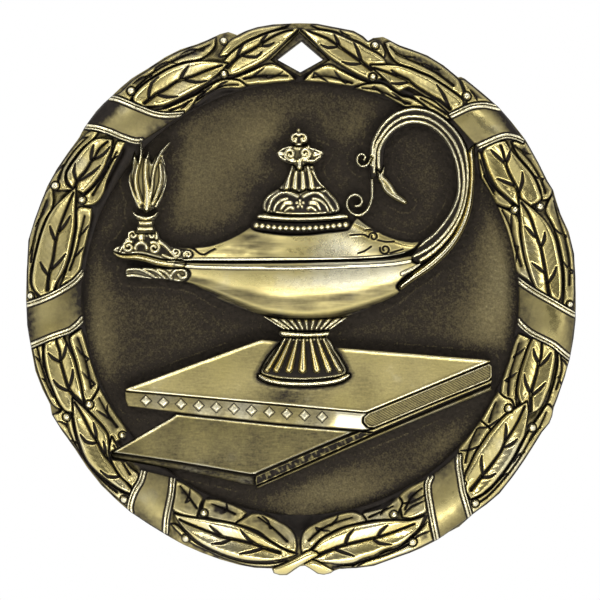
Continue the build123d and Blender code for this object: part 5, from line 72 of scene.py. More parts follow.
# Outlines of the pieces, (x, z) in millimetres from the centre of the medal; a piece may have several parts, and a part holes.
OUTLINE = {
 "band_upper_left": [[[(-14.762,14.219),(-14.737,14.505),(-14.729,14.523),(-14.708,14.533),(-14.671,14.527),(-14.66,14.508),(-14.651,14.445),(-11.12,16.754),(-11.081,16.758),(-10.735,16.982),(-10.758,17.216),(-11.875,17.108),(-12.212,17.097),(-12.518,17.108),(-12.802,17.134),(-13.078,17.177),(-13.358,17.238),(-13.646,17.321),(-13.94,17.427),(-14.811,17.775),(-16.485,18.488),(-16.753,18.588),(-16.995,18.658),(-17.342,18.728),(-18.023,18.124),(-19.495,16.357),(-19.92,15.74),(-19.971,15.641),(-19.976,15.596),(-19.162,15.509),(-18.892,15.461),(-18.61,15.391),(-18.318,15.305),(-17.725,15.101),(-17.433,14.984),(-16.834,14.718),(-16.526,14.594),(-15.878,14.373),(-15.566,14.281),(-15.292,14.216),(-15.096,14.195)]]],
 "band_upper_right": [[[(17.199,14.06),(18.218,14.495),(18.436,14.573),(18.772,14.669),(18.916,14.692),(19.068,14.7),(19.238,14.69),(19.419,14.663),(19.791,14.571),(19.967,14.511),(20.515,14.275),(20.683,14.665),(20.358,14.807),(18.698,17.124),(18.267,17.621),(17.983,17.867),(17.296,18.012),(17.142,18.034),(16.964,18.046),(16.756,18.046),(16.297,18.016),(15.886,17.955),(15.705,17.914),(15.326,17.793),(15.106,17.703),(14.211,17.276),(13.591,16.963),(13.782,16.585),(13.835,16.611),(15.999,14.235),(16.093,14.295),(16.116,14.29),(16.146,14.266),(16.15,14.243),(16.118,14.103),(16.313,13.889),(16.401,13.697)]]],
 "band_middle_left": [[[(-23.065,-3.876),(-22.645,-3.71),(-22.253,-3.573),(-21.484,-3.322),(-21.153,-3.187),(-20.903,-3.045),(-20.697,-2.894),(-20.362,-2.597),(-20.212,-2.452),(-19.973,-2.18),(-20.03,-1.576),(-20.065,-1.052),(-20.085,-0.526),(-20.092,0),(-20.085,0.526),(-20.065,1.052),(-20.03,1.576),(-19.982,2.1),(-19.928,2.559),(-20.118,2.715),(-20.72,1.978),(-20.926,1.77),(-21.149,1.588),(-21.39,1.421),(-22.173,0.946),(-22.445,0.794),(-22.995,0.514),(-23.262,0.39),(-23.796,0.168),(-24.081,0.061),(-25.271,-0.322),(-25.211,-1.801),(-25.152,-2.644),(-24.825,-4.615)]]],
 "band_middle_right": [[[(24.801,-5.624),(24.889,-5.166),(25.352,-1.463),(25.352,-1.24),(24.771,-0.946),(24.292,-0.678),(23.47,-0.185),(22.419,0.401),(21.762,0.79),(21.161,1.173),(20.897,1.353),(20.466,1.682),(20.069,2.008),(19.999,1.921),(20.065,1.052),(20.085,0.526),(20.092,0),(20.085,-0.526),(20.065,-1.052),(20.03,-1.576),(19.947,-2.396),(20.127,-2.611),(20.27,-2.754),(20.667,-3.099),(20.901,-3.281),(21.151,-3.452),(21.418,-3.602),(22.229,-3.988),(22.908,-4.333),(23.116,-4.461),(23.327,-4.617),(23.967,-5.159),(24.708,-5.743)]]],
 "band_lower_left": [[[(-12.129,-20.688),(-12.094,-20.35),(-12.037,-19.998),(-11.675,-18.226),(-11.633,-17.954),(-11.494,-16.526),(-11.705,-16.507),(-14.656,-15.751),(-14.858,-16.495),(-14.932,-16.699),(-15.017,-16.863),(-15.233,-17.175),(-15.347,-17.363),(-15.551,-17.781),(-15.73,-18.225),(-15.876,-18.704),(-15.933,-18.941),(-15.971,-19.154),(-15.978,-19.324),(-15.97,-19.4),(-15.69,-19.646),(-14.849,-20.206),(-12.602,-21.58),(-12.604,-21.623),(-12.478,-21.701),(-12.185,-21.717)]]],
 "band_lower_right": [[[(12.394,-22.381),(12.652,-22.251),(13.652,-21.545),(15.623,-20.125),(15.838,-19.921),(15.208,-17.84),(15.148,-17.588),(15.089,-17.275),(14.938,-16.253),(14.824,-15.576),(14.801,-15.359),(14.792,-15.115),(14.802,-14.316),(14.378,-14.311),(14.376,-14.482),(11.935,-16.406),(11.742,-16.318),(11.585,-16.651),(11.505,-16.844),(11.45,-17.062),(11.43,-17.29),(11.436,-17.518),(11.485,-18.008),(11.527,-18.317),(11.797,-19.902),(11.912,-20.495),(12.328,-22.396)]]],
 "berries_left": [[[(-10.335,-22.348),(-10.237,-22.226),(-10.203,-22.074),(-10.237,-21.922),(-10.335,-21.8),(-10.475,-21.732),(-10.631,-21.732),(-10.771,-21.8),(-10.869,-21.922),(-10.903,-22.074),(-10.869,-22.226),(-10.771,-22.348),(-10.631,-22.415),(-10.475,-22.415)]], [[(-8.676,-20.025),(-8.578,-19.903),(-8.544,-19.751),(-8.578,-19.599),(-8.676,-19.477),(-8.816,-19.41),(-8.972,-19.41),(-9.112,-19.477),(-9.21,-19.599),(-9.244,-19.751),(-9.21,-19.903),(-9.112,-20.025),(-8.972,-20.093),(-8.816,-20.093)]], [[(-16.003,-18.753),(-15.906,-18.631),(-15.871,-18.479),(-15.906,-18.327),(-16.003,-18.205),(-16.143,-18.138),(-16.299,-18.138),(-16.44,-18.205),(-16.537,-18.327),(-16.571,-18.479),(-16.537,-18.631),(-16.44,-18.753),(-16.299,-18.821),(-16.143,-18.821)]], [[(-16.192,-12.826),(-16.105,-12.717),(-16.074,-12.581),(-16.105,-12.445),(-16.192,-12.336),(-16.317,-12.275),(-16.457,-12.275),(-16.582,-12.336),(-16.669,-12.445),(-16.7,-12.581),(-16.669,-12.717),(-16.582,-12.826),(-16.457,-12.886),(-16.317,-12.886)]], [[(-21.284,-11.168),(-21.187,-11.046),(-21.152,-10.894),(-21.187,-10.742),(-21.284,-10.62),(-21.424,-10.553),(-21.58,-10.553),(-21.721,-10.62),(-21.818,-10.742),(-21.853,-10.894),(-21.818,-11.046),(-21.721,-11.168),(-21.58,-11.235),(-21.424,-11.235)]], [[(-19.199,-10.049),(-19.096,-9.92),(-19.06,-9.76),(-19.096,-9.6),(-19.199,-9.472),(-19.347,-9.401),(-19.511,-9.401),(-19.658,-9.472),(-19.761,-9.6),(-19.797,-9.76),(-19.761,-9.92),(-19.658,-10.049),(-19.511,-10.12),(-19.347,-10.12)]], [[(-24.643,-0.015),(-24.556,0.094),(-24.525,0.23),(-24.556,0.366),(-24.643,0.475),(-24.769,0.536),(-24.908,0.536),(-25.034,0.475),(-25.121,0.366),(-25.152,0.23),(-25.121,0.094),(-25.034,-0.015),(-24.908,-0.075),(-24.769,-0.075)]], [[(-19.872,8.79),(-19.769,8.918),(-19.733,9.078),(-19.769,9.238),(-19.872,9.367),(-20.019,9.438),(-20.183,9.438),(-20.331,9.367),(-20.434,9.238),(-20.47,9.078),(-20.434,8.918),(-20.331,8.79),(-20.183,8.719),(-20.019,8.719)]], [[(-22.342,10.08),(-22.239,10.209),(-22.203,10.369),(-22.239,10.529),(-22.342,10.657),(-22.489,10.728),(-22.653,10.728),(-22.801,10.657),(-22.904,10.529),(-22.94,10.369),(-22.904,10.209),(-22.801,10.08),(-22.653,10.009),(-22.489,10.009)]], [[(-15.355,18.809),(-15.253,18.937),(-15.217,19.097),(-15.253,19.257),(-15.355,19.385),(-15.503,19.456),(-15.667,19.456),(-15.815,19.385),(-15.917,19.257),(-15.954,19.097),(-15.917,18.937),(-15.815,18.809),(-15.667,18.737),(-15.503,18.737)]], [[(-6.823,20.362),(-6.726,20.484),(-6.691,20.636),(-6.726,20.788),(-6.823,20.91),(-6.964,20.977),(-7.119,20.977),(-7.26,20.91),(-7.357,20.788),(-7.392,20.636),(-7.357,20.484),(-7.26,20.362),(-7.119,20.294),(-6.964,20.294)]], [[(-6.871,23.446),(-6.779,23.561),(-6.747,23.705),(-6.779,23.849),(-6.871,23.964),(-7.005,24.029),(-7.152,24.029),(-7.285,23.964),(-7.377,23.849),(-7.41,23.705),(-7.377,23.561),(-7.285,23.446),(-7.152,23.382),(-7.005,23.382)]]],
 "berries_right": [[[(10.543,-22.712),(10.646,-22.584),(10.682,-22.424),(10.646,-22.264),(10.543,-22.136),(10.395,-22.065),(10.231,-22.065),(10.084,-22.136),(9.981,-22.264),(9.945,-22.424),(9.981,-22.584),(10.084,-22.712),(10.231,-22.783),(10.395,-22.783)]], [[(8.808,-20.163),(8.905,-20.041),(8.94,-19.889),(8.905,-19.737),(8.808,-19.616),(8.668,-19.548),(8.512,-19.548),(8.371,-19.616),(8.274,-19.737),(8.24,-19.889),(8.274,-20.041),(8.371,-20.163),(8.512,-20.231),(8.668,-20.231)]], [[(16.292,-19.103),(16.389,-18.981),(16.424,-18.829),(16.389,-18.678),(16.292,-18.556),(16.152,-18.488),(15.996,-18.488),(15.855,-18.556),(15.758,-18.678),(15.724,-18.829),(15.758,-18.981),(15.855,-19.103),(15.996,-19.171),(16.152,-19.171)]], [[(15.156,-17.099),(15.18,-16.995),(15.156,-16.891),(15.103,-16.825),(15.06,-16.843),(15.1,-17.111),(15.138,-17.122)]], [[(21.548,-12.168),(21.65,-12.04),(21.687,-11.88),(21.65,-11.72),(21.548,-11.592),(21.4,-11.521),(21.236,-11.521),(21.088,-11.592),(20.986,-11.72),(20.949,-11.88),(20.986,-12.04),(21.088,-12.168),(21.236,-12.24),(21.4,-12.24)]], [[(19.382,-10.408),(19.484,-10.28),(19.521,-10.12),(19.484,-9.96),(19.382,-9.832),(19.234,-9.76),(19.07,-9.76),(18.922,-9.832),(18.82,-9.96),(18.783,-10.12),(18.82,-10.28),(18.922,-10.408),(19.07,-10.479),(19.234,-10.479)]], [[(24.977,-0.784),(25.058,-0.681),(25.088,-0.553),(25.058,-0.425),(24.977,-0.322),(24.858,-0.265),(24.727,-0.265),(24.609,-0.322),(24.527,-0.425),(24.498,-0.553),(24.527,-0.681),(24.609,-0.784),(24.727,-0.841),(24.858,-0.841)]], [[(19.935,7.868),(20.037,7.997),(20.074,8.157),(20.037,8.317),(19.935,8.445),(19.787,8.516),(19.623,8.516),(19.475,8.445),(19.373,8.317),(19.336,8.157),(19.373,7.997),(19.475,7.868),(19.623,7.797),(19.787,7.797)]], [[(22.248,8.145),(22.351,8.273),(22.387,8.433),(22.351,8.593),(22.248,8.721),(22.1,8.793),(21.936,8.793),(21.789,8.721),(21.686,8.593),(21.65,8.433),(21.686,8.273),(21.789,8.145),(21.936,8.074),(22.1,8.074)]], [[(15.52,18.32),(15.622,18.448),(15.659,18.608),(15.622,18.768),(15.52,18.897),(15.372,18.968),(15.208,18.968),(15.06,18.897),(14.958,18.768),(14.922,18.608),(14.958,18.448),(15.06,18.32),(15.208,18.249),(15.372,18.249)]], [[(6.873,20.113),(6.97,20.235),(7.005,20.387),(6.97,20.539),(6.873,20.661),(6.732,20.729),(6.576,20.729),(6.436,20.661),(6.339,20.539),(6.304,20.387),(6.339,20.235),(6.436,20.113),(6.576,20.046),(6.732,20.046)]], [[(7.064,23.022),(7.156,23.137),(7.189,23.281),(7.156,23.425),(7.064,23.541),(6.931,23.605),(6.783,23.605),(6.65,23.541),(6.558,23.425),(6.525,23.281),(6.558,23.137),(6.65,23.022),(6.783,22.958),(6.931,22.958)]]],
 "stem_left": [[[(-1.244,-25.438),(-0.893,-25.193),(-0.507,-24.885),(-0.052,-24.603),(0.415,-24.332),(0.858,-24.09),(1.566,-23.685),(1.705,-23.502),(1.417,-23.272),(0.968,-23.134),(0.565,-23.263),(-0.783,-24.009),(-1.705,-24.47),(-2.535,-24.839),(-2.563,-25.006),(-2.563,-25.073),(-2.48,-25.296),(-2.385,-25.366),(-2.116,-25.459),(-1.889,-25.484),(-1.584,-25.501)]]],
 "stem_right": [[[(2.467,-25.404),(2.852,-25.266),(3.065,-25.107),(3.088,-25.069),(2.785,-24.85),(2.35,-24.608),(1.982,-24.384),(1.613,-24.194),(1.238,-24.052),(1.036,-24.028),(0.284,-24.448),(0.4,-24.59),(0.425,-24.591),(1.015,-24.96),(1.332,-25.194),(1.567,-25.346),(1.771,-25.414),(1.928,-25.447),(2.138,-25.465)]]],
 "hanger_eye": [[[(2.765,21.935),(-0.083,24.608),(-2.857,21.935),(-0.028,20.415)], [(-2.194,22.055),(0.092,23.797),(2.129,22.055),(-0.028,20.857)]]],
 "leaf_left_1": [[[(-3.088,-24.192),(-2.535,-24.147),(-1.99,-24.06),(-1.461,-23.943),(-1.014,-23.825),(-0.724,-23.725),(-0.288,-23.528),(-0.292,-23.486),(-0.968,-23.308),(-1.336,-23.18),(-1.695,-23.011),(-2.442,-22.581),(-3.354,-21.99),(-3.825,-21.705),(-4.282,-21.466),(-4.74,-21.253),(-5.207,-21.06),(-5.696,-20.882),(-6.194,-20.725),(-6.682,-20.599),(-7.177,-20.515),(-8.065,-20.415),(-8.71,-20.276),(-9.91,-20.13),(-10.507,-20.046),(-10.944,-19.958),(-11.656,-19.782),(-11.68,-19.813),(-11.399,-20.31),(-11.198,-20.599),(-10.899,-20.956),(-10.544,-21.343),(-9.86,-22.015),(-9.531,-22.299),(-9.124,-22.581),(-8.578,-22.884),(-7.95,-23.188),(-7.327,-23.456),(-6.726,-23.678),(-6.131,-23.864),(-5.576,-24.009),(-5.098,-24.107),(-4.661,-24.163),(-4.194,-24.194),(-3.656,-24.205)]]],
 "leaf_left_2": [[[(-15.532,-17.663),(-15.533,-17.529),(-15.622,-17.281),(-15.876,-17.018),(-16.223,-16.745),(-16.544,-16.452),(-16.802,-16.131),(-17.034,-15.789),(-17.235,-15.438),(-17.411,-15.066),(-17.556,-14.683),(-17.65,-14.332),(-17.662,-14.042),(-17.622,-13.782),(-17.604,-13.502),(-17.624,-13.164),(-17.665,-12.806),(-17.742,-12.488),(-17.861,-12.253),(-18.418,-11.587),(-18.94,-11.014),(-19.258,-10.686),(-19.954,-10),(-20.927,-9.115),(-20.964,-9.133),(-20.922,-9.724),(-20.905,-10.423),(-20.876,-10.829),(-20.816,-11.28),(-20.736,-11.761),(-20.645,-12.212),(-20.553,-12.591),(-20.451,-12.939),(-20.166,-13.77),(-19.983,-14.253),(-19.77,-14.7),(-19.531,-15.078),(-19.261,-15.419),(-18.94,-15.76),(-18.537,-16.126),(-18.083,-16.491),(-17.264,-17.1),(-16.899,-17.344),(-16.544,-17.558),(-16.199,-17.732),(-15.662,-17.962)]]],
 "leaf_left_3": [[[(-20.936,-10.477),(-20.957,-9.725),(-20.997,-9.122),(-20.979,-9.101),(-20.929,-9.08),(-20.904,-9.089),(-19.923,-9.981),(-19.885,-9.96),(-19.991,-9.355),(-20.144,-8.372),(-20.23,-7.88),(-20.32,-7.484),(-20.507,-6.774),(-20.678,-6.03),(-20.783,-5.668),(-20.923,-5.32),(-21.538,-4.043),(-21.705,-3.733),(-21.858,-3.481),(-22.632,-3.743),(-23.482,-4.089),(-23.548,-4.286),(-23.596,-4.695),(-23.593,-5.166),(-23.548,-5.668),(-23.456,-6.218),(-23.323,-6.798),(-23.18,-7.327),(-23.033,-7.768),(-22.425,-9.222),(-22.258,-9.539),(-22.063,-9.857),(-21.848,-10.154),(-21.613,-10.369),(-21.353,-10.471),(-21.074,-10.492)]]],
 "leaf_left_4": [[[(-23.276,0.422),(-23.01,0.545),(-22.675,0.716),(-22.525,1.133),(-22.396,1.429),(-22.198,1.768),(-21.964,2.139),(-21.751,2.535),(-21.579,2.96),(-21.427,3.41),(-21.29,3.871),(-21.169,4.342),(-21.063,4.823),(-20.797,6.179),(-20.737,6.682),(-20.709,7.327),(-20.691,8.71),(-20.638,10.227),(-20.673,10.244),(-21.435,9.587),(-22.105,8.979),(-22.376,8.717),(-22.627,8.433),(-22.859,8.123),(-23.07,7.791),(-23.272,7.419),(-23.468,6.989),(-23.654,6.518),(-23.825,6.037),(-23.977,5.549),(-24.113,5.05),(-24.468,3.637),(-24.562,3.18),(-24.648,2.702),(-24.718,2.224),(-24.747,1.797),(-24.733,1.453),(-24.678,1.154),(-24.562,0.876),(-24.357,0.602),(-24.091,0.35),(-23.873,0.177)]]],
 "leaf_left_5": [[[(-19.52,9.986),(-19.309,10.184),(-19.106,10.41),(-18.908,10.655),(-18.505,11.208),(-18.3,11.516),(-18.111,11.843),(-17.94,12.212),(-17.65,12.949),(-17.446,13.434),(-17.373,13.687),(-17.329,13.992),(-17.281,14.654),(-18.329,14.75),(-18.802,14.7),(-19.201,14.492),(-19.549,14.187),(-19.862,13.871),(-20.135,13.571),(-20.372,13.26),(-21.06,12.314),(-21.376,11.804),(-21.474,11.598),(-21.521,11.382),(-21.507,11.138),(-21.442,10.884),(-21.336,10.645),(-21.19,10.428),(-21.002,10.227),(-20.872,10.119),(-20.685,10.277),(-20.658,10.276),(-20.612,10.251),(-20.603,10.226),(-20.613,9.945),(-20.527,9.894),(-19.954,9.631)]]],
 "leaf_left_6": [[[(-13.146,17.66),(-12.82,17.68),(-12.488,17.742),(-12.152,17.858),(-11.811,18.015),(-10.978,18.425),(-10.486,18.677),(-9.529,19.203),(-9.063,19.476),(-8.618,19.77),(-8.189,20.101),(-7.781,20.452),(-7.352,20.851),(-7.287,20.932),(-7.247,20.955),(-7.127,21.074),(-6.662,21.585),(-6.674,21.618),(-7.715,21.758),(-8.646,21.839),(-8.956,21.855),(-9.309,21.843),(-9.753,21.796),(-10.247,21.72),(-10.737,21.613),(-11.212,21.47),(-11.681,21.295),(-12.12,21.106),(-12.512,20.901),(-13.919,20.041),(-14.24,19.816),(-14.547,19.563),(-14.834,19.295),(-15.069,19.032),(-15.264,18.78),(-15.407,18.532),(-15.438,18.295),(-15.298,18.073),(-15.17,17.966),(-14.395,17.647),(-13.912,17.643)]]],
 "leaf_left_7": [[[(-6.196,20.515),(-5.94,20.576),(-5.668,20.664),(-5.368,20.777),(-4.46,21.195),(-3.917,21.475),(-3.415,21.773),(-3.18,21.935),(-2.954,22.115),(-2.176,22.811),(-1.734,23.239),(-0.136,24.867),(-0.152,24.904),(-0.497,24.907),(-1.046,24.884),(-1.244,24.857),(-1.838,24.737),(-2.166,24.654),(-2.845,24.449),(-3.18,24.332),(-3.494,24.207),(-4.716,23.66),(-5.023,23.502),(-5.337,23.317),(-5.651,23.112),(-5.945,22.903),(-6.208,22.698),(-6.45,22.488),(-6.682,22.258),(-6.931,21.987),(-7.128,21.746),(-7.116,21.713),(-6.659,21.65),(-6.641,21.63),(-6.627,21.586),(-6.636,21.561),(-7.103,21.048),(-7.088,21.012),(-6.948,21.009),(-6.808,20.941),(-6.699,20.81),(-6.657,20.644),(-6.671,20.567),(-6.452,20.507)]]],
 "leaf_right_1": [[[(4.026,-24.461),(4.479,-24.417),(4.885,-24.341),(5.22,-24.216),(5.51,-24.058),(5.806,-23.917),(6.133,-23.822),(6.468,-23.744),(6.793,-23.641),(7.089,-23.483),(7.376,-23.3),(7.696,-23.134),(8.094,-23.004),(8.525,-22.89),(8.894,-22.774),(9.138,-22.661),(9.341,-22.537),(9.539,-22.396),(9.739,-22.24),(9.934,-22.066),(10.674,-21.36),(10.922,-21.06),(11.122,-20.714),(11.453,-20.002),(11.425,-19.972),(10.539,-20.298),(10.092,-20.415),(9.679,-20.437),(8.894,-20.378),(8.073,-20.381),(7.696,-20.396),(7.386,-20.422),(7.109,-20.458),(6.306,-20.587),(5.235,-20.783),(4.463,-20.951),(4.101,-21.06),(3.726,-21.204),(3.351,-21.372),(2.59,-21.753),(2.203,-21.965),(1.853,-22.212),(1.565,-22.523),(1.315,-22.869),(1.096,-23.136),(1.439,-23.245),(1.727,-23.475),(1.74,-23.498),(1.733,-23.523),(1.584,-23.715),(1.147,-23.965),(1.156,-24.007),(1.251,-24.02),(1.625,-24.161),(1.849,-24.276),(1.982,-24.286),(3.019,-24.428),(3.548,-24.47)]]],
 "leaf_right_2": [[[(16.339,-18.165),(16.636,-18.018),(16.809,-17.903),(17.097,-17.65),(17.454,-17.358),(17.65,-17.171),(17.877,-16.915),(18.577,-16.045),(18.995,-15.475),(19.425,-14.833),(19.631,-14.488),(19.829,-14.108),(20.194,-13.355),(20.497,-12.858),(20.618,-12.581),(20.707,-12.21),(20.945,-10.607),(20.968,-10.258),(20.942,-9.964),(20.829,-9.447),(19.903,-10.001),(19.53,-10.235),(19.512,-10.302),(19.397,-10.44),(19.249,-10.511),(19.118,-10.514),(18.895,-10.678),(18.636,-10.894),(18.388,-11.136),(17.687,-11.939),(17.226,-12.516),(17.025,-12.802),(16.664,-13.355),(16.337,-13.798),(16.175,-14.055),(15.988,-14.425),(15.604,-15.253),(15.246,-15.922),(15.115,-16.249),(15.026,-16.612),(15.055,-16.807),(15.107,-16.79),(15.13,-16.803),(15.19,-16.884),(15.214,-16.988),(15.19,-17.107),(15.156,-17.152),(15.107,-17.158),(15.182,-17.58),(15.227,-17.768),(15.622,-18.479)]]],
 "leaf_right_3": [[[(21.502,-10.474),(21.705,-10.369),(21.88,-10.244),(22.036,-10.098),(22.184,-9.908),(22.329,-9.646),(22.467,-9.336),(22.852,-8.415),(22.959,-8.101),(23.04,-7.78),(23.322,-6.406),(23.43,-5.714),(23.463,-5.38),(23.456,-5.069),(23.411,-4.796),(23.382,-4.71),(23.096,-4.49),(22.891,-4.363),(22.214,-4.019),(21.375,-3.618),(21.253,-3.777),(21.108,-4.058),(20.968,-4.378),(20.823,-4.755),(20.328,-6.222),(20.23,-6.553),(20.142,-6.921),(20.063,-7.304),(19.944,-8.032),(19.903,-8.377),(19.908,-8.71),(19.966,-9.022),(20.07,-9.321),(20.23,-9.631),(20.297,-9.724),(20.822,-9.413),(20.848,-9.418),(20.864,-9.44),(20.976,-9.957),(21.003,-10.255),(20.983,-10.557),(21.06,-10.645)]]],
 "leaf_right_4": [[[(23.743,-0.262),(23.906,-0.048),(24.009,0.23),(24.058,0.771),(24.06,1.441),(24.046,2.028),(24.027,2.414),(23.992,2.751),(23.885,3.43),(23.733,4.138),(23.562,4.998),(23.456,5.41),(23.328,5.769),(23.183,6.096),(23.023,6.406),(22.849,6.701),(22.661,6.978),(22.461,7.235),(22.247,7.465),(21.374,8.269),(21.124,8.479),(20.126,9.237),(20.093,9.22),(20.12,8.065),(20.203,6.959),(20.258,6.037),(20.355,5.242),(20.477,4.467),(20.544,4.105),(20.725,3.346),(20.837,2.949),(21.118,2.08),(21.286,1.607),(21.475,1.18),(21.642,0.908),(22.436,0.431),(23.487,-0.154),(23.71,-0.288)]]],
 "leaf_right_5": [[[(20.075,8.494),(20.06,9.231),(20.077,9.251),(20.122,9.272),(20.147,9.265),(21.155,8.5),(21.244,8.525),(21.601,8.684),(21.947,8.889),(22.166,9.124),(22.178,9.398),(21.935,10),(21.731,10.564),(21.613,10.829),(21.487,11.072),(21.35,11.299),(21.189,11.53),(20.998,11.764),(20.019,12.868),(19.561,13.415),(19.379,13.646),(19.217,13.871),(19.08,14.091),(18.848,14.516),(18.205,14.452),(17.067,13.962),(16.947,13.868),(16.728,13.594),(16.692,13.321),(16.774,13.038),(16.866,12.765),(16.928,12.521),(16.999,12.288),(17.097,12.028),(17.259,11.647),(17.457,11.215),(17.65,10.829),(17.812,10.535),(17.969,10.285),(18.157,10.046),(18.4,9.805),(19.418,8.953),(19.845,8.619),(20.042,8.477)]]],
 "leaf_right_6": [[[(14.195,17.307),(14.925,17.655),(14.997,17.832),(15.023,18.018),(14.975,18.17),(14.868,18.301),(14.728,18.433),(14.525,18.601),(13.571,19.285),(13.013,19.656),(12.042,20.274),(11.843,20.378),(11.536,20.506),(10.857,20.765),(10.398,20.976),(10.147,21.078),(9.437,21.318),(9.078,21.41),(8.757,21.457),(8.452,21.474),(7.878,21.49),(6.41,21.475),(6.395,21.438),(7.143,20.691),(7.751,20.157),(8.249,19.677),(8.579,19.313),(8.737,19.171),(8.876,19.081),(9.012,19.029),(9.171,19.032),(9.391,19.144),(9.646,19.312),(9.908,19.401),(10.173,19.344),(10.446,19.207),(10.953,18.916),(11.187,18.76),(11.429,18.618),(11.687,18.513),(11.952,18.422),(12.212,18.295),(12.461,18.102),(12.949,17.65),(13.455,17.221),(13.687,17.051)]]],
 "leaf_right_7": [[[(7.017,20.047),(7.512,20.23),(7.55,20.287),(7.118,20.666),(6.363,21.425),(6.363,21.452),(6.385,21.5),(6.41,21.51),(7.921,21.524),(7.834,21.843),(7.633,22.103),(7.349,22.331),(7.051,22.535),(6.743,22.707),(6.129,22.995),(5.9,23.14),(5.702,23.279),(5.484,23.41),(5.221,23.527),(4.654,23.751),(3.825,24.147),(3.228,24.394),(2.903,24.498),(2.545,24.582),(2.166,24.65),(1.797,24.7),(1.429,24.727),(0.783,24.747),(0.542,24.771),(-0.023,24.886),(-0.045,24.846),(0.968,23.825),(1.853,22.857),(2.043,22.667),(2.396,22.35),(2.59,22.192),(2.995,21.889),(4.05,21.205),(4.574,20.893),(5.207,20.553),(5.806,20.281),(6.369,20.074),(6.394,20.11),(6.305,20.227),(6.27,20.395),(6.311,20.561),(6.409,20.683),(6.561,20.76),(6.732,20.764),(6.888,20.692),(6.997,20.561),(7.039,20.395),(7.004,20.227),(6.9,20.091),(6.865,20.071),(6.882,20.021)]]],
 "in_Li1": [[[(-0.336,-23.046),(-0.323,-22.811),(-0.345,-22.511),(-0.393,-22.18),(-0.461,-21.889),(-0.549,-21.673),(-0.659,-21.497),(-0.783,-21.336),(-0.923,-21.185),(-1.079,-21.048),(-1.244,-20.922),(-1.418,-20.807),(-2.005,-20.49),(-2.442,-20.276),(-2.866,-20.084),(-3.088,-20),(-3.33,-19.926),(-3.583,-19.861),(-3.825,-19.816),(-4.054,-19.787),(-4.272,-19.777),(-4.47,-19.797),(-4.637,-19.86),(-4.931,-20.046),(-5.736,-20.503),(-5.945,-20.691),(-5.849,-20.797),(-5.207,-20.968),(-4.354,-21.241),(-3.917,-21.429),(-3.542,-21.681),(-3.187,-21.975),(-2.811,-22.258),(-2.388,-22.521),(-1.944,-22.774),(-1.521,-22.995),(-1.138,-23.169),(-0.708,-23.34),(-0.408,-23.419)]]],
 "in_Li2": [[[(-5.968,-20.665),(-5.754,-20.473),(-5.352,-20.245),(-5.3,-20.138),(-5.132,-19.974),(-4.955,-19.831),(-4.931,-19.677),(-5.163,-19.497),(-5.549,-19.305),(-6.142,-19.033),(-6.676,-18.853),(-7.442,-18.562),(-7.679,-18.517),(-7.972,-18.479),(-8.256,-18.466),(-8.802,-18.479),(-8.938,-18.834),(-8.986,-19.032),(-9.024,-19.275),(-9.032,-19.4),(-8.972,-19.375),(-8.801,-19.378),(-8.66,-19.446),(-8.551,-19.577),(-8.51,-19.743),(-8.544,-19.911),(-8.668,-20.072),(-8.617,-20.107),(-8.341,-20.23),(-7.935,-20.336),(-6.959,-20.507),(-5.985,-20.702)]]],
 "in_Li3": [[[(-9.355,-19.374),(-9.263,-19.032),(-9.127,-18.762),(-8.99,-18.528),(-8.986,-18.295),(-9.205,-18.042),(-9.556,-17.79),(-10.218,-17.353),(-10.529,-17.168),(-10.829,-17.005),(-11.113,-16.868),(-11.477,-16.713),(-11.598,-17.958),(-11.64,-18.231),(-11.864,-19.326),(-11.84,-19.377),(-11.659,-19.585),(-11.403,-19.742),(-11.086,-19.858),(-10.737,-19.954),(-10.358,-20.029),(-9.539,-20.138)]]],
 "in_Li4": [[[(-15.377,-17.345),(-15.262,-17.155),(-15.047,-16.845),(-14.964,-16.685),(-14.873,-16.418),(-14.885,-16.175),(-15.066,-15.977),(-15.349,-15.82),(-15.622,-15.622),(-15.847,-15.346),(-16.074,-15.01),(-17.286,-14.804),(-17.303,-14.794),(-17.442,-14.639),(-17.484,-14.663),(-17.448,-14.779),(-17.288,-15.154),(-17.097,-15.53),(-16.878,-15.895),(-16.492,-16.452),(-16.2,-16.718),(-15.855,-16.991),(-15.597,-17.257),(-15.501,-17.515),(-15.461,-17.517)]], [[(-17.529,-14.262),(-17.468,-14.262),(-17.447,-14.229),(-17.492,-14.162),(-17.494,-14.139),(-17.48,-14.121),(-16.8,-13.736),(-17.346,-12.722),(-17.387,-12.728),(-17.51,-13.219),(-17.558,-13.502),(-17.588,-13.796),(-17.599,-14.1),(-17.578,-14.264),(-17.536,-14.273)]]],
 "in_Li5": [[[(-16.723,-13.1),(-16.489,-12.943),(-16.491,-12.909),(-16.61,-12.847),(-16.697,-12.738),(-16.735,-12.588),(-16.704,-12.437),(-16.61,-12.314),(-16.472,-12.244),(-16.317,-12.24),(-16.177,-12.304),(-16.072,-12.43),(-16.035,-12.422),(-15.996,-12.261),(-16.037,-12.028),(-16.231,-11.693),(-16.82,-10.922),(-17.327,-10.171),(-17.762,-9.488),(-18.111,-8.894),(-18.462,-8.193),(-18.498,-8.192),(-19.032,-9.171),(-19.219,-9.423),(-19.171,-9.45),(-19.062,-9.593),(-19.026,-9.768),(-19.062,-9.928),(-19.171,-10.07),(-19.331,-10.151),(-19.555,-10.155),(-19.438,-10.399),(-18.271,-11.615),(-18.018,-11.935),(-17.92,-12.128),(-17.83,-12.237),(-17.708,-12.48),(-17.631,-12.798),(-17.623,-12.866),(-17.558,-13.041),(-17.508,-13.067),(-17.415,-12.706),(-17.391,-12.693),(-17.336,-12.689),(-17.315,-12.706),(-17.036,-13.225),(-17.005,-13.226)]]],
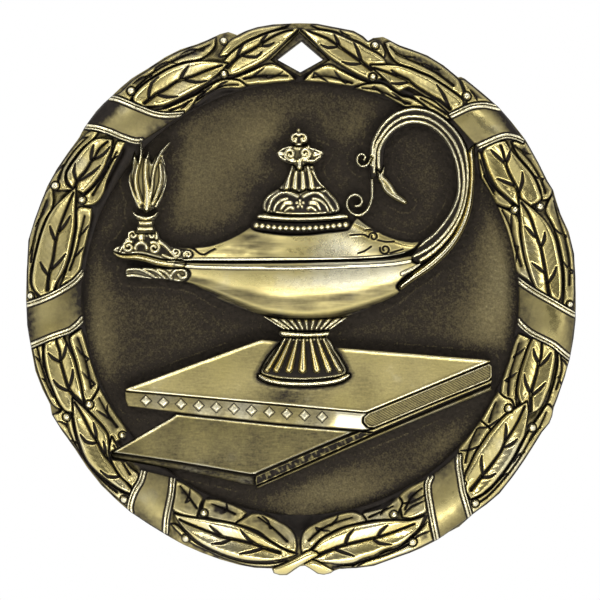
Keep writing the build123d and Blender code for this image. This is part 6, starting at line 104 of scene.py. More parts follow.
 "in_Li6": [[[(-19.674,-9.441),(-19.511,-9.366),(-19.347,-9.366),(-19.292,-9.389),(-19.21,-9.269),(-18.848,-8.679),(-18.674,-8.361),(-18.571,-8.065),(-18.578,-7.815),(-19.217,-6.037),(-19.348,-5.6),(-19.585,-4.747),(-19.908,-3.641),(-20.138,-2.719),(-20.971,-3.258),(-21.244,-3.548),(-21.283,-3.873),(-21.179,-4.217),(-21.06,-4.562),(-20.961,-4.897),(-20.737,-5.576),(-20.642,-5.934),(-20.184,-7.88),(-20.039,-8.713),(-19.954,-9.078),(-19.842,-9.355),(-19.747,-9.527)]]],
 "in_Li7": [[[(-21.408,1.47),(-21.065,1.702),(-20.934,1.812),(-20.746,2.002),(-20.228,2.636),(-20.113,3.057),(-20,4.009),(-19.898,4.45),(-19.677,5.3),(-19.485,6.115),(-19.329,6.856),(-19.217,7.512),(-19.124,8.341),(-20.142,8.464),(-20.507,8.341),(-20.628,7.901),(-20.606,7.276),(-20.599,6.682),(-20.662,6.204),(-20.741,5.757),(-21.031,4.313),(-21.152,3.825),(-21.292,3.357),(-21.613,2.442),(-21.79,1.982),(-22.142,1.118),(-22.111,1.09)]]],
 "in_Li8": [[[(-19.186,8.563),(-18.848,8.71),(-18.565,8.955),(-18.312,9.283),(-18.111,9.631),(-17.991,9.986),(-17.923,10.362),(-17.834,10.737),(-17.694,11.113),(-17.534,11.488),(-17.22,12.168),(-16.912,12.765),(-16.014,14.382),(-16.366,14.502),(-16.578,14.547),(-16.82,14.516),(-16.979,14.342),(-17.087,14.076),(-17.293,13.465),(-17.392,13.12),(-17.512,12.765),(-17.658,12.403),(-17.826,12.031),(-18.018,11.659),(-18.244,11.28),(-18.495,10.901),(-18.756,10.553),(-19.029,10.246),(-19.312,9.969),(-19.585,9.724),(-19.946,9.441),(-19.844,9.388),(-19.742,9.26),(-19.699,9.086),(-19.735,8.911),(-19.844,8.768),(-20.043,8.669),(-19.862,8.525),(-19.555,8.498)]]],
 "in_Li9": [[[(-10.511,17.139),(-10.338,17.297),(-10.184,17.465),(-10.048,17.643),(-9.816,18.018),(-9.447,18.571),(-8.867,19.029),(-8.845,19.061),(-8.873,19.095),(-9.123,18.993),(-10.184,18.479),(-10.932,18.133),(-12.034,17.646),(-12.396,17.512),(-12.796,17.426),(-13.185,17.366),(-13.33,17.311),(-13.327,17.267),(-13.072,17.212),(-12.798,17.169),(-12.515,17.143),(-12.212,17.132),(-11.878,17.143),(-10.761,17.25),(-10.735,17.243),(-10.723,17.219),(-10.704,17.024)]]],
 "in_Li10": [[[(-9.631,17.926),(-8.894,18.479),(-8.344,18.868),(-8.065,19.032),(-7.791,19.153),(-7.518,19.243),(-7.235,19.309),(-6.928,19.349),(-6.313,19.373),(-5.808,19.342),(-5.576,19.346),(-5.354,19.394),(-4.931,19.539),(-5.286,19.867),(-5.484,20),(-5.703,20.092),(-5.943,20.154),(-6.221,20.184),(-6.563,20.191),(-6.945,20.167),(-7.327,20.092),(-7.696,19.947),(-8.065,19.751),(-8.812,19.321),(-9.321,18.997),(-9.293,18.949),(-9.136,19.025),(-8.87,19.13),(-8.846,19.117),(-8.811,19.067),(-8.816,19.041),(-8.845,19.001),(-9.421,18.547),(-9.9,17.815),(-9.867,17.781)]]],
 "in_Li11": [[[(-4.559,19.636),(-4.258,19.688),(-3.917,19.724),(-3.418,19.704),(-2.611,19.829),(-2.091,19.89),(-1.569,19.938),(-1.153,19.966),(-0.876,20.046),(-0.71,20.071),(-0.456,20.089),(-0.442,20.124),(-0.708,20.43),(-0.876,20.599),(-1.07,20.77),(-1.285,20.94),(-1.787,21.28),(-2.074,21.449),(-2.35,21.567),(-2.603,21.611),(-2.845,21.604),(-3.088,21.567),(-3.33,21.5),(-3.572,21.403),(-4.091,21.161),(-4.654,20.876),(-4.962,20.746),(-6.218,20.266),(-6.213,20.219),(-5.939,20.188),(-5.694,20.126),(-5.47,20.032),(-5.266,19.896),(-5.048,19.695),(-4.839,19.631)]]],
 "out_Lo1": [[[(-2.147,-24.628),(-1.72,-24.438),(-1.181,-24.169),(-1.198,-24.119),(-1.726,-24.231),(-2.35,-24.332),(-2.961,-24.373),(-3.603,-24.388),(-4.194,-24.378),(-4.675,-24.347),(-5.105,-24.291),(-5.576,-24.194),(-6.129,-24.048),(-6.723,-23.862),(-7.327,-23.641),(-7.962,-23.373),(-8.607,-23.069),(-9.171,-22.765),(-9.594,-22.48),(-9.941,-22.192),(-10.137,-22.015),(-10.175,-22.037),(-10.169,-22.082),(-10.21,-22.248),(-10.308,-22.371),(-10,-22.581),(-9.56,-22.813),(-8.618,-23.226),(-7.716,-23.663),(-7.235,-23.871),(-6.692,-24.072),(-6.119,-24.264),(-5.576,-24.424),(-5.095,-24.545),(-4.644,-24.636),(-4.194,-24.7),(-3.733,-24.733),(-2.811,-24.747)]], [[(-10.787,-21.768),(-10.646,-21.701),(-10.519,-21.697),(-10.503,-21.66),(-10.976,-21.157),(-11.29,-20.876),(-11.538,-20.765),(-11.967,-20.7),(-11.987,-20.737),(-11.427,-21.377),(-11.106,-21.705),(-10.893,-21.897)]]],
 "out_Lo2": [[[(-16.002,-19.127),(-15.933,-18.793),(-15.97,-18.77),(-16.143,-18.856),(-16.305,-18.856),(-16.319,-18.895),(-16.034,-19.139)]], [[(-16.576,-18.619),(-16.606,-18.471),(-16.564,-18.305),(-16.467,-18.184),(-16.314,-18.106),(-16.143,-18.103),(-15.988,-18.174),(-15.878,-18.305),(-15.859,-18.375),(-15.813,-18.376),(-15.751,-18.183),(-15.882,-18.07),(-16.254,-17.916),(-16.636,-17.742),(-17.356,-17.281),(-17.742,-17.005),(-18.174,-16.679),(-18.626,-16.317),(-19.032,-15.945),(-19.365,-15.576),(-19.652,-15.197),(-19.908,-14.793),(-20.138,-14.342),(-20.338,-13.866),(-20.507,-13.41),(-20.638,-13.004),(-20.739,-12.618),(-20.829,-12.212),(-20.915,-11.761),(-21.105,-10.524),(-21.323,-10.508),(-21.336,-10.556),(-21.257,-10.598),(-21.159,-10.72),(-21.118,-10.886),(-21.153,-11.054),(-21.257,-11.19),(-21.409,-11.267),(-21.58,-11.27),(-21.736,-11.199),(-21.845,-11.068),(-21.887,-10.902),(-21.852,-10.734),(-21.748,-10.598),(-21.595,-10.521),(-21.464,-10.518),(-21.455,-10.469),(-21.637,-10.395),(-21.865,-10.186),(-22.166,-10.461),(-22.368,-10.55),(-22.569,-10.587),(-22.719,-10.645),(-22.807,-10.752),(-22.828,-10.826),(-22.275,-11.713),(-21.797,-12.304),(-21.027,-13.332),(-20.636,-13.871),(-19.884,-14.976),(-19.493,-15.53),(-19.07,-16.091),(-18.632,-16.648),(-18.203,-17.152),(-17.803,-17.566),(-17.414,-17.928),(-16.613,-18.641)]]],
 "out_Lo3": [[[(-22.002,-10.149),(-22.289,-9.652),(-22.442,-9.355),(-22.596,-9.007),(-22.903,-8.249),(-23.217,-7.539),(-23.364,-7.143),(-23.507,-6.668),(-23.641,-6.153),(-23.733,-5.668),(-23.743,-5.248),(-23.712,-4.859),(-23.733,-4.47),(-23.806,-4.225),(-24.715,-4.607),(-24.451,-5.921),(-24.286,-6.59),(-24.089,-7.174),(-23.868,-7.727),(-23.407,-8.764),(-23.168,-9.249),(-22.949,-9.631),(-22.787,-9.832),(-22.612,-9.983),(-22.442,-10.092),(-22.285,-10.15),(-22.022,-10.18)]]],
 "out_Lo4": [[[(-24.107,0.09),(-24.508,0.643),(-24.7,0.968),(-24.813,1.244),(-24.869,1.499),(-24.885,1.797),(-24.856,2.217),(-24.786,2.698),(-24.7,3.18),(-24.607,3.637),(-24.497,4.095),(-24.115,5.549),(-23.963,6.037),(-23.792,6.515),(-23.606,6.982),(-23.41,7.419),(-23.175,7.779),(-22.931,8.107),(-22.765,8.525),(-22.729,9.133),(-22.781,10.032),(-22.829,10.059),(-22.931,10.187),(-22.969,10.339),(-23.004,10.348),(-23.255,10.082),(-23.456,9.816),(-23.62,9.515),(-23.764,9.183),(-24.095,8.355),(-24.282,7.856),(-24.8,6.408),(-24.905,6.065),(-25.023,5.576),(-25.096,4.869),(-25.174,1.866),(-25.161,1.244),(-25.132,0.845),(-25.07,0.497),(-24.924,0.567),(-24.769,0.571),(-24.628,0.507),(-24.529,0.388),(-24.491,0.238),(-24.529,0.055),(-24.333,0.017)]]],
 "out_Lo5": [[[(-21.347,9.925),(-21.04,9.974),(-20.948,10.054),(-21.343,10.348),(-21.521,10.553),(-21.62,10.812),(-21.662,11.103),(-21.659,11.382),(-21.611,11.629),(-21.517,11.864),(-21.382,12.12),(-21.2,12.413),(-20.976,12.727),(-20.495,13.354),(-20.237,13.666),(-19.954,13.963),(-19.613,14.238),(-19.26,14.487),(-18.94,14.747),(-18.75,14.979),(-18.541,15.334),(-18.9,15.427),(-19.21,15.479),(-19.401,15.438),(-19.732,15.211),(-20.073,14.881),(-20.415,14.516),(-20.753,14.134),(-21.091,13.716),(-21.429,13.272),(-21.778,12.789),(-22.128,12.28),(-22.741,11.34),(-23.004,10.908),(-23.134,10.553),(-23.086,10.358),(-23.052,10.349),(-23.021,10.379),(-22.972,10.385),(-22.931,10.55),(-22.816,10.688),(-22.653,10.763),(-22.489,10.763),(-22.326,10.688),(-22.212,10.55),(-22.169,10.376),(-22.205,10.201),(-22.314,10.059),(-22.435,9.997),(-22.43,9.955),(-22.316,9.928),(-21.949,9.908),(-21.613,9.908)]]],
 "out_Lo6": [[[(-15.401,18.704),(-15.431,18.733),(-15.503,18.702),(-15.682,18.706),(-15.83,18.777),(-15.945,18.915),(-15.988,19.089),(-15.952,19.265),(-15.842,19.407),(-15.682,19.488),(-15.503,19.491),(-15.34,19.417),(-15.226,19.279),(-15.191,19.141),(-15.155,19.132),(-14.912,19.415),(-14.632,19.669),(-14.332,19.908),(-14.011,20.133),(-12.605,20.993),(-12.212,21.198),(-11.777,21.387),(-11.311,21.56),(-10.829,21.705),(-10.309,21.795),(-9.773,21.856),(-9.309,21.954),(-8.958,22.117),(-8.678,22.317),(-8.433,22.535),(-8.208,22.765),(-8.018,23.013),(-7.88,23.272),(-7.815,23.542),(-7.79,24.067),(-7.819,24.086),(-8.259,23.859),(-8.827,23.601),(-9.539,23.318),(-10.512,22.997),(-11.014,22.811),(-11.468,22.611),(-11.912,22.391),(-12.396,22.12),(-12.97,21.758),(-14.147,20.968),(-15.038,20.423),(-15.438,20.138),(-15.83,19.766),(-16.202,19.363),(-16.544,19.032),(-16.88,18.834),(-17.068,18.751),(-17.064,18.708),(-16.741,18.621),(-16.471,18.52),(-15.646,18.169)]]],
 "out_Lo7": [[[(-6.682,22.35),(-6.129,22.855),(-5.853,23.088),(-5.579,23.29),(-5.306,23.471),(-5.023,23.641),(-4.723,23.798),(-3.494,24.348),(-3.18,24.47),(-2.166,24.793),(-1.115,25.196),(-1.126,25.246),(-2.019,25.202),(-2.535,25.161),(-3.053,25.098),(-3.562,25.02),(-4.009,24.931),(-4.356,24.836),(-4.654,24.727),(-4.931,24.608),(-5.19,24.475),(-5.668,24.194),(-6.167,23.973),(-6.406,23.825),(-6.634,23.61),(-6.853,23.354),(-7.266,22.784),(-7.46,22.47),(-7.512,22.258),(-7.331,22.221)]]],
 "in_Ri1": [[[(0.548,-23.233),(0.778,-23.158),(0.876,-23.088),(1.162,-22.806),(1.47,-22.473),(1.797,-22.166),(2.149,-21.912),(2.521,-21.683),(2.903,-21.475),(3.298,-21.283),(3.703,-21.113),(4.101,-20.968),(4.496,-20.857),(5.869,-20.56),(6.037,-20.461),(6.001,-20.3),(5.668,-19.908),(5.153,-19.732),(4.885,-19.677),(4.606,-19.671),(4.316,-19.699),(4.009,-19.751),(3.672,-19.832),(3.317,-19.938),(2.659,-20.152),(2.356,-20.26),(1.824,-20.471),(1.594,-20.573),(1.079,-20.831),(0.795,-20.987),(0.553,-21.152),(0.376,-21.313),(0.242,-21.483),(0.138,-21.705),(0.061,-22.016),(0.015,-22.378),(0,-22.719),(0.026,-23.009),(0.122,-23.468)]]],
 "in_Ri2": [[[(6.774,-20.396),(7.853,-20.341),(8.338,-20.345),(8.478,-20.294),(8.48,-20.254),(8.344,-20.185),(8.247,-20.063),(8.206,-19.897),(8.24,-19.73),(8.344,-19.594),(8.497,-19.516),(8.668,-19.513),(8.823,-19.584),(8.945,-19.731),(9.215,-19.237),(9.321,-18.986),(9.355,-18.756),(9.28,-18.558),(8.986,-18.203),(8.544,-18.653),(8.183,-18.995),(8.039,-19.115),(7.853,-19.217),(7.51,-19.328),(6.682,-19.539),(5.847,-19.73),(5.651,-19.826),(5.653,-19.866),(5.695,-19.885),(6.027,-20.278),(6.075,-20.47)]]],
 "in_Ri3": [[[(10.184,-20.23),(10.556,-20.145),(10.959,-20.009),(11.29,-19.862),(11.501,-19.745),(11.661,-19.607),(11.697,-19.525),(11.492,-18.323),(11.451,-18.012),(11.401,-17.522),(11.395,-17.291),(11.415,-17.059),(11.471,-16.835),(11.534,-16.682),(11.505,-16.653),(11.068,-16.848),(10.418,-17.163),(10.109,-17.327),(9.816,-17.512),(9.51,-17.723),(9.22,-17.955),(9.032,-18.203),(9.307,-18.535),(9.388,-18.743),(9.355,-18.991),(9.216,-19.307),(9.355,-20.138),(9.887,-20.234)]]],
 "in_Ri4": [[[(15.083,-16.236),(15.215,-15.905),(15.567,-15.247),(15.701,-14.897),(15.892,-14.473),(16.083,-14.101),(16.267,-13.808),(16.636,-13.318),(17.189,-12.488),(17.295,-12.373),(17.463,-12.163),(17.465,-12.028),(17.247,-11.778),(16.56,-11.212),(16.18,-11.756),(15.867,-12.175),(15.115,-13.134),(14.658,-13.625),(14.516,-13.871),(14.508,-14.128),(14.55,-14.278),(14.802,-14.281),(14.827,-14.291),(14.837,-14.316),(14.827,-15.115),(14.836,-15.356),(14.858,-15.572),(14.994,-16.393),(15.043,-16.396)]]],
 "in_Ri5": [[[(17.723,-11.844),(18.362,-11.113),(18.611,-10.869),(18.873,-10.651),(19.06,-10.513),(18.907,-10.44),(18.793,-10.302),(18.749,-10.128),(18.786,-9.952),(18.895,-9.81),(19.055,-9.729),(19.234,-9.725),(19.397,-9.8),(19.512,-9.938),(19.549,-10.085),(19.599,-10.082),(19.623,-9.901),(19.537,-9.597),(19.401,-9.355),(19.217,-9.232),(18.981,-9.171),(18.756,-9.078),(18.565,-8.914),(18.203,-8.525),(17.8,-9.117),(17.576,-9.543),(17.321,-10),(17.053,-10.45),(16.58,-11.183),(17.269,-11.751),(17.492,-12.005),(17.515,-12.067)]]],
 "in_Ri6": [[[(19.806,-9.121),(19.797,-8.71),(19.815,-8.35),(19.852,-8.019),(19.908,-7.677),(19.986,-7.304),(20.184,-6.553),(20.287,-6.215),(20.79,-4.743),(20.935,-4.365),(21.076,-4.044),(21.222,-3.762),(20.961,-3.565),(20.046,-3.18),(19.722,-4.003),(19.567,-4.433),(19.152,-5.853),(18.759,-6.931),(18.544,-7.602),(18.461,-7.972),(18.421,-8.303),(18.421,-8.609),(18.447,-8.736),(18.589,-8.889),(18.774,-9.048),(18.992,-9.137),(19.225,-9.198),(19.42,-9.326),(19.568,-9.58),(19.659,-9.923),(19.862,-10)]]],
 "in_Ri7": [[[(21.397,1.268),(21.253,1.595),(21.084,2.069),(20.804,2.938),(20.691,3.336),(20.51,4.097),(20.294,5.255),(20.184,6.037),(20.143,6.955),(20.092,7.327),(19.997,7.52),(19.855,7.657),(19.712,7.762),(19.608,7.766),(19.448,7.847),(19.346,7.975),(19.336,8.001),(18.94,8.203),(18.12,8.553),(18.092,8.524),(18.271,8.135),(18.478,7.654),(18.672,7.167),(18.853,6.676),(19.021,6.18),(19.176,5.68),(19.319,5.176),(19.447,4.669),(19.563,4.158),(19.665,3.645),(19.754,3.129),(19.826,2.633),(19.892,2.47),(20.046,2.258),(20.316,2.044),(20.652,1.833),(20.968,1.613),(21.227,1.374),(21.355,1.24)]]],
 "in_Ri8": [[[(19.346,8.338),(19.448,8.467),(19.571,8.53),(19.401,8.756),(19.182,8.962),(18.664,9.401),(18.158,9.85),(17.926,10.092),(17.721,10.355),(17.537,10.633),(17.373,10.922),(17.233,11.222),(17.114,11.533),(16.902,12.161),(16.728,12.765),(16.609,13.239),(16.544,13.41),(16.464,13.496),(16.301,13.578),(16.272,13.557),(16.353,12.878),(16.545,11.557),(16.639,11.094),(17.053,10.45),(17.321,10),(17.576,9.543),(17.988,8.74),(18.305,8.577),(18.664,8.433),(19.025,8.332),(19.329,8.28)]]],
 "in_Ri9": [[[(13.85,16.491),(13.865,16.526),(13.827,16.568),(13.771,16.552),(13.751,16.569),(13.56,16.948),(13.558,16.974),(13.575,16.995),(13.652,17.033),(13.432,17.195),(12.927,17.623),(12.525,17.996),(12.26,18.155),(11.843,18.387),(11.208,18.629),(10.922,18.71),(10.624,18.75),(10.353,18.75),(10.276,18.664),(10.522,18.442),(11.382,17.834),(11.846,17.463),(12.291,17.289),(12.711,17.058),(13.128,16.778),(13.437,16.54),(13.779,16.489)]]],
 "in_Ri10": [[[(11.421,17.617),(11.196,17.869),(11.014,18.018),(10.734,18.184),(10.403,18.35),(10.092,18.479),(9.836,18.536),(9.601,18.556),(9.355,18.618),(9.085,18.756),(8.525,19.124),(7.979,19.558),(7.696,19.724),(7.395,19.799),(7.085,19.817),(6.457,19.804),(6.139,19.771),(5.853,19.724),(5.614,19.654),(5.207,19.493),(4.947,19.424),(4.947,19.377),(5.68,19.176),(6.214,19.01),(6.563,18.966),(6.959,18.894),(7.334,18.795),(7.699,18.676),(8.065,18.525),(8.433,18.322),(8.802,18.088),(9.171,17.88),(9.536,17.706),(9.752,17.618),(9.812,17.633),(10.221,17.684),(10.633,17.684),(11.044,17.643),(11.401,17.58)]]],
 "in_Ri11": [[[(5.395,19.662),(5.89,19.774),(6.086,19.83),(6.129,19.908),(5.924,20.014),(5.207,20.276),(4.897,20.423),(4.286,20.737),(3.456,21.198),(3.019,21.462),(2.811,21.539),(2.603,21.551),(2.395,21.516),(2.166,21.447),(1.896,21.344),(1.606,21.209),(1.336,21.06),(1.101,20.9),(0.886,20.726),(0.691,20.553),(0.524,20.384),(0.254,20.074),(0.267,20.04),(0.588,19.991),(1.047,19.973),(1.569,19.938),(2.091,19.89),(2.611,19.829),(3.518,19.687),(4.023,19.635),(4.747,19.539)]]],
 "out_Ro1": [[[(4.817,-24.827),(5.676,-24.749),(6.195,-24.685),(6.774,-24.562),(7.474,-24.335),(8.894,-23.797),(9.724,-23.504),(10.092,-23.364),(10.43,-23.221),(11.106,-22.903),(12.275,-22.32),(11.878,-20.501),(11.762,-19.91),(11.727,-19.9),(11.652,-19.983),(11.441,-20.483),(11.198,-20.968),(10.922,-21.336),(10.614,-21.69),(10.312,-21.993),(10.327,-22.03),(10.411,-22.033),(10.558,-22.104),(10.673,-22.242),(10.716,-22.416),(10.68,-22.592),(10.571,-22.734),(10.411,-22.815),(10.231,-22.818),(10.068,-22.744),(9.954,-22.606),(9.911,-22.432),(9.911,-22.399),(9.877,-22.383),(9.495,-22.685),(9.078,-22.949),(8.641,-23.122),(8.194,-23.238),(7.788,-23.364),(7.457,-23.535),(7.167,-23.716),(6.866,-23.871),(6.532,-23.975),(6.187,-24.054),(5.853,-24.147),(5.552,-24.287),(5.262,-24.443),(4.931,-24.562),(4.514,-24.617),(3.641,-24.654),(3.022,-24.715),(3.023,-24.77),(3.661,-24.818),(4.101,-24.839),(4.475,-24.84)]]],
 "out_Ro2": [[[(16.172,-19.647),(16.639,-19.299),(17.501,-18.629),(17.896,-18.309),(18.295,-17.926),(18.717,-17.438),(19.143,-16.889),(19.886,-15.883),(20.507,-14.977),(21.364,-13.641),(21.941,-12.705),(22.212,-12.304),(22.461,-12.017),(22.702,-11.781),(22.903,-11.567),(22.975,-11.472),(23.233,-10.819),(23.293,-10.407),(23.272,-10.276),(23.132,-10.027),(22.925,-9.799),(22.719,-9.724),(22.535,-9.898),(22.166,-10.553),(21.466,-11.514),(21.575,-11.57),(21.677,-11.698),(21.721,-11.872),(21.684,-12.048),(21.575,-12.19),(21.415,-12.271),(21.236,-12.275),(21.073,-12.2),(21.032,-12.154),(20.829,-12.488),(20.669,-12.789),(20.01,-14.147),(19.816,-14.516),(19.607,-14.866),(19.389,-15.206),(18.957,-15.834),(18.744,-16.122),(18.297,-16.694),(18.063,-16.977),(17.629,-17.452),(17.43,-17.643),(17.189,-17.834),(16.871,-18.051),(16.513,-18.268),(16.186,-18.428),(16.186,-18.466),(16.319,-18.534),(16.423,-18.67),(16.458,-18.837),(16.417,-19.003),(16.319,-19.125),(16.167,-19.202),(15.996,-19.206),(15.84,-19.135),(15.731,-19.003),(15.689,-18.837),(15.724,-18.67),(15.844,-18.521),(15.831,-18.481),(15.709,-18.479),(15.636,-18.511),(15.613,-18.513),(15.581,-18.478),(15.547,-18.478),(15.451,-18.522),(15.849,-19.837)]]],
 "out_Ro3": [[[(23.226,-10),(23.402,-9.744),(23.903,-8.454),(24.492,-6.806),(24.756,-5.795),(24.725,-5.77),(24.712,-5.778),(24.686,-5.77),(23.945,-5.187),(23.705,-4.983),(23.67,-5.001),(23.685,-5.371),(23.687,-5.853),(23.658,-6.222),(23.608,-6.544),(23.482,-7.208),(23.405,-7.549),(23.318,-7.88),(23.219,-8.194),(22.876,-9.109),(22.644,-9.681),(22.678,-9.709),(22.704,-9.692),(22.731,-9.691),(22.951,-9.775),(23.158,-10.004)]]],
 "out_Ro4": [[[(24.502,-0.707),(24.464,-0.545),(24.493,-0.417),(24.581,-0.301),(24.712,-0.234),(24.858,-0.23),(24.992,-0.291),(25.086,-0.403),(25.102,-0.438),(25.145,-0.433),(25.207,-0.138),(25.247,0.488),(25.249,1.263),(25.22,2.727),(25.189,3.417),(25.115,4.101),(24.983,4.796),(24.809,5.486),(24.608,6.129),(24.368,6.711),(24.101,7.247),(23.871,7.742),(23.702,8.204),(23.456,8.986),(23.241,9.631),(23.202,9.635),(22.707,8.735),(22.535,8.341),(22.506,8.111),(22.549,7.903),(22.627,7.696),(22.741,7.494),(22.892,7.292),(23.041,7.051),(23.197,6.72),(23.357,6.337),(23.502,5.945),(23.622,5.559),(23.726,5.163),(23.926,4.296),(24.021,3.825),(24.101,3.364),(24.163,2.927),(24.209,2.5),(24.24,2.074),(24.255,1.647),(24.255,1.22),(24.24,0.783),(24.204,0.329),(24.109,-0.528),(24.47,-0.737)]]],
 "out_Ro5": [[[(22.625,9.077),(22.811,9.171),(22.997,9.384),(23.163,9.669),(23.226,9.954),(23.127,10.2),(22.925,10.446),(22.719,10.737),(21.889,12.442),(21.222,13.707),(20.922,14.194),(20.747,14.397),(20.639,14.474),(20.547,14.261),(20.528,14.243),(20.501,14.243),(19.954,14.479),(19.805,14.53),(19.401,14.424),(19.756,13.601),(19.954,13.226),(20.189,12.907),(20.691,12.35),(21.142,11.821),(21.336,11.567),(21.495,11.321),(21.628,11.08),(21.872,10.565),(21.983,10.29),(22.074,10),(22.133,9.688),(22.148,9.565),(22.213,9.396),(22.201,9.124),(22.212,9.032)]]],
 "out_Ro6": [[[(14.912,18.494),(14.888,18.616),(14.924,18.776),(15.021,18.904),(14.827,19.517),(14.7,19.862),(14.613,20.038),(14.513,20.18),(14.378,20.323),(14.026,20.646),(13.567,21.039),(13.088,21.41),(12.603,21.737),(12.098,22.042),(11.613,22.304),(11.166,22.506),(10.323,22.811),(9.49,23.082),(9.124,23.217),(8.826,23.385),(8.573,23.558),(8.341,23.668),(8.128,23.671),(7.742,23.548),(8.022,22.838),(8.157,22.535),(8.271,22.322),(8.388,22.146),(8.525,21.982),(8.68,21.82),(8.855,21.671),(9.078,21.539),(9.41,21.42),(10.147,21.207),(10.398,21.105),(10.857,20.894),(11.536,20.636),(11.843,20.507),(12.042,20.397),(12.396,20.157),(13.318,19.585),(13.572,19.408),(14.486,18.72),(14.7,18.571),(14.881,18.47)]]],
 "out_Ro7": [[[(15.472,17.876),(15.694,17.947),(15.878,17.989),(16.292,18.051),(16.753,18.081),(16.964,18.081),(17.144,18.069),(17.301,18.046),(17.713,17.96),(17.734,18.002),(16.682,18.876),(15.595,19.808),(15.161,20.138),(14.991,20.196),(14.654,20.184),(14.81,19.924),(14.885,19.77),(15.153,19.109),(15.183,19.003),(15.372,19.003),(15.535,18.928),(15.65,18.79),(15.693,18.616),(15.657,18.441),(15.548,18.298),(15.388,18.217),(15.271,18.214),(15.253,17.834)]]],
 "out_Ro8": [[[(7.707,22.12),(7.798,22.49),(7.788,22.719),(7.679,23.002),(7.508,23.306),(7.327,23.548),(7.151,23.698),(6.962,23.787),(6.774,23.825),(6.586,23.777),(6.399,23.678),(6.221,23.641),(6.07,23.721),(5.93,23.862),(5.76,24.009),(5.51,24.191),(5.208,24.393),(4.839,24.562),(4.248,24.707),(2.903,24.949),(1.906,25.173),(1.521,25.244),(1.288,25.256),(0.965,25.232),(0.957,25.187),(1.476,24.94),(1.797,24.82),(2.159,24.746),(2.541,24.694),(2.903,24.627),(3.228,24.526),(3.825,24.286),(4.654,23.88),(5.221,23.642),(5.484,23.521),(5.706,23.393),(6.129,23.124),(6.682,22.836),(6.959,22.673),(7.211,22.484),(7.673,22.111)], [(6.623,23),(6.524,23.129),(6.491,23.289),(6.531,23.447),(6.623,23.562),(6.768,23.636),(6.931,23.64),(7.079,23.572),(7.183,23.447),(7.223,23.289),(7.19,23.129),(7.091,23),(6.946,22.926),(6.768,22.926)]]],
 "lamp_flame": [[[(-13.263,8.341),(-12.793,9.263),(-12.415,10.553),(-12.332,11.29),(-12.47,12.212),(-12.71,13.041),(-12.396,13.687),(-12.019,14.389),(-12.031,14.4),(-12.885,13.733),(-13.502,12.949),(-13.733,12.488),(-13.871,12.949),(-13.976,13.493),(-13.991,13.494),(-14.194,12.949),(-14.424,12.995),(-14.571,13.687),(-14.689,14.503),(-14.707,14.503),(-14.793,13.502),(-14.922,12.396),(-15.069,12.765),(-15.275,13.525),(-15.289,13.526),(-15.502,12.949),(-15.576,11.935),(-15.834,11.29),(-15.88,10.553),(-15.576,9.539),(-15.069,8.341),(-14.194,7.926)]]],
 "wick_cup": [[[(-13.41,5.991),(-13.369,6.077),(-13.548,6.682),(-13.574,6.898),(-13.548,7.097),(-13.272,7.419),(-13.162,7.756),(-13.137,7.988),(-13.159,8.002),(-13.269,7.928),(-13.502,7.742),(-13.816,7.621),(-14.194,7.558),(-14.648,7.621),(-15.069,7.742),(-15.3,7.871),(-15.461,7.994),(-15.484,7.979),(-15.43,7.73),(-15.346,7.465),(-15.023,7.097),(-14.99,6.895),(-15.023,6.682),(-15.226,6.221),(-15.236,6.075),(-15.161,5.991),(-14.282,5.962)]]],
 "spout_scrollwork": [[[(-11.751,3.583),(-11.29,3.641),(-10.801,3.649),(-10.369,3.687),(-10.068,3.826),(-9.908,4.009),(-9.972,4.208),(-10.184,4.378),(-10.518,4.43),(-10.922,4.47),(-11.342,4.591),(-11.751,4.747),(-12.097,4.925),(-12.65,5.285),(-12.857,5.484),(-13.134,6.083),(-13.361,6.25),(-13.384,6.234),(-13.34,6.085),(-13.342,6.064),(-13.388,5.97),(-13.409,5.961),(-14.281,5.932),(-15.163,5.961),(-15.184,5.971),(-15.259,6.056),(-15.266,6.077),(-15.256,6.223),(-15.242,6.26),(-15.438,6.313),(-15.694,6.259),(-15.899,6.129),(-15.927,5.904),(-15.945,5.668),(-16.12,5.53),(-16.313,5.392),(-16.397,5.153),(-16.498,4.931),(-16.74,4.858),(-17.005,4.793),(-17.198,4.611),(-17.373,4.396),(-17.005,4.233),(-16.636,4.101),(-16.279,4.057),(-15.899,4.055),(-15.444,4.084),(-14.977,4.101),(-14.568,4.052),(-14.147,3.963),(-13.134,3.687),(-12.667,3.594),(-12.212,3.548)]]],
 "spout_lip": [[[(-10.737,2.811),(-10.539,3.077),(-10.553,3.364),(-10.769,3.434),(-11.106,3.438),(-12.212,3.493),(-12.679,3.553),(-13.134,3.641),(-14.147,3.917),(-14.574,4.01),(-14.977,4.065),(-15.397,4.054),(-16.175,4.013),(-16.544,4.046),(-16.598,4.066),(-16.646,4.073),(-17.015,4.205),(-17.313,4.337),(-17.332,4.316),(-17.258,4.172),(-17.097,3.963),(-16.821,3.79),(-16.452,3.659),(-15.927,3.598),(-15.346,3.548),(-14.781,3.454),(-14.24,3.336),(-13.79,3.187),(-13.318,3.041),(-12.696,2.934),(-12.028,2.857),(-11.313,2.788)]]],
 "spout_leaf": [[[(-10.99,1.541),(-10.737,1.613),(-10.507,1.705),(-10.323,1.843),(-10.187,2.062),(-10.138,2.304),(-10.228,2.526),(-10.415,2.719),(-10.665,2.858),(-10.715,2.791),(-10.736,2.781),(-11.312,2.758),(-11.8,2.805),(-12.063,2.773),(-12.396,2.765),(-13.41,2.876),(-14.035,2.884),(-15.345,2.873),(-15.88,2.848),(-16.031,2.785),(-16.129,2.673),(-16.165,2.521),(-16.175,2.35),(-16.152,2.149),(-16.083,1.982),(-15.888,1.913),(-15.622,1.889),(-15.109,1.858),(-13.41,1.797),(-12.8,1.76),(-12.212,1.705),(-11.29,1.521)]]],
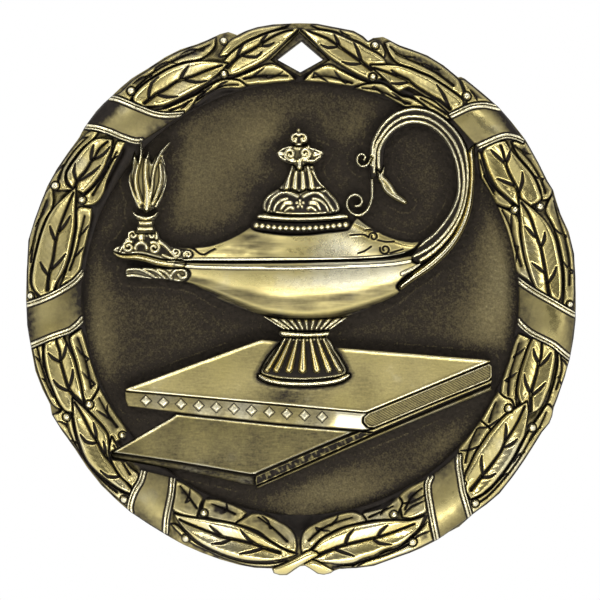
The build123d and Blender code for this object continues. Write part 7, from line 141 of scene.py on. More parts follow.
 "lid_finial": [[[(0.092,14.037),(0.195,14.151),(0.276,14.276),(0.438,14.317),(0.599,14.369),(0.72,14.514),(0.783,14.7),(0.749,14.919),(0.645,15.115),(0.471,15.212),(0.116,15.32),(-0.018,15.392),(-0.109,15.548),(-0.169,15.696),(-0.197,15.695),(-0.248,15.547),(-0.323,15.392),(-0.427,15.33),(-0.553,15.29),(-0.721,15.222),(-0.876,15.115),(-0.963,14.918),(-0.995,14.7),(-0.959,14.514),(-0.876,14.369),(-0.752,14.317),(-0.618,14.276),(-0.532,14.151),(-0.415,14.037),(-0.16,14.007)]]],
 "lid_volutes": [[[(0.194,11.862),(0.228,12.021),(0.23,12.212),(0.355,12.36),(0.553,12.461),(0.915,12.455),(1.3,12.47),(1.572,12.652),(2.017,13.1),(2.166,13.3),(2.187,13.468),(2.092,13.594),(1.539,13.743),(0.968,13.908),(0.82,14.147),(0.757,14.307),(0.732,14.309),(0.553,14.018),(0.342,14.008),(0.129,14.033),(0.096,14.007),(-0.164,13.977),(-0.418,14.007),(-0.46,14.039),(-0.801,14.053),(-1.198,14.037),(-1.519,13.931),(-1.797,13.779),(-2.028,13.601),(-2.24,13.41),(-2.147,13.18),(-2.018,12.968),(-1.784,12.809),(-1.195,12.535),(-0.903,12.415),(-0.679,12.346),(-0.507,12.258),(-0.453,12.05),(-0.378,11.862),(-0.086,11.815)]]],
 "lid_neck": [[[(0.184,9.896),(0.507,10.046),(1.152,9.954),(1.791,10.037),(2.304,10.184),(2.217,10.364),(1.935,10.599),(1.718,10.936),(1.521,11.29),(1.404,11.583),(1.318,11.843),(1.278,12.099),(1.152,12.276),(0.683,12.293),(0.277,12.22),(0.26,12.201),(0.258,12.021),(0.218,11.844),(0.198,11.832),(-0.091,11.785),(-0.39,11.834),(-0.406,11.851),(-0.481,12.039),(-0.533,12.238),(-0.616,12.28),(-0.668,12.291),(-0.857,12.276),(-0.914,12.016),(-0.986,11.751),(-1.103,11.476),(-1.393,10.916),(-1.567,10.645),(-1.844,10.395),(-2.018,10.184),(-1.844,10.035),(-1.521,9.954),(-0.783,10.046),(-0.455,9.896),(-0.138,9.77)]]],
 "lid_dome": [[[(0.781,7.595),(1.613,7.631),(2.445,7.695),(3.134,7.788),(3.44,7.898),(3.641,8.065),(3.691,8.275),(3.641,8.525),(3.511,8.858),(3.318,9.198),(3.076,9.474),(2.811,9.724),(2.596,10.001),(2.329,10.169),(2.312,10.155),(1.795,10.008),(1.156,9.924),(0.511,10.015),(0.197,9.869),(-0.127,9.742),(-0.149,9.742),(-0.466,9.868),(-0.788,10.015),(-1.517,9.924),(-1.851,10.005),(-2.046,10.169),(-2.539,9.896),(-2.995,9.604),(-3.28,9.303),(-3.456,8.986),(-3.554,8.622),(-3.548,8.286),(-3.423,8.049),(-3.18,7.899),(-2.419,7.749),(-1.521,7.641),(-0.783,7.594),(-0.046,7.585)]]],
 "lid_ring": [[[(1.38,7.116),(2.719,7.18),(3.668,7.262),(4.332,7.373),(4.408,7.504),(4.332,7.659),(4.018,7.777),(3.641,7.843),(3.39,7.793),(3.134,7.714),(2.445,7.631),(1.613,7.558),(0.781,7.521),(-0.046,7.512),(-0.783,7.519),(-1.521,7.567),(-2.419,7.709),(-3.18,7.843),(-3.367,7.856),(-3.548,7.834),(-3.773,7.765),(-4.009,7.677),(-4.052,7.506),(-4.009,7.382),(-3.324,7.263),(-2.35,7.171),(-1.267,7.11),(-0.046,7.088)]]],
 "lid_bead_ring": [[[(0.052,5.858),(0.876,5.908),(1.696,5.99),(2.535,6.092),(3.52,6.185),(4.332,6.313),(4.541,6.51),(4.608,6.774),(4.577,7.046),(4.424,7.253),(4.127,7.265),(3.733,7.207),(3.082,7.149),(2.258,7.088),(1.158,7.033),(-0.046,7.005),(-1.267,7.035),(-2.35,7.088),(-3.548,7.189),(-3.964,7.192),(-4.286,7.143),(-4.449,7),(-4.562,6.82),(-4.562,6.654),(-4.516,6.498),(-4.35,6.36),(-4.101,6.258),(-3.401,6.134),(-2.535,6.018),(-1.665,5.917),(-0.783,5.853)]]],
 "handle_curl": [[[(5.875,12.048),(6.013,12.089),(6.145,12.157),(6.267,12.247),(6.375,12.356),(6.46,12.487),(6.626,12.898),(6.632,12.983),(6.586,13.055),(6.507,13.087),(6.424,13.066),(6.369,13.001),(6.216,12.617),(6.16,12.529),(6.086,12.456),(5.998,12.391),(5.908,12.344),(5.83,12.321),(5.756,12.319),(5.673,12.335),(5.592,12.367),(5.527,12.41),(5.469,12.472),(5.412,12.559),(5.368,12.655),(5.344,12.741),(5.339,12.827),(5.351,12.921),(5.377,13.008),(5.41,13.069),(5.459,13.117),(5.532,13.163),(5.606,13.192),(5.653,13.199),(5.702,13.182),(5.776,13.134),(5.858,13.047),(5.733,12.853),(5.715,12.77),(5.749,12.692),(5.823,12.648),(5.908,12.657),(5.972,12.713),(6.07,12.869),(6.122,12.979),(6.123,13.128),(6.05,13.253),(5.947,13.351),(5.823,13.43),(5.683,13.474),(5.539,13.461),(5.407,13.41),(5.287,13.334),(5.189,13.235),(5.122,13.114),(5.081,12.978),(5.063,12.837),(5.071,12.697),(5.108,12.559),(5.17,12.425),(5.251,12.301),(5.349,12.198),(5.465,12.122),(5.594,12.07),(5.733,12.043)]]],
 "handle_spur": [[[(9.785,8.702),(9.908,8.848),(9.781,9.067),(9.539,9.309),(8.986,9.677),(8.834,9.894),(8.71,10.129),(8.557,10.387),(8.387,10.645),(8.177,10.891),(7.972,11.106),(7.806,11.241),(7.696,11.382),(7.73,11.601),(7.788,11.843),(7.769,12.146),(7.709,12.276),(7.683,12.276),(7.541,11.961),(7.355,11.613),(7.184,11.751),(7.047,11.973),(7.018,11.964),(7.043,11.544),(7.097,11.106),(7.222,10.814),(7.373,10.553),(7.494,10.228),(7.65,9.908),(7.9,9.64),(8.203,9.401),(8.543,9.183),(8.894,8.986),(9.237,8.782),(9.539,8.654)]]],
 "handle_rib": [[[(9.497,0.897),(9.724,1.106),(10.553,1.668),(11.256,2.115),(12.028,2.645),(12.742,3.239),(13.41,3.88),(13.994,4.525),(14.516,5.235),(14.997,6.086),(15.401,6.986),(15.689,7.812),(15.889,8.728),(16.014,9.974),(16.074,11.198),(16.072,12.061),(16.024,13.269),(16.018,13.687),(16.065,14.003),(16.121,14.25),(16.099,14.265),(15.831,14.087),(15.576,13.871),(15.433,13.603),(15.373,13.318),(15.42,13.057),(15.493,12.765),(15.539,12.154),(15.548,11.382),(15.495,10.484),(15.382,9.539),(15.214,8.664),(14.959,7.788),(14.575,6.846),(14.101,5.945),(13.558,5.193),(12.949,4.516),(12.267,3.862),(11.567,3.272),(10.887,2.776),(10.276,2.35),(9.812,1.973),(9.447,1.659),(9.194,1.463),(9.014,1.29),(8.955,1.121),(8.986,0.968),(9.12,0.825),(9.309,0.765)]]],
 "handle_loop": [[[(11.279,3.31),(11.751,3.548),(12.331,3.965),(12.928,4.537),(13.535,5.212),(14.076,5.961),(14.548,6.859),(14.93,7.798),(15.185,8.671),(15.353,9.544),(15.465,10.487),(15.518,11.383),(15.509,12.153),(15.463,12.76),(15.391,13.05),(15.344,13.324),(15.407,13.621),(15.282,14.109),(15.161,14.424),(14.981,14.761),(14.758,15.111),(14.498,15.456),(14.199,15.798),(13.863,16.135),(13.502,16.452),(13.111,16.753),(12.694,17.033),(12.276,17.263),(11.865,17.427),(11.453,17.54),(11.041,17.613),(10.633,17.654),(10.225,17.654),(9.816,17.604),(9.396,17.496),(8.975,17.337),(8.581,17.134),(8.221,16.883),(7.888,16.588),(7.585,16.267),(7.311,15.906),(7.068,15.518),(6.866,15.161),(6.719,14.868),(6.611,14.6),(6.525,14.332),(6.46,14.068),(6.417,13.805),(6.387,13.502),(6.369,13.09),(6.39,13.079),(6.417,13.096),(6.5,13.116),(6.598,13.083),(6.612,13.071),(6.662,12.981),(6.654,12.887),(6.488,12.475),(6.4,12.339),(6.36,12.298),(6.433,11.106),(6.756,11.106),(7.035,11.367),(7.013,11.542),(6.991,11.978),(7.009,11.992),(7.054,12.002),(7.073,11.989),(7.207,11.771),(7.345,11.659),(7.448,11.851),(7.696,12.488),(7.684,12.841),(7.696,13.041),(7.728,13.348),(7.781,13.706),(7.88,14.055),(8.039,14.382),(8.244,14.701),(8.488,14.995),(8.781,15.268),(9.113,15.516),(9.447,15.714),(9.766,15.854),(10.087,15.944),(10.424,15.991),(10.792,15.995),(11.175,15.956),(11.539,15.871),(11.871,15.742),(12.184,15.567),(12.488,15.346),(12.793,15.072),(13.088,14.75),(13.355,14.396),(13.586,14.007),(13.788,13.585),(13.963,13.152),(14.113,12.71),(14.237,12.257),(14.332,11.816),(14.395,11.387),(14.429,10.97),(14.442,10.581),(14.444,10.243),(14.425,9.932),(14.369,9.594),(14.27,9.201),(14.135,8.779),(13.963,8.359),(13.75,7.948),(13.501,7.54),(13.226,7.143),(12.92,6.751),(12.589,6.371),(12.258,6.037),(11.935,5.773),(11.29,5.336),(11.29,5.244),(10.737,4.562),(10.276,3.917),(10.184,3.364),(10.829,3.134)]]],
 "handle_scroll": [[[(5.508,7.545),(5.661,7.589),(5.804,7.656),(5.938,7.741),(6.068,7.842),(6.197,7.963),(6.319,8.113),(6.427,8.293),(6.523,8.515),(6.611,8.769),(6.684,9.046),(6.736,9.337),(6.758,9.659),(6.756,10.005),(6.728,11.036),(6.714,11.076),(6.447,11.076),(6.433,11.029),(6.461,9.999),(6.463,9.668),(6.443,9.372),(6.396,9.11),(6.329,8.854),(6.248,8.621),(6.163,8.426),(6.077,8.281),(5.981,8.164),(5.876,8.066),(5.768,7.982),(5.661,7.914),(5.557,7.865),(5.453,7.835),(5.344,7.825),(5.219,7.833),(5.084,7.861),(4.953,7.91),(4.834,7.98),(4.714,8.088),(4.59,8.229),(4.488,8.381),(4.427,8.52),(4.407,8.659),(4.417,8.817),(4.453,8.971),(4.507,9.098),(4.585,9.207),(4.694,9.31),(4.814,9.39),(4.918,9.432),(5.017,9.438),(5.137,9.414),(5.256,9.367),(5.348,9.312),(5.414,9.246),(5.471,9.157),(5.508,9.063),(5.521,8.989),(5.506,8.916),(5.462,8.822),(5.402,8.734),(5.352,8.682),(5.321,8.669),(5.069,8.673),(4.982,8.645),(4.929,8.571),(4.929,8.48),(4.983,8.406),(5.069,8.378),(5.262,8.372),(5.39,8.382),(5.524,8.442),(5.63,8.547),(5.719,8.676),(5.786,8.824),(5.816,8.983),(5.793,9.142),(5.733,9.292),(5.644,9.431),(5.528,9.545),(5.386,9.632),(5.22,9.697),(5.038,9.732),(4.852,9.72),(4.676,9.65),(4.511,9.541),(4.364,9.402),(4.249,9.243),(4.172,9.061),(4.125,8.859),(4.113,8.648),(4.144,8.439),(4.23,8.238),(4.356,8.049),(4.504,7.88),(4.659,7.743),(4.825,7.644),(5.002,7.578),(5.179,7.541),(5.347,7.53)]]],
 "lamp_cover": [[[(-1.918,3.52),(-0.046,3.548),(1.82,3.589),(3.641,3.641),(5.438,3.704),(6.959,3.779),(7.763,3.86),(8.433,3.963),(8.967,4.064),(9.447,4.194),(9.983,4.375),(10.461,4.608),(10.845,4.96),(11.014,5.253),(10.756,5.26),(10.304,5.207),(9.732,5.266),(9.078,5.392),(8.404,5.606),(7.714,5.889),(6.995,6.26),(6.359,6.627),(5.978,6.876),(5.668,7.097),(5.426,7.32),(5.207,7.419),(4.977,7.198),(4.747,6.866),(4.601,6.625),(4.561,6.488),(4.336,6.284),(3.522,6.156),(2.538,6.062),(2.08,6.006),(1.711,5.952),(0.876,5.853),(-0.046,5.801),(-0.968,5.797),(-1.832,5.863),(-3.335,6.054),(-3.917,6.175),(-3.962,6.203),(-4.113,6.23),(-4.361,6.332),(-4.535,6.475),(-4.574,6.587),(-4.754,6.543),(-4.931,6.406),(-5.219,6.21),(-5.576,5.982),(-6.016,5.754),(-6.498,5.53),(-6.986,5.322),(-7.484,5.134),(-7.994,4.967),(-8.479,4.839),(-8.887,4.775),(-9.263,4.747),(-10,4.728),(-10.455,4.707),(-10.922,4.7),(-11.354,4.725),(-11.633,4.772),(-11.643,4.737),(-11.333,4.619),(-10.916,4.5),(-10.515,4.46),(-10.18,4.408),(-9.953,4.232),(-9.878,4.011),(-9.885,3.989),(-10.056,3.799),(-10.366,3.657),(-10.873,3.618),(-10.877,3.583),(-10.581,3.509),(-10,3.548),(-8.612,3.514),(-6.959,3.493),(-5.386,3.491)]]],
 "lamp_bowl": [[[(1.112,-1.878),(3.157,-1.824),(4.009,-1.733),(4.983,-1.461),(5.945,-1.106),(6.843,-0.701),(7.604,-0.323),(8.046,-0.112),(8.433,0.092),(8.877,0.349),(9.171,0.599),(9.024,0.786),(8.802,0.968),(8.813,1.193),(8.94,1.429),(9.271,1.774),(9.724,2.166),(11.02,3.139),(11.003,3.17),(10.84,3.106),(10.819,3.105),(10.174,3.336),(10.16,3.347),(10.155,3.369),(10.244,3.903),(9.947,3.883),(9.355,3.779),(8.451,3.647),(7.327,3.521),(5.588,3.432),(1.89,3.309),(-0.046,3.272),(-3.543,3.244),(-6.959,3.235),(-8.699,3.255),(-10,3.29),(-10.522,3.338),(-10.509,3.078),(-10.515,3.059),(-10.647,2.882),(-10.4,2.745),(-10.2,2.537),(-10.109,2.298),(-10.162,2.046),(-10.297,1.828),(-10.489,1.681),(-10.72,1.587),(-10.72,1.56),(-10.406,1.44),(-9.908,1.29),(-9.459,1.06),(-8.986,0.783),(-8.502,0.467),(-7.972,0.138),(-7.362,-0.164),(-6.682,-0.461),(-5.927,-0.763),(-5.115,-1.06),(-4.234,-1.361),(-3.364,-1.613),(-2.632,-1.744),(-1.889,-1.816),(-1.02,-1.868),(-0.046,-1.889)]]],
 "pedestal_collar": [[[(1.322,-3.035),(1.982,-2.995),(2.388,-2.962),(2.765,-2.857),(3.209,-2.586),(3.641,-2.258),(4.171,-1.911),(4.305,-1.708),(4.289,-1.686),(4.012,-1.763),(3.16,-1.854),(2.547,-1.87),(2.258,-1.908),(1.092,-1.946),(-0.046,-1.945),(-1.014,-1.923),(-1.889,-1.871),(-2.69,-1.774),(-3.387,-1.669),(-3.399,-1.699),(-2.944,-2.016),(-2.442,-2.35),(-1.97,-2.638),(-1.521,-2.857),(-1.122,-2.955),(-0.691,-2.995),(-0.081,-3.035),(0.599,-3.051)]]],
 "pedestal_ring": [[[(1.719,-3.54),(2.581,-3.456),(2.687,-3.363),(2.719,-3.226),(2.712,-3.09),(2.627,-2.995),(2.355,-3.015),(1.982,-3.069),(1.371,-3.122),(0.599,-3.143),(-0.518,-3.047),(-1.521,-2.949),(-1.763,-2.97),(-1.982,-3.014),(-2.033,-3.144),(-2.028,-3.272),(-1.869,-3.414),(-1.613,-3.512),(-0.605,-3.571),(0.599,-3.585)]]],
 "pedestal_bell": [[[(1.29,-7.547),(2.258,-7.465),(2.975,-7.364),(3.548,-7.235),(3.958,-7.089),(4.24,-6.912),(4.325,-6.721),(4.286,-6.498),(4.104,-6.08),(3.825,-5.576),(3.471,-5.022),(3.088,-4.47),(2.808,-3.944),(2.396,-3.567),(1.795,-3.563),(1.342,-3.585),(0.599,-3.659),(-0.421,-3.632),(-1.475,-3.585),(-1.863,-3.968),(-2.258,-4.378),(-2.687,-4.871),(-3.088,-5.392),(-3.41,-5.933),(-3.641,-6.406),(-3.749,-6.652),(-3.733,-6.866),(-3.479,-7.045),(-3.088,-7.189),(-2.518,-7.341),(-1.797,-7.465),(-0.829,-7.55),(0.23,-7.585)]]],
 "pedestal_foot": [[[(1.382,-8.147),(2.442,-8.065),(3.213,-7.93),(3.825,-7.742),(4.278,-7.494),(4.562,-7.235),(4.607,-7),(4.47,-6.866),(3.548,-7.327),(2.961,-7.469),(2.258,-7.567),(1.29,-7.654),(0.23,-7.696),(-0.829,-7.658),(-1.797,-7.567),(-2.51,-7.438),(-3.088,-7.272),(-3.507,-7.077),(-3.871,-6.866),(-3.967,-7.075),(-3.963,-7.281),(-3.658,-7.533),(-3.18,-7.77),(-2.602,-7.943),(-1.889,-8.065),(-0.887,-8.145),(0.23,-8.175)]]],
 "upper_book_spine": [[[(6.437,-12.036),(6.441,-12.005),(6.037,-11.843),(5.696,-11.429),(5.714,-10.968),(6.104,-10.595),(6.095,-10.57),(5.576,-10.553),(-13.871,-8.756),(-16.175,-8.571),(-16.129,-9.355),(-15.899,-9.954),(-9.078,-10.783),(-2.074,-11.521),(2.719,-11.917),(5.668,-12.138)]]],
 "upper_book_cover": [[[(1.288,-7.624),(2.255,-7.537),(2.993,-7.43),(2.986,-7.393),(2.261,-7.495),(1.293,-7.577),(0.231,-7.615),(-0.83,-7.58),(-1.819,-7.494),(-1.824,-7.532),(-0.828,-7.628),(0.23,-7.666)]], [[(6.129,-10.507),(11.935,-8.111),(17.559,-5.779),(17.557,-5.75),(16.912,-5.604),(4.101,-4.562),(3.149,-4.465),(3.136,-4.487),(3.496,-5.006),(3.85,-5.56),(4.131,-6.066),(4.313,-6.486),(4.355,-6.715),(4.279,-6.899),(4.299,-6.918),(4.47,-6.836),(4.491,-6.845),(4.631,-6.983),(4.636,-7.005),(4.592,-7.241),(4.582,-7.257),(4.293,-7.521),(3.834,-7.771),(3.218,-7.959),(2.445,-8.094),(1.383,-8.177),(0.23,-8.205),(-0.888,-8.175),(-1.892,-8.094),(-2.607,-7.972),(-3.188,-7.798),(-3.671,-7.56),(-3.984,-7.303),(-3.993,-7.282),(-3.995,-7.062),(-3.897,-6.851),(-3.879,-6.837),(-3.856,-6.84),(-3.783,-6.883),(-3.763,-6.87),(-3.777,-6.639),(-3.668,-6.392),(-3.436,-5.918),(-3.111,-5.373),(-2.71,-4.851),(-2.281,-4.358),(-1.907,-3.97),(-1.915,-3.946),(-3.548,-3.779),(-4.194,-3.963),(-10.184,-6.129),(-16.129,-8.313),(-16.083,-8.525),(-15.116,-8.626),(-13.869,-8.726),(5.578,-10.523),(5.833,-10.532)]]],
 "upper_book_pages": [[[(11.935,-9.724),(17.373,-7.512),(17.613,-7.235),(17.604,-6.221),(17.373,-5.972),(6.221,-10.571),(5.806,-10.968),(5.806,-11.382),(6.221,-11.843),(6.774,-11.889)]]],
 "upper_book_board": [[[(11.935,-10.092),(17.631,-7.77),(17.614,-7.389),(17.602,-7.384),(17.373,-7.604),(11.935,-9.816),(6.774,-11.991),(6.498,-12.083),(6.074,-12.252),(6.077,-12.268),(6.774,-12.286)]]],
 "lower_book_cover": [[[(-4.101,-16.249),(0.876,-14.101),(5.239,-12.238),(5.234,-12.207),(2.719,-12.009),(-2.074,-11.613),(-9.078,-10.876),(-11.475,-10.599),(-11.935,-10.995),(-14.793,-12.636),(-17.465,-14.147),(-17.373,-14.286),(-11.106,-15.207),(-4.654,-16.313)]]],
 "lower_book_spine": [[[(-4.24,-16.406),(-4.654,-16.406),(-11.106,-15.272),(-16.063,-14.509),(-17.379,-14.315),(-17.397,-14.303),(-17.512,-14.286),(-17.512,-14.516),(-17.281,-14.774),(-11.106,-15.825),(-4.839,-17.244),(-4.286,-17.281)]]],
 "lower_book_pages": [[[(0.876,-15.023),(6.59,-12.488),(6.59,-12.378),(6.037,-12.359),(5.484,-12.286),(0.876,-14.203),(-4.101,-16.359),(-4.147,-16.728),(-4.101,-17.244)]]],
 "lower_book_board": [[[(0.876,-15.484),(6.59,-12.995),(11.935,-10.783),(17.696,-8.479),(17.631,-7.972),(11.935,-10.369),(6.59,-12.599),(-4.181,-17.368),(-4.182,-17.38),(-3.917,-17.539)]]],
 "lid_ball": [[[(0.05,15.49),(0.03,15.58),(-0.02,15.66),(-0.1,15.71),(-0.18,15.72),(-0.27,15.71),(-0.35,15.66),(-0.4,15.58),(-0.41,15.49),(-0.4,15.4),(-0.35,15.33),(-0.27,15.28),(-0.18,15.26),(-0.1,15.28),(-0.02,15.33),(0.03,15.4)]]],
}
SILHOUETTE = [(-0.876,25.392),(0.968,25.392),(1.521,25.364),(2.903,25.078),(4.885,24.691),(5.76,24.194),(6.221,23.733),(6.682,24.009),(7.604,24.12),(8.249,23.834),(9.161,23.336),(10.359,22.922),(11.696,22.424),(13.18,21.512),(14.516,20.396),(14.793,20.433),(15.161,20.276),(16.774,18.968),(18.295,17.65),(19.493,16.267),(20.783,14.608),(21.982,12.488),(22.811,10.829),(23.318,10),(23.594,9.078),(24.009,7.806),(24.793,6.129),(25.281,4.138),(25.392,2.028),(25.392,-1.982),(25.207,-3.641),(24.857,-5.567),(24.433,-7.189),(23.945,-8.599),(23.382,-10.074),(23.272,-10.829),(22.995,-11.53),(22.304,-12.369),(21.456,-13.714),(20.618,-15.051),(19.631,-16.452),(18.387,-18.018),(17.189,-19.032),(15.862,-19.954),(14.664,-21.088),(13.677,-21.576),(12.673,-22.286),(11.134,-23.06),(10.092,-23.502),(8.894,-23.917),(6.793,-24.7),(5.171,-24.912),(3.548,-24.949),(3.088,-25.115),(2.765,-25.355),(2.138,-25.512),(1.567,-25.392),(1.005,-24.977),(0.415,-24.608),(-0.046,-24.654),(-0.507,-24.977),(-1.244,-25.53),(-1.889,-25.558),(-2.479,-25.355),(-2.654,-24.885),(-4.194,-24.839),(-5.668,-24.562),(-7.419,-24.055),(-9.171,-23.41),(-10.829,-22.673),(-12.396,-21.797),(-14.055,-20.783),(-15.714,-19.677),(-17.189,-18.387),(-18.387,-17.244),(-19.677,-15.622),(-20.82,-13.871),(-21.982,-12.258),(-22.931,-10.737),(-23.069,-9.816),(-23.825,-8.341),(-24.47,-6.682),(-24.876,-4.562),(-25.226,-2.442),(-25.318,-0.138),(-25.3,1.244),(-25.263,3.364),(-25.152,5.392),(-24.562,7.327),(-23.917,9.078),(-23.364,10.406),(-22.535,11.935),(-21.521,13.41),(-20.415,14.885),(-19.954,15.76),(-19.447,16.498),(-18.848,17.327),(-18.203,18.018),(-17.419,18.71),(-16.544,19.539),(-15.622,20.323),(-14.24,21.152),(-12.488,22.304),(-11.106,22.995),(-9.631,23.456),(-8.618,23.862),(-7.419,24.406),(-6.682,24.599),(-5.853,24.286),(-5.484,24.47),(-5.023,24.691),(-4.009,25.041),(-2.535,25.3)]
OPENING = [(-2.19,22.06),(0.09,23.8),(2.13,22.06),(-0.03,20.86)]
WREATH_BED = [[(-1.244,-25.53),(-0.507,-24.977),(-0.046,-24.654),(0.415,-24.608),(1.005,-24.977),(1.567,-25.392),(2.138,-25.512),(2.765,-25.355),(3.088,-25.115),(3.548,-24.949),(5.171,-24.912),(6.793,-24.7),(8.894,-23.917),(10.092,-23.502),(11.134,-23.06),(12.673,-22.286),(13.677,-21.576),(14.664,-21.088),(15.862,-19.954),(17.189,-19.032),(18.387,-18.018),(19.631,-16.452),(20.618,-15.051),(22.304,-12.369),(22.995,-11.53),(23.272,-10.829),(23.382,-10.074),(23.945,-8.599),(24.433,-7.189),(24.857,-5.567),(25.207,-3.641),(25.392,-1.982),(25.392,2.028),(25.281,4.138),(24.793,6.129),(24.009,7.806),(23.594,9.078),(23.318,10),(22.811,10.829),(21.982,12.488),(20.783,14.608),(19.493,16.267),(18.295,17.65),(16.774,18.968),(15.161,20.276),(14.793,20.433),(14.516,20.396),(13.18,21.512),(11.696,22.424),(10.359,22.922),(9.161,23.336),(8.249,23.834),(7.604,24.12),(6.682,24.009),(6.221,23.733),(5.76,24.194),(4.885,24.691),(2.903,25.078),(1.521,25.364),(0.968,25.392),(-0.876,25.392),(-2.535,25.3),(-4.009,25.041),(-5.023,24.691),(-5.853,24.286),(-6.682,24.599),(-7.419,24.406),(-8.618,23.862),(-9.631,23.456),(-11.106,22.995),(-12.488,22.304),(-14.24,21.152),(-15.622,20.323),(-16.544,19.539),(-17.419,18.71),(-18.203,18.018),(-18.848,17.327),(-19.447,16.498),(-19.954,15.76),(-20.415,14.885),(-21.521,13.41),(-22.535,11.935),(-23.364,10.406),(-23.917,9.078),(-24.562,7.327),(-25.152,5.392),(-25.263,3.364),(-25.318,-0.138),(-25.226,-2.442),(-24.876,-4.562),(-24.47,-6.682),(-23.825,-8.341),(-23.069,-9.816),(-22.931,-10.737),(-21.982,-12.258),(-20.82,-13.871),(-19.677,-15.622),(-18.387,-17.244),(-17.189,-18.387),(-15.714,-19.677),(-14.055,-20.783),(-12.396,-21.797),(-10.829,-22.673),(-9.171,-23.41),(-7.419,-24.055),(-5.668,-24.562),(-4.194,-24.839),(-2.654,-24.885),(-2.479,-25.355),(-1.889,-25.558)], [(-0.628,-19.99),(-1.256,-19.961),(-1.882,-19.911),(-2.507,-19.842),(-3.129,-19.754),(-3.748,-19.646),(-4.363,-19.518),(-4.974,-19.372),(-5.58,-19.206),(-6.18,-19.021),(-6.775,-18.818),(-7.362,-18.596),(-7.943,-18.355),(-8.516,-18.097),(-9.08,-17.82),(-9.635,-17.526),(-10.181,-17.215),(-10.717,-16.887),(-11.242,-16.542),(-11.756,-16.18),(-12.502,-15.608),(-17.291,-14.793),(-17.532,-14.524),(-17.532,-14.263),(-17.399,-14.282),(-17.494,-14.14),(-15.287,-12.893),(-15.803,-12.258),(-16.18,-11.756),(-16.542,-11.242),(-16.887,-10.717),(-17.215,-10.181),(-17.526,-9.635),(-17.82,-9.08),(-18.097,-8.516),(-18.355,-7.943),(-18.596,-7.362),(-18.818,-6.775),(-19.021,-6.18),(-19.206,-5.58),(-19.372,-4.974),(-19.518,-4.363),(-19.646,-3.748),(-19.754,-3.129),(-19.842,-2.507),(-19.911,-1.882),(-19.961,-1.256),(-19.99,-0.628),(-20,0),(-19.99,0.628),(-19.961,1.256),(-19.911,1.882),(-19.842,2.507),(-19.754,3.129),(-19.646,3.748),(-19.518,4.363),(-19.372,4.974),(-19.206,5.58),(-19.021,6.18),(-18.818,6.775),(-18.596,7.362),(-18.355,7.943),(-18.097,8.516),(-17.82,9.08),(-17.526,9.635),(-17.215,10.181),(-16.887,10.717),(-16.542,11.242),(-16.18,11.756),(-15.549,12.575),(-15.522,12.953),(-15.303,13.547),(-15.259,13.544),(-15.132,13.074),(-14.822,13.424),(-14.725,14.523),(-14.672,14.523),(-14.555,13.716),(-14.142,14.142),(-13.691,14.579),(-13.226,15.002),(-12.748,15.41),(-12.258,15.803),(-11.756,16.18),(-11.242,16.542),(-10.717,16.887),(-10.181,17.215),(-9.635,17.526),(-9.08,17.82),(-8.516,18.097),(-7.943,18.355),(-7.362,18.596),(-6.775,18.818),(-6.18,19.021),(-5.58,19.206),(-4.974,19.372),(-4.363,19.518),(-3.748,19.646),(-3.129,19.754),(-2.507,19.842),(-1.882,19.911),(-1.256,19.961),(-0.628,19.99),(0,20),(0.628,19.99),(1.256,19.961),(1.882,19.911),(2.507,19.842),(3.129,19.754),(3.748,19.646),(4.363,19.518),(4.974,19.372),(5.58,19.206),(6.18,19.021),(6.775,18.818),(7.362,18.596),(7.943,18.355),(8.516,18.097),(9.08,17.82),(9.569,17.561),(9.812,17.624),(10.224,17.674),(10.634,17.674),(11.044,17.633),(11.457,17.56),(11.871,17.446),(12.285,17.281),(12.704,17.05),(13.123,16.769),(13.515,16.467),(13.877,16.15),(14.214,15.812),(14.514,15.469),(14.774,15.122),(14.998,14.771),(15.179,14.432),(15.301,14.115),(15.425,13.631),(15.56,13.884),(15.819,14.103),(16.099,14.289),(16.144,14.259),(16.085,13.999),(16.038,13.686),(16.092,11.873),(16.542,11.242),(16.887,10.717),(17.215,10.181),(17.526,9.635),(17.82,9.08),(18.097,8.516),(18.355,7.943),(18.596,7.362),(18.818,6.775),(19.021,6.18),(19.206,5.58),(19.372,4.974),(19.518,4.363),(19.646,3.748),(19.754,3.129),(19.842,2.507),(19.911,1.882),(19.961,1.256),(19.99,0.628),(20,0),(19.99,-0.628),(19.961,-1.256),(19.911,-1.882),(19.842,-2.507),(19.754,-3.129),(19.646,-3.748),(19.518,-4.363),(19.372,-4.974),(19.206,-5.58),(19.021,-6.18),(18.818,-6.775),(18.596,-7.362),(18.355,-7.943),(18.097,-8.516),(17.82,-9.08),(17.526,-9.635),(17.215,-10.181),(16.887,-10.717),(16.542,-11.242),(16.18,-11.756),(15.803,-12.258),(15.41,-12.748),(15.002,-13.226),(14.579,-13.691),(14.142,-14.142),(13.691,-14.579),(13.226,-15.002),(12.748,-15.41),(12.258,-15.803),(11.756,-16.18),(11.242,-16.542),(10.717,-16.887),(10.181,-17.215),(9.635,-17.526),(9.08,-17.82),(8.516,-18.097),(7.943,-18.355),(7.362,-18.596),(6.775,-18.818),(6.18,-19.021),(5.58,-19.206),(4.974,-19.372),(4.363,-19.518),(3.748,-19.646),(3.129,-19.754),(2.507,-19.842),(1.882,-19.911),(1.256,-19.961),(0.628,-19.99),(0,-20)], [(-2.86,21.94),(-0.08,24.61),(2.76,21.94),(-0.03,20.41)]]
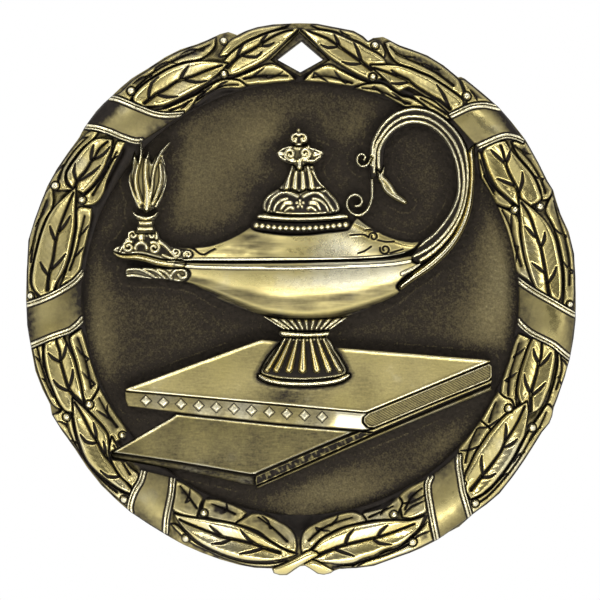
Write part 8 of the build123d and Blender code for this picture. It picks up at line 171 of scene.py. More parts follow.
# Midribs and veins of the leaves, from the tip back and from the midrib out.
LEAF_LINES = {
 "leaf_left_1": ([(-11.11,-20.32),(-10.89,-20.45),(-10.37,-20.69),(-9.12,-21.19),(-7.88,-21.67),(-7.53,-21.83),(-7.14,-21.94),(-5.77,-22.23),(-4.38,-22.53),(-3.84,-22.73),(-3.46,-22.9),(-2.64,-23.16),(-1.94,-23.36)], [[(-6.93,-21.99),(-7.01,-22),(-7.24,-21.89),(-7.81,-21.38),(-8.34,-20.88)], [(-3.92,-22.72),(-4.28,-22.5),(-4.75,-22.17),(-5.19,-21.67),(-5.53,-21.24)], [(-6.22,-22.14),(-6.26,-22.11),(-6.41,-22.13),(-6.77,-22.31),(-7.24,-22.49),(-7.75,-22.53),(-8.16,-22.53)], [(-3.13,-23),(-3.18,-22.94),(-3.36,-22.93),(-3.86,-23.09),(-4.47,-23.27),(-5.09,-23.39),(-5.58,-23.46)]]),
 "leaf_left_2": ([(-20.78,-9.54),(-20.73,-9.61),(-20.6,-9.82),(-20.31,-10.29),(-19.95,-10.92),(-19.57,-11.69),(-19.22,-12.4),(-18.98,-12.74),(-18.76,-13.04),(-18.48,-13.59),(-18.11,-14.24),(-17.58,-14.9),(-16.96,-15.62),(-16.22,-16.54),(-15.62,-17.28)], [[(-18.67,-13.2),(-18.86,-13.27),(-19.12,-13.32),(-19.45,-13.27),(-19.77,-13.13),(-20.04,-12.8),(-20.23,-12.49)], [(-16.47,-16.23),(-16.64,-16.32),(-16.91,-16.41),(-17.31,-16.43),(-17.74,-16.36),(-18.12,-16.08),(-18.39,-15.81)], [(-18.76,-12.95),(-18.79,-12.58),(-18.85,-12.12),(-18.95,-11.7),(-19.03,-11.38)], [(-17.8,-14.61),(-17.86,-14.61),(-17.93,-14.52),(-17.95,-14.18),(-17.97,-13.78),(-18.04,-13.41),(-18.11,-13.13)]]),
 "leaf_left_3": ([(-22.47,-3.46),(-22.45,-3.73),(-22.4,-4.1),(-22.25,-4.51),(-22.11,-4.93),(-22.09,-5.28),(-22.07,-5.67),(-21.96,-6.19),(-21.8,-6.77),(-21.62,-7.39),(-21.43,-7.97),(-21.24,-8.4),(-20.97,-8.8),(-20.43,-9.31),(-19.95,-9.72)], [[(-22.04,-5.82),(-22.11,-5.81),(-22.26,-5.76),(-22.53,-5.62),(-22.81,-5.44),(-23.03,-5.21),(-23.18,-5.02)], [(-21.17,-8.43),(-21.3,-8.46),(-21.52,-8.43),(-21.88,-8.29),(-22.26,-8.06),(-22.53,-7.74),(-22.72,-7.47)], [(-21.24,-8.06),(-21.11,-7.7),(-20.97,-7.24),(-20.93,-6.81),(-20.92,-6.5)], [(-21.94,-5.58),(-21.81,-5.3),(-21.66,-4.93),(-21.57,-4.52),(-21.52,-4.19)]]),
 "leaf_left_4": ([(-20.88,9.72),(-20.99,9.48),(-21.2,8.99),(-21.58,8.06),(-21.98,7.05),(-22.23,6.29),(-22.41,5.67),(-22.51,5.25),(-22.58,4.84),(-22.66,4.23),(-22.76,3.55),(-22.95,2.86),(-23.13,2.17),(-23.23,1.39),(-23.27,0.78)], [[(-22.55,5.3),(-22.69,5.63),(-22.86,6.04),(-22.97,6.41),(-23.04,6.68)], [(-23.24,2.17),(-23.45,2.45),(-23.69,2.81),(-23.83,3.13),(-23.92,3.36)], [(-22.26,6.04),(-21.94,6.41),(-21.57,6.87),(-21.32,7.29),(-21.15,7.6)], [(-23.07,2.42),(-23.06,2.48),(-22.95,2.63),(-22.59,2.96),(-22.17,3.36),(-21.82,3.78),(-21.57,4.1)]]),
 "leaf_left_5": ([(-17.74,14.42),(-18.08,14.15),(-18.48,13.78),(-18.71,13.4),(-18.89,13.04),(-19.09,12.78),(-19.31,12.49),(-19.57,12.03),(-19.86,11.57),(-20.18,11.23),(-20.46,10.92),(-20.64,10.51),(-20.74,10.18)], [[(-19.26,12.76),(-19.23,13.1),(-19.17,13.5),(-19.1,13.85),(-19.03,14.1)], [(-20.6,10.83),(-20.72,11.2),(-20.83,11.66),(-20.77,12.08),(-20.69,12.4)], [(-19.03,12.76),(-18.61,12.95),(-18.11,13.23),(-17.75,13.62),(-17.51,13.96)], [(-20.28,10.83),(-19.75,11.16),(-19.12,11.57),(-18.68,11.94),(-18.39,12.21)]]),
 "leaf_left_6": ([(-7.24,21.43),(-7.49,21.36),(-7.88,21.24),(-8.41,21.05),(-8.99,20.83),(-9.48,20.62),(-10,20.41),(-10.7,20.2),(-11.38,19.95),(-11.87,19.63),(-12.3,19.31),(-12.75,19.07),(-13.23,18.8),(-13.84,18.36),(-14.33,17.97)], [[(-13.89,18.31),(-13.94,18.47),(-13.96,18.76),(-13.87,19.25),(-13.69,19.77),(-13.35,20.13),(-13.04,20.37)], [(-11.24,20),(-11.2,19.98),(-11.11,20.05),(-10.94,20.38),(-10.74,20.78),(-10.48,21.13),(-10.28,21.38)], [(-13.38,18.69),(-13.36,18.74),(-13.23,18.76),(-12.77,18.62),(-12.21,18.48),(-11.69,18.51),(-11.29,18.57)], [(-10.97,20.09),(-10.93,20.13),(-10.74,20.14),(-10.23,19.99),(-9.63,19.86),(-9.06,19.91),(-8.62,20)]]),
 "leaf_left_7": ([(-0.78,24.7),(-1,24.68),(-1.34,24.61),(-1.82,24.43),(-2.35,24.19),(-2.82,23.93),(-3.27,23.64),(-3.69,23.36),(-4.1,23.09),(-4.52,22.85),(-4.93,22.63),(-5.34,22.43),(-5.76,22.17),(-6.3,21.68),(-6.73,21.24)], [[(-5.85,22.17),(-5.69,22.59),(-5.48,23.09),(-5.25,23.44),(-5.07,23.69)], [(-3.83,23.27),(-3.77,23.23),(-3.69,23.27),(-3.59,23.52),(-3.46,23.82),(-3.26,24.07),(-3.09,24.24)], [(-3.64,23.23),(-3.35,23.21),(-3,23.23),(-2.68,23.36),(-2.44,23.5)], [(-5.3,22.3),(-4.74,22.2),(-4.1,22.17),(-3.75,22.41),(-3.55,22.67)]]),
 "leaf_right_1": ([(10.46,-20.74),(10.37,-20.77),(10.09,-20.88),(9.39,-21.15),(8.55,-21.47),(7.82,-21.73),(7.14,-21.94),(6.65,-22.05),(6.08,-22.17),(5.08,-22.41),(4.1,-22.65),(3.67,-22.78),(3.26,-22.93),(2.33,-23.3),(1.5,-23.64)], [[(3.99,-22.69),(4.03,-22.71),(4.1,-22.63),(4.22,-22.25),(4.38,-21.8),(4.65,-21.45),(4.88,-21.2)], [(6.96,-21.98),(6.99,-22),(7.07,-21.94),(7.22,-21.67),(7.42,-21.34),(7.73,-21.04),(7.99,-20.83)], [(2.92,-23.07),(2.95,-23.03),(3.09,-23.03),(3.48,-23.18),(3.97,-23.36),(4.51,-23.54),(4.93,-23.67)], [(6.52,-22.07),(6.55,-22.05),(6.65,-22.07),(6.87,-22.28),(7.22,-22.51),(7.81,-22.58),(8.34,-22.6)]]),
 "leaf_right_2": ([(20.6,-9.91),(20.55,-10.04),(20.44,-10.28),(20.27,-10.68),(20.05,-11.17),(19.79,-11.66),(19.49,-12.16),(19.16,-12.63),(18.85,-13.08),(18.67,-13.51),(18.5,-13.93),(18.23,-14.35),(17.93,-14.77),(17.58,-15.24),(17.23,-15.69),(16.96,-15.98),(16.66,-16.32),(16.14,-17),(15.68,-17.59)], [[(18.78,-13.13),(18.84,-12.72),(18.89,-12.21),(18.88,-11.81),(18.85,-11.53)], [(18.8,-13.66),(19.1,-13.54),(19.45,-13.36),(19.72,-13.12),(19.91,-12.9)], [(16.73,-15.99),(16.65,-15.57),(16.59,-15.07),(16.62,-14.69),(16.66,-14.42)], [(16.52,-16.51),(16.53,-16.49),(16.64,-16.45),(16.98,-16.44),(17.37,-16.41),(17.7,-16.24),(17.93,-16.08)]]),
 "leaf_right_3": ([(22.18,-3.82),(22.18,-4.14),(22.17,-4.56),(22.15,-5),(22.11,-5.42),(22.01,-5.7),(21.89,-5.99),(21.79,-6.45),(21.69,-6.96),(21.54,-7.47),(21.4,-7.96),(21.28,-8.31),(21.19,-8.74),(21.14,-9.6),(21.12,-10.37)], [[(21.87,-6.07),(21.9,-6.04),(21.89,-5.92),(21.71,-5.59),(21.52,-5.21),(21.44,-4.87),(21.4,-4.63)], [(22.04,-6.18),(22.31,-5.91),(22.63,-5.58),(22.85,-5.24),(23,-4.98)], [(21.18,-8.94),(21.2,-8.88),(21.15,-8.71),(20.93,-8.29),(20.69,-7.79),(20.6,-7.32),(20.56,-6.96)], [(21.18,-9.04),(21.17,-9),(21.26,-8.89),(21.6,-8.65),(21.98,-8.34),(22.28,-8.01),(22.5,-7.75)]]),
 "leaf_right_4": ([(20.32,8.8),(20.55,8.47),(20.84,8.02),(21.06,7.6),(21.26,7.11),(21.48,6.43),(21.69,5.76),(21.87,5.28),(22.04,4.84),(22.16,4.36),(22.26,3.86),(22.36,3.32),(22.46,2.73),(22.57,2.07),(22.67,1.39),(22.78,0.64),(22.87,0.05)], [[(21.72,5.67),(21.63,5.68),(21.47,5.76),(21.23,6.02),(20.97,6.31),(20.75,6.51),(20.6,6.64)], [(22.1,4.75),(22.25,5.03),(22.4,5.39),(22.44,5.78),(22.44,6.08)], [(22.4,2.4),(22.08,2.63),(21.71,2.9),(21.44,3.12),(21.26,3.27)], [(22.76,1.43),(23,1.75),(23.27,2.17),(23.42,2.58),(23.5,2.9)]]),
 "leaf_right_5": ([(18.39,14.06),(18.49,13.8),(18.62,13.41),(18.72,12.92),(18.85,12.4),(19.02,11.9),(19.22,11.43),(19.43,11.01),(19.64,10.61),(19.84,10.22),(20.01,9.82),(20.12,9.26),(20.18,8.8)], [[(18.71,12.49),(18.4,12.78),(18.02,13.13),(17.7,13.43),(17.47,13.64)], [(20.09,9.82),(20.25,10.22),(20.4,10.74),(20.4,11.23),(20.36,11.61)], [(19.84,10.18),(19.84,10.23),(19.72,10.32),(19.33,10.5),(18.85,10.69),(18.4,10.88),(18.06,11.01)], [(18.89,12.28),(18.85,12.3),(18.85,12.4),(18.97,12.69),(19.12,13.04),(19.21,13.38),(19.26,13.64)]]),
 "leaf_right_6": ([(6.77,21.2),(7.38,21),(8.16,20.74),(8.85,20.47),(9.45,20.23),(9.79,20.09),(10.05,19.95),(10.34,19.71),(10.65,19.45),(11.01,19.22),(11.38,19),(11.75,18.77),(12.12,18.54),(12.51,18.34),(12.9,18.11),(13.37,17.74),(13.73,17.42)], [[(10.06,19.94),(10.04,19.99),(9.91,20.09),(9.53,20.25),(9.08,20.46),(8.66,20.74),(8.34,20.97)], [(13.73,17.42),(13.75,17.38),(13.69,17.51),(13.42,18.11),(13.09,18.8),(12.75,19.3),(12.49,19.63)], [(9.91,19.9),(9.54,19.81),(9.08,19.72),(8.66,19.74),(8.34,19.79)]]),
 "leaf_right_7": ([(0.6,24.7),(0.74,24.62),(1.06,24.47),(1.71,24.23),(2.44,23.92),(3.02,23.55),(3.55,23.18),(4.02,22.85),(4.47,22.53),(4.92,22.22),(5.39,21.89),(6,21.43),(6.5,21.06)], [[(3.74,23.05),(3.68,23.03),(3.59,23.09),(3.49,23.38),(3.36,23.73),(3.21,24.03),(3.09,24.24)], [(5.72,21.64),(5.67,21.68),(5.58,21.84),(5.4,22.35),(5.21,22.9),(5.02,23.27),(4.88,23.5)], [(3.32,23.13),(2.97,23.07),(2.53,23.04),(2.14,23.17),(1.85,23.32)], [(5.48,21.57),(5.07,21.53),(4.56,21.52),(4.14,21.63),(3.82,21.75)]]),
 "in_Li1": ([(-3.92,-20.14),(-3.36,-20.52),(-2.63,-21.06),(-1.85,-21.76),(-1.24,-22.35)], [[(-2.57,-21.11),(-2.68,-21.17),(-2.81,-21.15),(-2.88,-20.86),(-3,-20.51),(-3.28,-20.24),(-3.55,-20.05)]]),
 "in_Li2": ([(-8.16,-18.94),(-7.77,-19.09),(-7.24,-19.31),(-6.58,-19.61),(-6.04,-19.86)], [[(-6.96,-19.43),(-7.02,-19.58),(-7.05,-19.68),(-6.91,-19.54),(-6.77,-19.31),(-6.8,-19.03),(-6.87,-18.8)]]),
 "in_Li3": ([(-11.11,-17.28),(-10.74,-17.72),(-10.28,-18.29),(-9.86,-18.87),(-9.54,-19.31)], [[(-10.11,-18.52),(-10.35,-18.67),(-10.55,-18.76),(-10.45,-18.53),(-10.28,-18.2),(-10.21,-17.85),(-10.18,-17.56)]]),
 "in_Li4": ([(-17.19,-13.5),(-16.97,-13.96),(-16.64,-14.61),(-16.14,-15.46),(-15.71,-16.18)], [[(-16.27,-15.25),(-16.41,-14.93),(-16.54,-14.52),(-16.56,-14.15),(-16.54,-13.87)]]),
 "in_Li5": ([(-18.57,-9.17),(-18.31,-9.68),(-17.93,-10.37),(-17.38,-11.18),(-16.91,-11.84)], [[(-17.36,-11.2),(-17.44,-11.2),(-17.56,-11.11),(-17.71,-10.77),(-17.83,-10.37),(-17.81,-10),(-17.74,-9.72)], [(-17.56,-11.11),(-17.85,-10.9),(-18.2,-10.65),(-18.52,-10.43),(-18.76,-10.28)]]),
 "in_Li6": ([(-20.51,-3.64),(-20.31,-4.23),(-20.05,-5.02),(-19.8,-5.79),(-19.59,-6.59),(-19.42,-7.52),(-19.31,-8.25)], [[(-19.81,-5.82),(-19.64,-5.72),(-19.54,-5.58),(-19.79,-5.37),(-20.14,-5.12),(-20.41,-4.76),(-20.6,-4.47)], [(-19.33,-8.11),(-19.1,-8.03),(-18.94,-7.88),(-19.21,-7.62),(-19.59,-7.33),(-19.86,-7.02),(-20.05,-6.77)]]),
 "in_Li7": ([(-19.86,7.6),(-20.02,6.97),(-20.23,6.13),(-20.4,5.32),(-20.6,4.47),(-20.94,3.44),(-21.24,2.63)], [[(-20.34,5.64),(-20.38,5.68),(-20.37,5.76),(-20.19,5.91),(-19.95,6.13),(-19.7,6.47),(-19.49,6.77)], [(-20.83,3.82),(-20.65,3.97),(-20.41,4.19),(-20.16,4.49),(-19.95,4.75)]]),
 "in_Li8": ([(-16.91,13.5),(-17.23,12.9),(-17.65,12.12),(-18.07,11.37),(-18.48,10.65),(-18.85,10),(-19.12,9.54)], [[(-17.66,12.09),(-17.73,12.17),(-17.74,12.3),(-17.6,12.52),(-17.37,12.76),(-17.07,12.98),(-16.82,13.13)]]),
 "in_Li9": ([(-10,18.29),(-10.39,18.05),(-10.92,17.74),(-11.53,17.48),(-12.03,17.28)], [[(-10.26,18.14),(-10.3,18.15),(-10.37,18.11),(-10.49,17.94),(-10.65,17.74),(-10.85,17.58),(-11.01,17.47)]]),
 "in_Li10": ([(-5.76,19.68),(-6.28,19.69),(-6.96,19.63),(-7.6,19.4),(-8.25,19.08),(-8.97,18.65),(-9.54,18.29)], [[(-7.79,19.31),(-7.55,19.52),(-7.24,19.77),(-6.92,19.91),(-6.68,20)], [(-9.17,18.57),(-8.97,18.82),(-8.71,19.12),(-8.4,19.37),(-8.16,19.54)]]),
 "in_Li11": ([(-1.15,20.51),(-1.66,20.53),(-2.35,20.55),(-3.02,20.55),(-3.73,20.51),(-4.56,20.37),(-5.21,20.23)], [[(-3.21,20.52),(-3.16,20.41),(-3,20.32),(-2.6,20.41),(-2.17,20.55),(-1.84,20.73),(-1.61,20.88)], [(-4.74,20.32),(-4.69,20.29),(-4.56,20.32),(-4.26,20.53),(-3.92,20.78),(-3.6,21.02),(-3.36,21.2)]]),
 "out_Lo1": ([], []),
 "out_Lo2": ([(-21.61,-10.46),(-21.54,-11.16),(-21.34,-12.12),(-20.92,-13.1),(-20.32,-14.15),(-19.54,-15.29),(-18.66,-16.36),(-17.68,-17.24),(-16.91,-17.83)], [[(-21.24,-12.3),(-21.38,-11.95),(-21.61,-11.57),(-22,-11.38),(-22.35,-11.29)], [(-20.18,-14.34),(-20.14,-14.24),(-20.14,-14.06),(-20.27,-13.69),(-20.51,-13.32),(-20.9,-13.13),(-21.24,-13.04)], [(-19.48,-15.26),(-19.39,-15.24),(-19.22,-15.25),(-18.91,-15.34),(-18.57,-15.53),(-18.3,-15.92),(-18.11,-16.27)]]),
 "out_Lo3": ([(-24.29,-4.29),(-24.14,-4.95),(-23.92,-5.85),(-23.66,-6.79),(-23.36,-7.7),(-23.01,-8.46),(-22.72,-8.99)], [[(-23.75,-6.39),(-23.72,-6.34),(-23.73,-6.22),(-23.89,-5.96),(-24.1,-5.67),(-24.31,-5.45),(-24.47,-5.3)], [(-23.09,-8.34),(-23.2,-8.04),(-23.36,-7.7),(-23.61,-7.47),(-23.82,-7.33)]]),
 "out_Lo4": ([(-23.36,9.08),(-23.65,8.38),(-24.01,7.42),(-24.31,6.43),(-24.56,5.39),(-24.74,4.25),(-24.84,3.36)], [[(-23.74,8.1),(-23.67,8.02),(-23.64,7.88),(-23.82,7.64),(-24.06,7.33),(-24.29,6.92),(-24.47,6.59)], [(-24.51,5.58),(-24.47,5.53),(-24.47,5.39),(-24.59,5.1),(-24.75,4.75),(-24.88,4.34),(-24.98,4.01)]]),
 "out_Lo5": ([(-19.59,14.88),(-20.17,14.34),(-20.88,13.59),(-21.43,12.81),(-21.89,12.03),(-22.18,11.28),(-22.35,10.74)], [[(-19.77,14.84),(-20.05,14.78),(-20.41,14.65),(-20.78,14.34),(-21.06,14.06)], [(-21.57,12.51),(-21.56,12.47),(-21.61,12.4),(-21.82,12.29),(-22.07,12.12),(-22.33,11.83),(-22.53,11.57)]]),
 "out_Lo6": ([(-8.43,23.36),(-9.1,23.05),(-10,22.63),(-10.89,22.24),(-11.84,21.8),(-12.86,21.26),(-13.87,20.6),(-14.87,19.65),(-15.62,18.85)], [[(-8.9,23.14),(-8.88,22.97),(-8.99,22.81),(-9.43,22.89),(-10,22.95),(-10.57,22.75),(-11.01,22.53)], [(-13.4,20.87),(-13.42,21.03),(-13.32,21.24),(-12.92,21.53),(-12.4,21.75),(-11.83,21.71),(-11.38,21.61)], [(-13.72,20.69),(-13.7,20.55),(-13.78,20.41),(-14.15,20.41),(-14.61,20.37),(-15.07,20.07),(-15.44,19.77)]]),
 "out_Lo7": ([], []),
 "in_Ri1": ([(4.75,-20.18),(4.15,-20.35),(3.36,-20.6),(2.61,-20.88),(1.89,-21.24),(1.24,-21.79),(0.78,-22.26)], [[(1.65,-21.46),(1.5,-21.26),(1.43,-21.1),(1.69,-21.19),(2.06,-21.33),(2.43,-21.37),(2.72,-21.39)], [(2.66,-20.91),(2.71,-20.92),(2.81,-20.88),(3.04,-20.67),(3.27,-20.41),(3.39,-20.18),(3.46,-20)]]),
 "in_Ri2": ([(8.53,-19.12),(7.99,-19.37),(7.33,-19.68),(6.75,-19.94),(6.31,-20.14)], [[(7.94,-19.39),(7.88,-19.33),(7.79,-19.31),(7.65,-19.47),(7.51,-19.68),(7.4,-19.84),(7.33,-19.95)]]),
 "in_Ri3": ([(11.2,-17.47),(10.73,-17.81),(10.18,-18.29),(9.84,-18.9),(9.63,-19.4)], [[(11.38,-18.11),(10.8,-18.46),(10.09,-18.8),(9.48,-18.85),(9.03,-18.8)], [(9.54,-19.86),(9.78,-19.55),(10.18,-19.17),(10.87,-18.83),(11.47,-18.57)]]),
 "in_Ri4": ([(16.27,-12.03),(15.97,-12.62),(15.62,-13.41),(15.35,-14.33),(15.16,-15.07)], [[(14.75,-14.01),(15.07,-14.01),(15.53,-13.96),(16.09,-13.73),(16.54,-13.5)], [(16.27,-12.03),(16.36,-11.97),(16.53,-11.9),(16.79,-11.89),(17.1,-11.86),(17.41,-11.71),(17.65,-11.57)]]),
 "in_Ri5": ([(18.02,-9.54),(17.85,-9.94),(17.65,-10.46),(17.49,-10.98),(17.37,-11.38)], [[(18.2,-11.11),(17.83,-11.43),(17.37,-11.75),(17,-11.77),(16.73,-11.71)]]),
 "in_Ri6": ([(20.14,-4.1),(19.94,-4.83),(19.68,-5.76),(19.42,-6.6),(19.22,-7.42),(19.14,-8.26),(19.12,-8.89)], [[(19.74,-5.52),(19.66,-5.47),(19.64,-5.37),(19.85,-5.22),(20.14,-5.02),(20.42,-4.75),(20.65,-4.52)], [(19.2,-7.67),(18.99,-7.63),(18.85,-7.56),(19.07,-7.42),(19.4,-7.24),(19.71,-6.98),(19.95,-6.77)]]),
 "in_Ri7": ([(18.57,8.16),(18.91,7.53),(19.31,6.68),(19.55,5.78),(19.77,4.84),(20.07,3.8),(20.32,3)], [[(19.45,6.13),(19.42,6.49),(19.4,6.96),(19.4,7.43),(19.4,7.79)], [(19.76,4.87),(19.89,4.85),(20,4.75),(19.97,4.41),(19.91,4.01),(19.88,3.64),(19.86,3.36)]]),
 "in_Ri8": ([(16.54,12.76),(16.77,12.06),(17.1,11.2),(17.5,10.46),(17.83,9.91)], [[(16.99,11.49),(16.93,11.42),(16.91,11.29),(17.05,11.08),(17.28,10.74),(17.6,10.1),(17.88,9.54)]]),
 "in_Ri9": ([(11.01,18.43),(11.54,18.13),(12.21,17.74),(12.89,17.33),(13.41,17)], []),
 "in_Ri10": ([(5.67,19.4),(6.31,19.35),(7.14,19.22),(7.88,18.9),(8.62,18.53),(9.45,18.18),(10.09,17.93)], [[(6.57,19.29),(6.63,19.42),(6.77,19.49),(7.07,19.32),(7.42,19.03),(7.78,18.66),(8.06,18.34)], [(9.86,18.02),(9.78,17.94),(9.63,17.93),(9.38,18.17),(9.08,18.48),(8.72,18.74),(8.43,18.94)]]),
 "in_Ri11": ([(1.06,20.37),(1.58,20.46),(2.26,20.51),(2.9,20.4),(3.55,20.23),(4.23,20.03),(4.75,19.86)], [[(1.2,20.38),(1.21,20.61),(1.29,20.78),(1.56,20.63),(1.89,20.37),(2.25,20.14),(2.53,19.95)], [(4.32,19.99),(4.25,19.89),(4.1,19.86),(3.84,20.1),(3.55,20.41),(3.28,20.73),(3.09,20.97)]]),
 "out_Ro1": ([(4.75,-24.7),(5.1,-24.5),(5.67,-24.24),(6.45,-24.02),(7.33,-23.78),(8.17,-23.48),(8.99,-23.13),(9.83,-22.7),(10.46,-22.35)], [[(8.86,-23.18),(8.89,-23.03),(9.08,-22.77),(9.6,-22.44),(10.28,-21.98),(11.04,-21.19),(11.66,-20.51)], [(10.46,-22.35),(10.52,-22.16),(10.65,-21.94),(10.89,-21.79),(11.2,-21.66),(11.6,-21.5),(11.94,-21.38)], [(7.14,-23.82),(6.65,-23.97),(6.04,-24.19),(5.51,-24.49),(5.12,-24.75)]]),
 "out_Ro2": ([(22.63,-10.46),(22.42,-11.01),(22.07,-11.75),(21.55,-12.51),(20.97,-13.32),(20.47,-14.19),(19.95,-15.07),(19.34,-15.91),(18.66,-16.73),(17.93,-17.56),(17.19,-18.29),(16.45,-18.81),(15.9,-19.12)], [[(21.06,-13.04),(21.25,-12.7),(21.52,-12.3),(21.87,-12.03),(22.17,-11.84)], [(20.58,-13.99),(20.62,-14.05),(20.6,-14.15),(20.35,-14.25),(20.05,-14.42),(19.78,-14.81),(19.59,-15.16)], [(19.13,-16.13),(19.03,-16.12),(18.85,-16.18),(18.55,-16.41),(18.2,-16.73),(17.84,-17.13),(17.56,-17.47)]]),
 "out_Ro3": ([(23.96,-5.3),(24.04,-5.84),(24.06,-6.59),(23.81,-7.55),(23.55,-8.34)], [[(24.01,-5.53),(24.18,-5.66),(24.38,-5.85),(24.54,-6.15),(24.65,-6.41)], [(23.89,-7.18),(23.8,-7.18),(23.73,-7.24),(23.8,-7.45),(23.92,-7.7),(24.07,-7.91),(24.19,-8.06)]]),
 "out_Ro4": ([(23.32,8.99),(23.49,8.33),(23.73,7.42),(24.06,6.43),(24.38,5.39),(24.6,4.38),(24.75,3.36),(24.77,2.18),(24.75,1.24)], [[(24.32,5.57),(24.44,5.65),(24.47,5.76),(24.14,5.9),(23.73,6.08),(23.44,6.37),(23.24,6.61)], [(24.75,2.32),(25.02,2.35),(25.21,2.44),(24.91,2.66),(24.51,2.94),(24.26,3.26),(24.1,3.51)]]),
 "out_Ro5": ([(20.05,13.78),(20.59,13.24),(21.24,12.49),(21.76,11.65),(22.17,10.83),(22.41,10.17),(22.53,9.72)], [[(20.05,13.78),(19.85,13.95),(19.72,14.06),(19.95,13.84),(20.32,13.55),(20.82,13.38),(21.24,13.27)], [(22.17,10.83),(22.29,10.92),(22.35,11.01),(22.11,11.05),(21.8,11.11),(21.53,11.27),(21.34,11.43)]]),
 "out_Ro6": ([(8.25,23.18),(8.61,22.81),(9.17,22.35),(9.9,22.01),(10.74,21.66),(11.61,21.25),(12.49,20.78),(13.38,20.13),(14.06,19.59)], [[(8.75,22.73),(8.73,22.64),(8.8,22.52),(9.11,22.38),(9.54,22.26),(10.09,22.22),(10.55,22.22)], [(11.08,21.49),(11.18,21.58),(11.38,21.61),(11.72,21.39),(12.12,21.15),(12.58,21.1),(12.95,21.11)]]),
 "out_Ro7": ([], [[(15.62,19.22),(15.79,19.02),(15.99,18.76),(16.15,18.45),(16.27,18.2)]]),
 "out_Ro8": ([], [[(3.64,24.65),(3.79,24.51),(4.01,24.33),(4.31,24.2),(4.56,24.1)]]),
}
CORDS = {
 "band_upper_left": [[(-10.74,17),(-11.13,16.96),(-11.69,16.91),(-12.21,16.88),(-12.63,16.9),(-13.02,16.95),(-13.41,17.03),(-13.81,17.15),(-14.22,17.31),(-14.61,17.47),(-14.98,17.62),(-15.35,17.77),(-15.71,17.93),(-16.09,18.09),(-16.47,18.25),(-16.82,18.39),(-17.15,18.48),(-17.44,18.53),(-17.65,18.57)], [(-14.65,14.44),(-14.79,14.42),(-14.99,14.4),(-15.25,14.42),(-15.61,14.51),(-16.03,14.65),(-16.45,14.79),(-16.85,14.96),(-17.25,15.14),(-17.65,15.3),(-18.05,15.44),(-18.46,15.57),(-18.85,15.67),(-19.26,15.74),(-19.67,15.78),(-19.95,15.81)]],
 "band_upper_right": [[(13.69,16.77),(13.9,16.88),(14.2,17.04),(14.52,17.19),(14.81,17.33),(15.12,17.48),(15.4,17.59),(15.65,17.68),(15.87,17.74),(16.11,17.78),(16.39,17.81),(16.69,17.83),(16.96,17.83),(17.17,17.82),(17.35,17.78),(17.56,17.74),(17.85,17.68),(18.16,17.61),(18.39,17.56)], [(16.31,13.89),(16.59,14.02),(16.99,14.2),(17.37,14.37),(17.72,14.52),(18.06,14.66),(18.37,14.77),(18.62,14.85),(18.84,14.9),(19.07,14.91),(19.33,14.89),(19.59,14.84),(19.85,14.77),(20.13,14.67),(20.41,14.56),(20.6,14.47)]],
 "band_middle_left": [[(-19.95,2.58),(-20.16,2.32),(-20.46,1.95),(-20.78,1.61),(-21.1,1.36),(-21.45,1.14),(-21.8,0.92),(-22.16,0.71),(-22.53,0.51),(-22.9,0.32),(-23.27,0.16),(-23.63,0.01),(-24.01,-0.14),(-24.47,-0.3),(-24.96,-0.45),(-25.3,-0.55)], [(-20,-1.89),(-20.12,-2.03),(-20.3,-2.24),(-20.51,-2.44),(-20.71,-2.63),(-20.94,-2.81),(-21.24,-3),(-21.67,-3.16),(-22.19,-3.33),(-22.72,-3.51),(-23.3,-3.74),(-23.89,-3.99),(-24.38,-4.19),(-24.69,-4.33),(-24.89,-4.41),(-25.02,-4.47)]],
 "band_middle_right": [[(19.94,1.84),(20.14,1.68),(20.44,1.43),(20.77,1.18),(21.14,0.93),(21.55,0.67),(21.97,0.41),(22.43,0.15),(22.92,-0.12),(23.36,-0.37),(23.75,-0.6),(24.1,-0.81),(24.43,-1),(24.78,-1.19),(25.11,-1.36),(25.35,-1.47)], [(19.97,-2.09),(20.07,-2.22),(20.22,-2.4),(20.41,-2.6),(20.66,-2.82),(20.95,-3.05),(21.26,-3.27),(21.61,-3.46),(21.97,-3.63),(22.32,-3.8),(22.64,-3.95),(22.94,-4.11),(23.24,-4.29),(23.53,-4.51),(23.82,-4.76),(24.1,-5),(24.38,-5.22),(24.65,-5.43),(24.84,-5.58)]],
 "band_lower_left": [[(-14.45,-15.81),(-14.52,-16.07),(-14.62,-16.44),(-14.74,-16.78),(-14.87,-17.03),(-15.02,-17.24),(-15.16,-17.47),(-15.29,-17.73),(-15.42,-18.01),(-15.53,-18.29),(-15.63,-18.6),(-15.71,-18.91),(-15.76,-19.18),(-15.76,-19.39),(-15.74,-19.56),(-15.71,-19.68)], [(-11.71,-16.51),(-11.74,-16.89),(-11.79,-17.43),(-11.84,-17.93),(-11.9,-18.27),(-11.96,-18.56),(-12.03,-18.9),(-12.12,-19.34),(-12.22,-19.84),(-12.3,-20.32),(-12.35,-20.84),(-12.38,-21.35),(-12.4,-21.71)]],
 "band_lower_right": [[(14.59,-14.31),(14.58,-14.59),(14.58,-14.99),(14.59,-15.37),(14.62,-15.67),(14.67,-15.95),(14.73,-16.29),(14.79,-16.72),(14.86,-17.19),(14.94,-17.63),(15.02,-17.97),(15.12,-18.27),(15.23,-18.62),(15.38,-19.13),(15.55,-19.69),(15.67,-20.09)], [(11.94,-16.41),(11.85,-16.58),(11.74,-16.83),(11.66,-17.1),(11.64,-17.36),(11.66,-17.65),(11.7,-17.98),(11.75,-18.4),(11.83,-18.86),(11.91,-19.31),(11.97,-19.68),(12.03,-20.02),(12.12,-20.45),(12.26,-21.1),(12.42,-21.83),(12.53,-22.35)]],
}
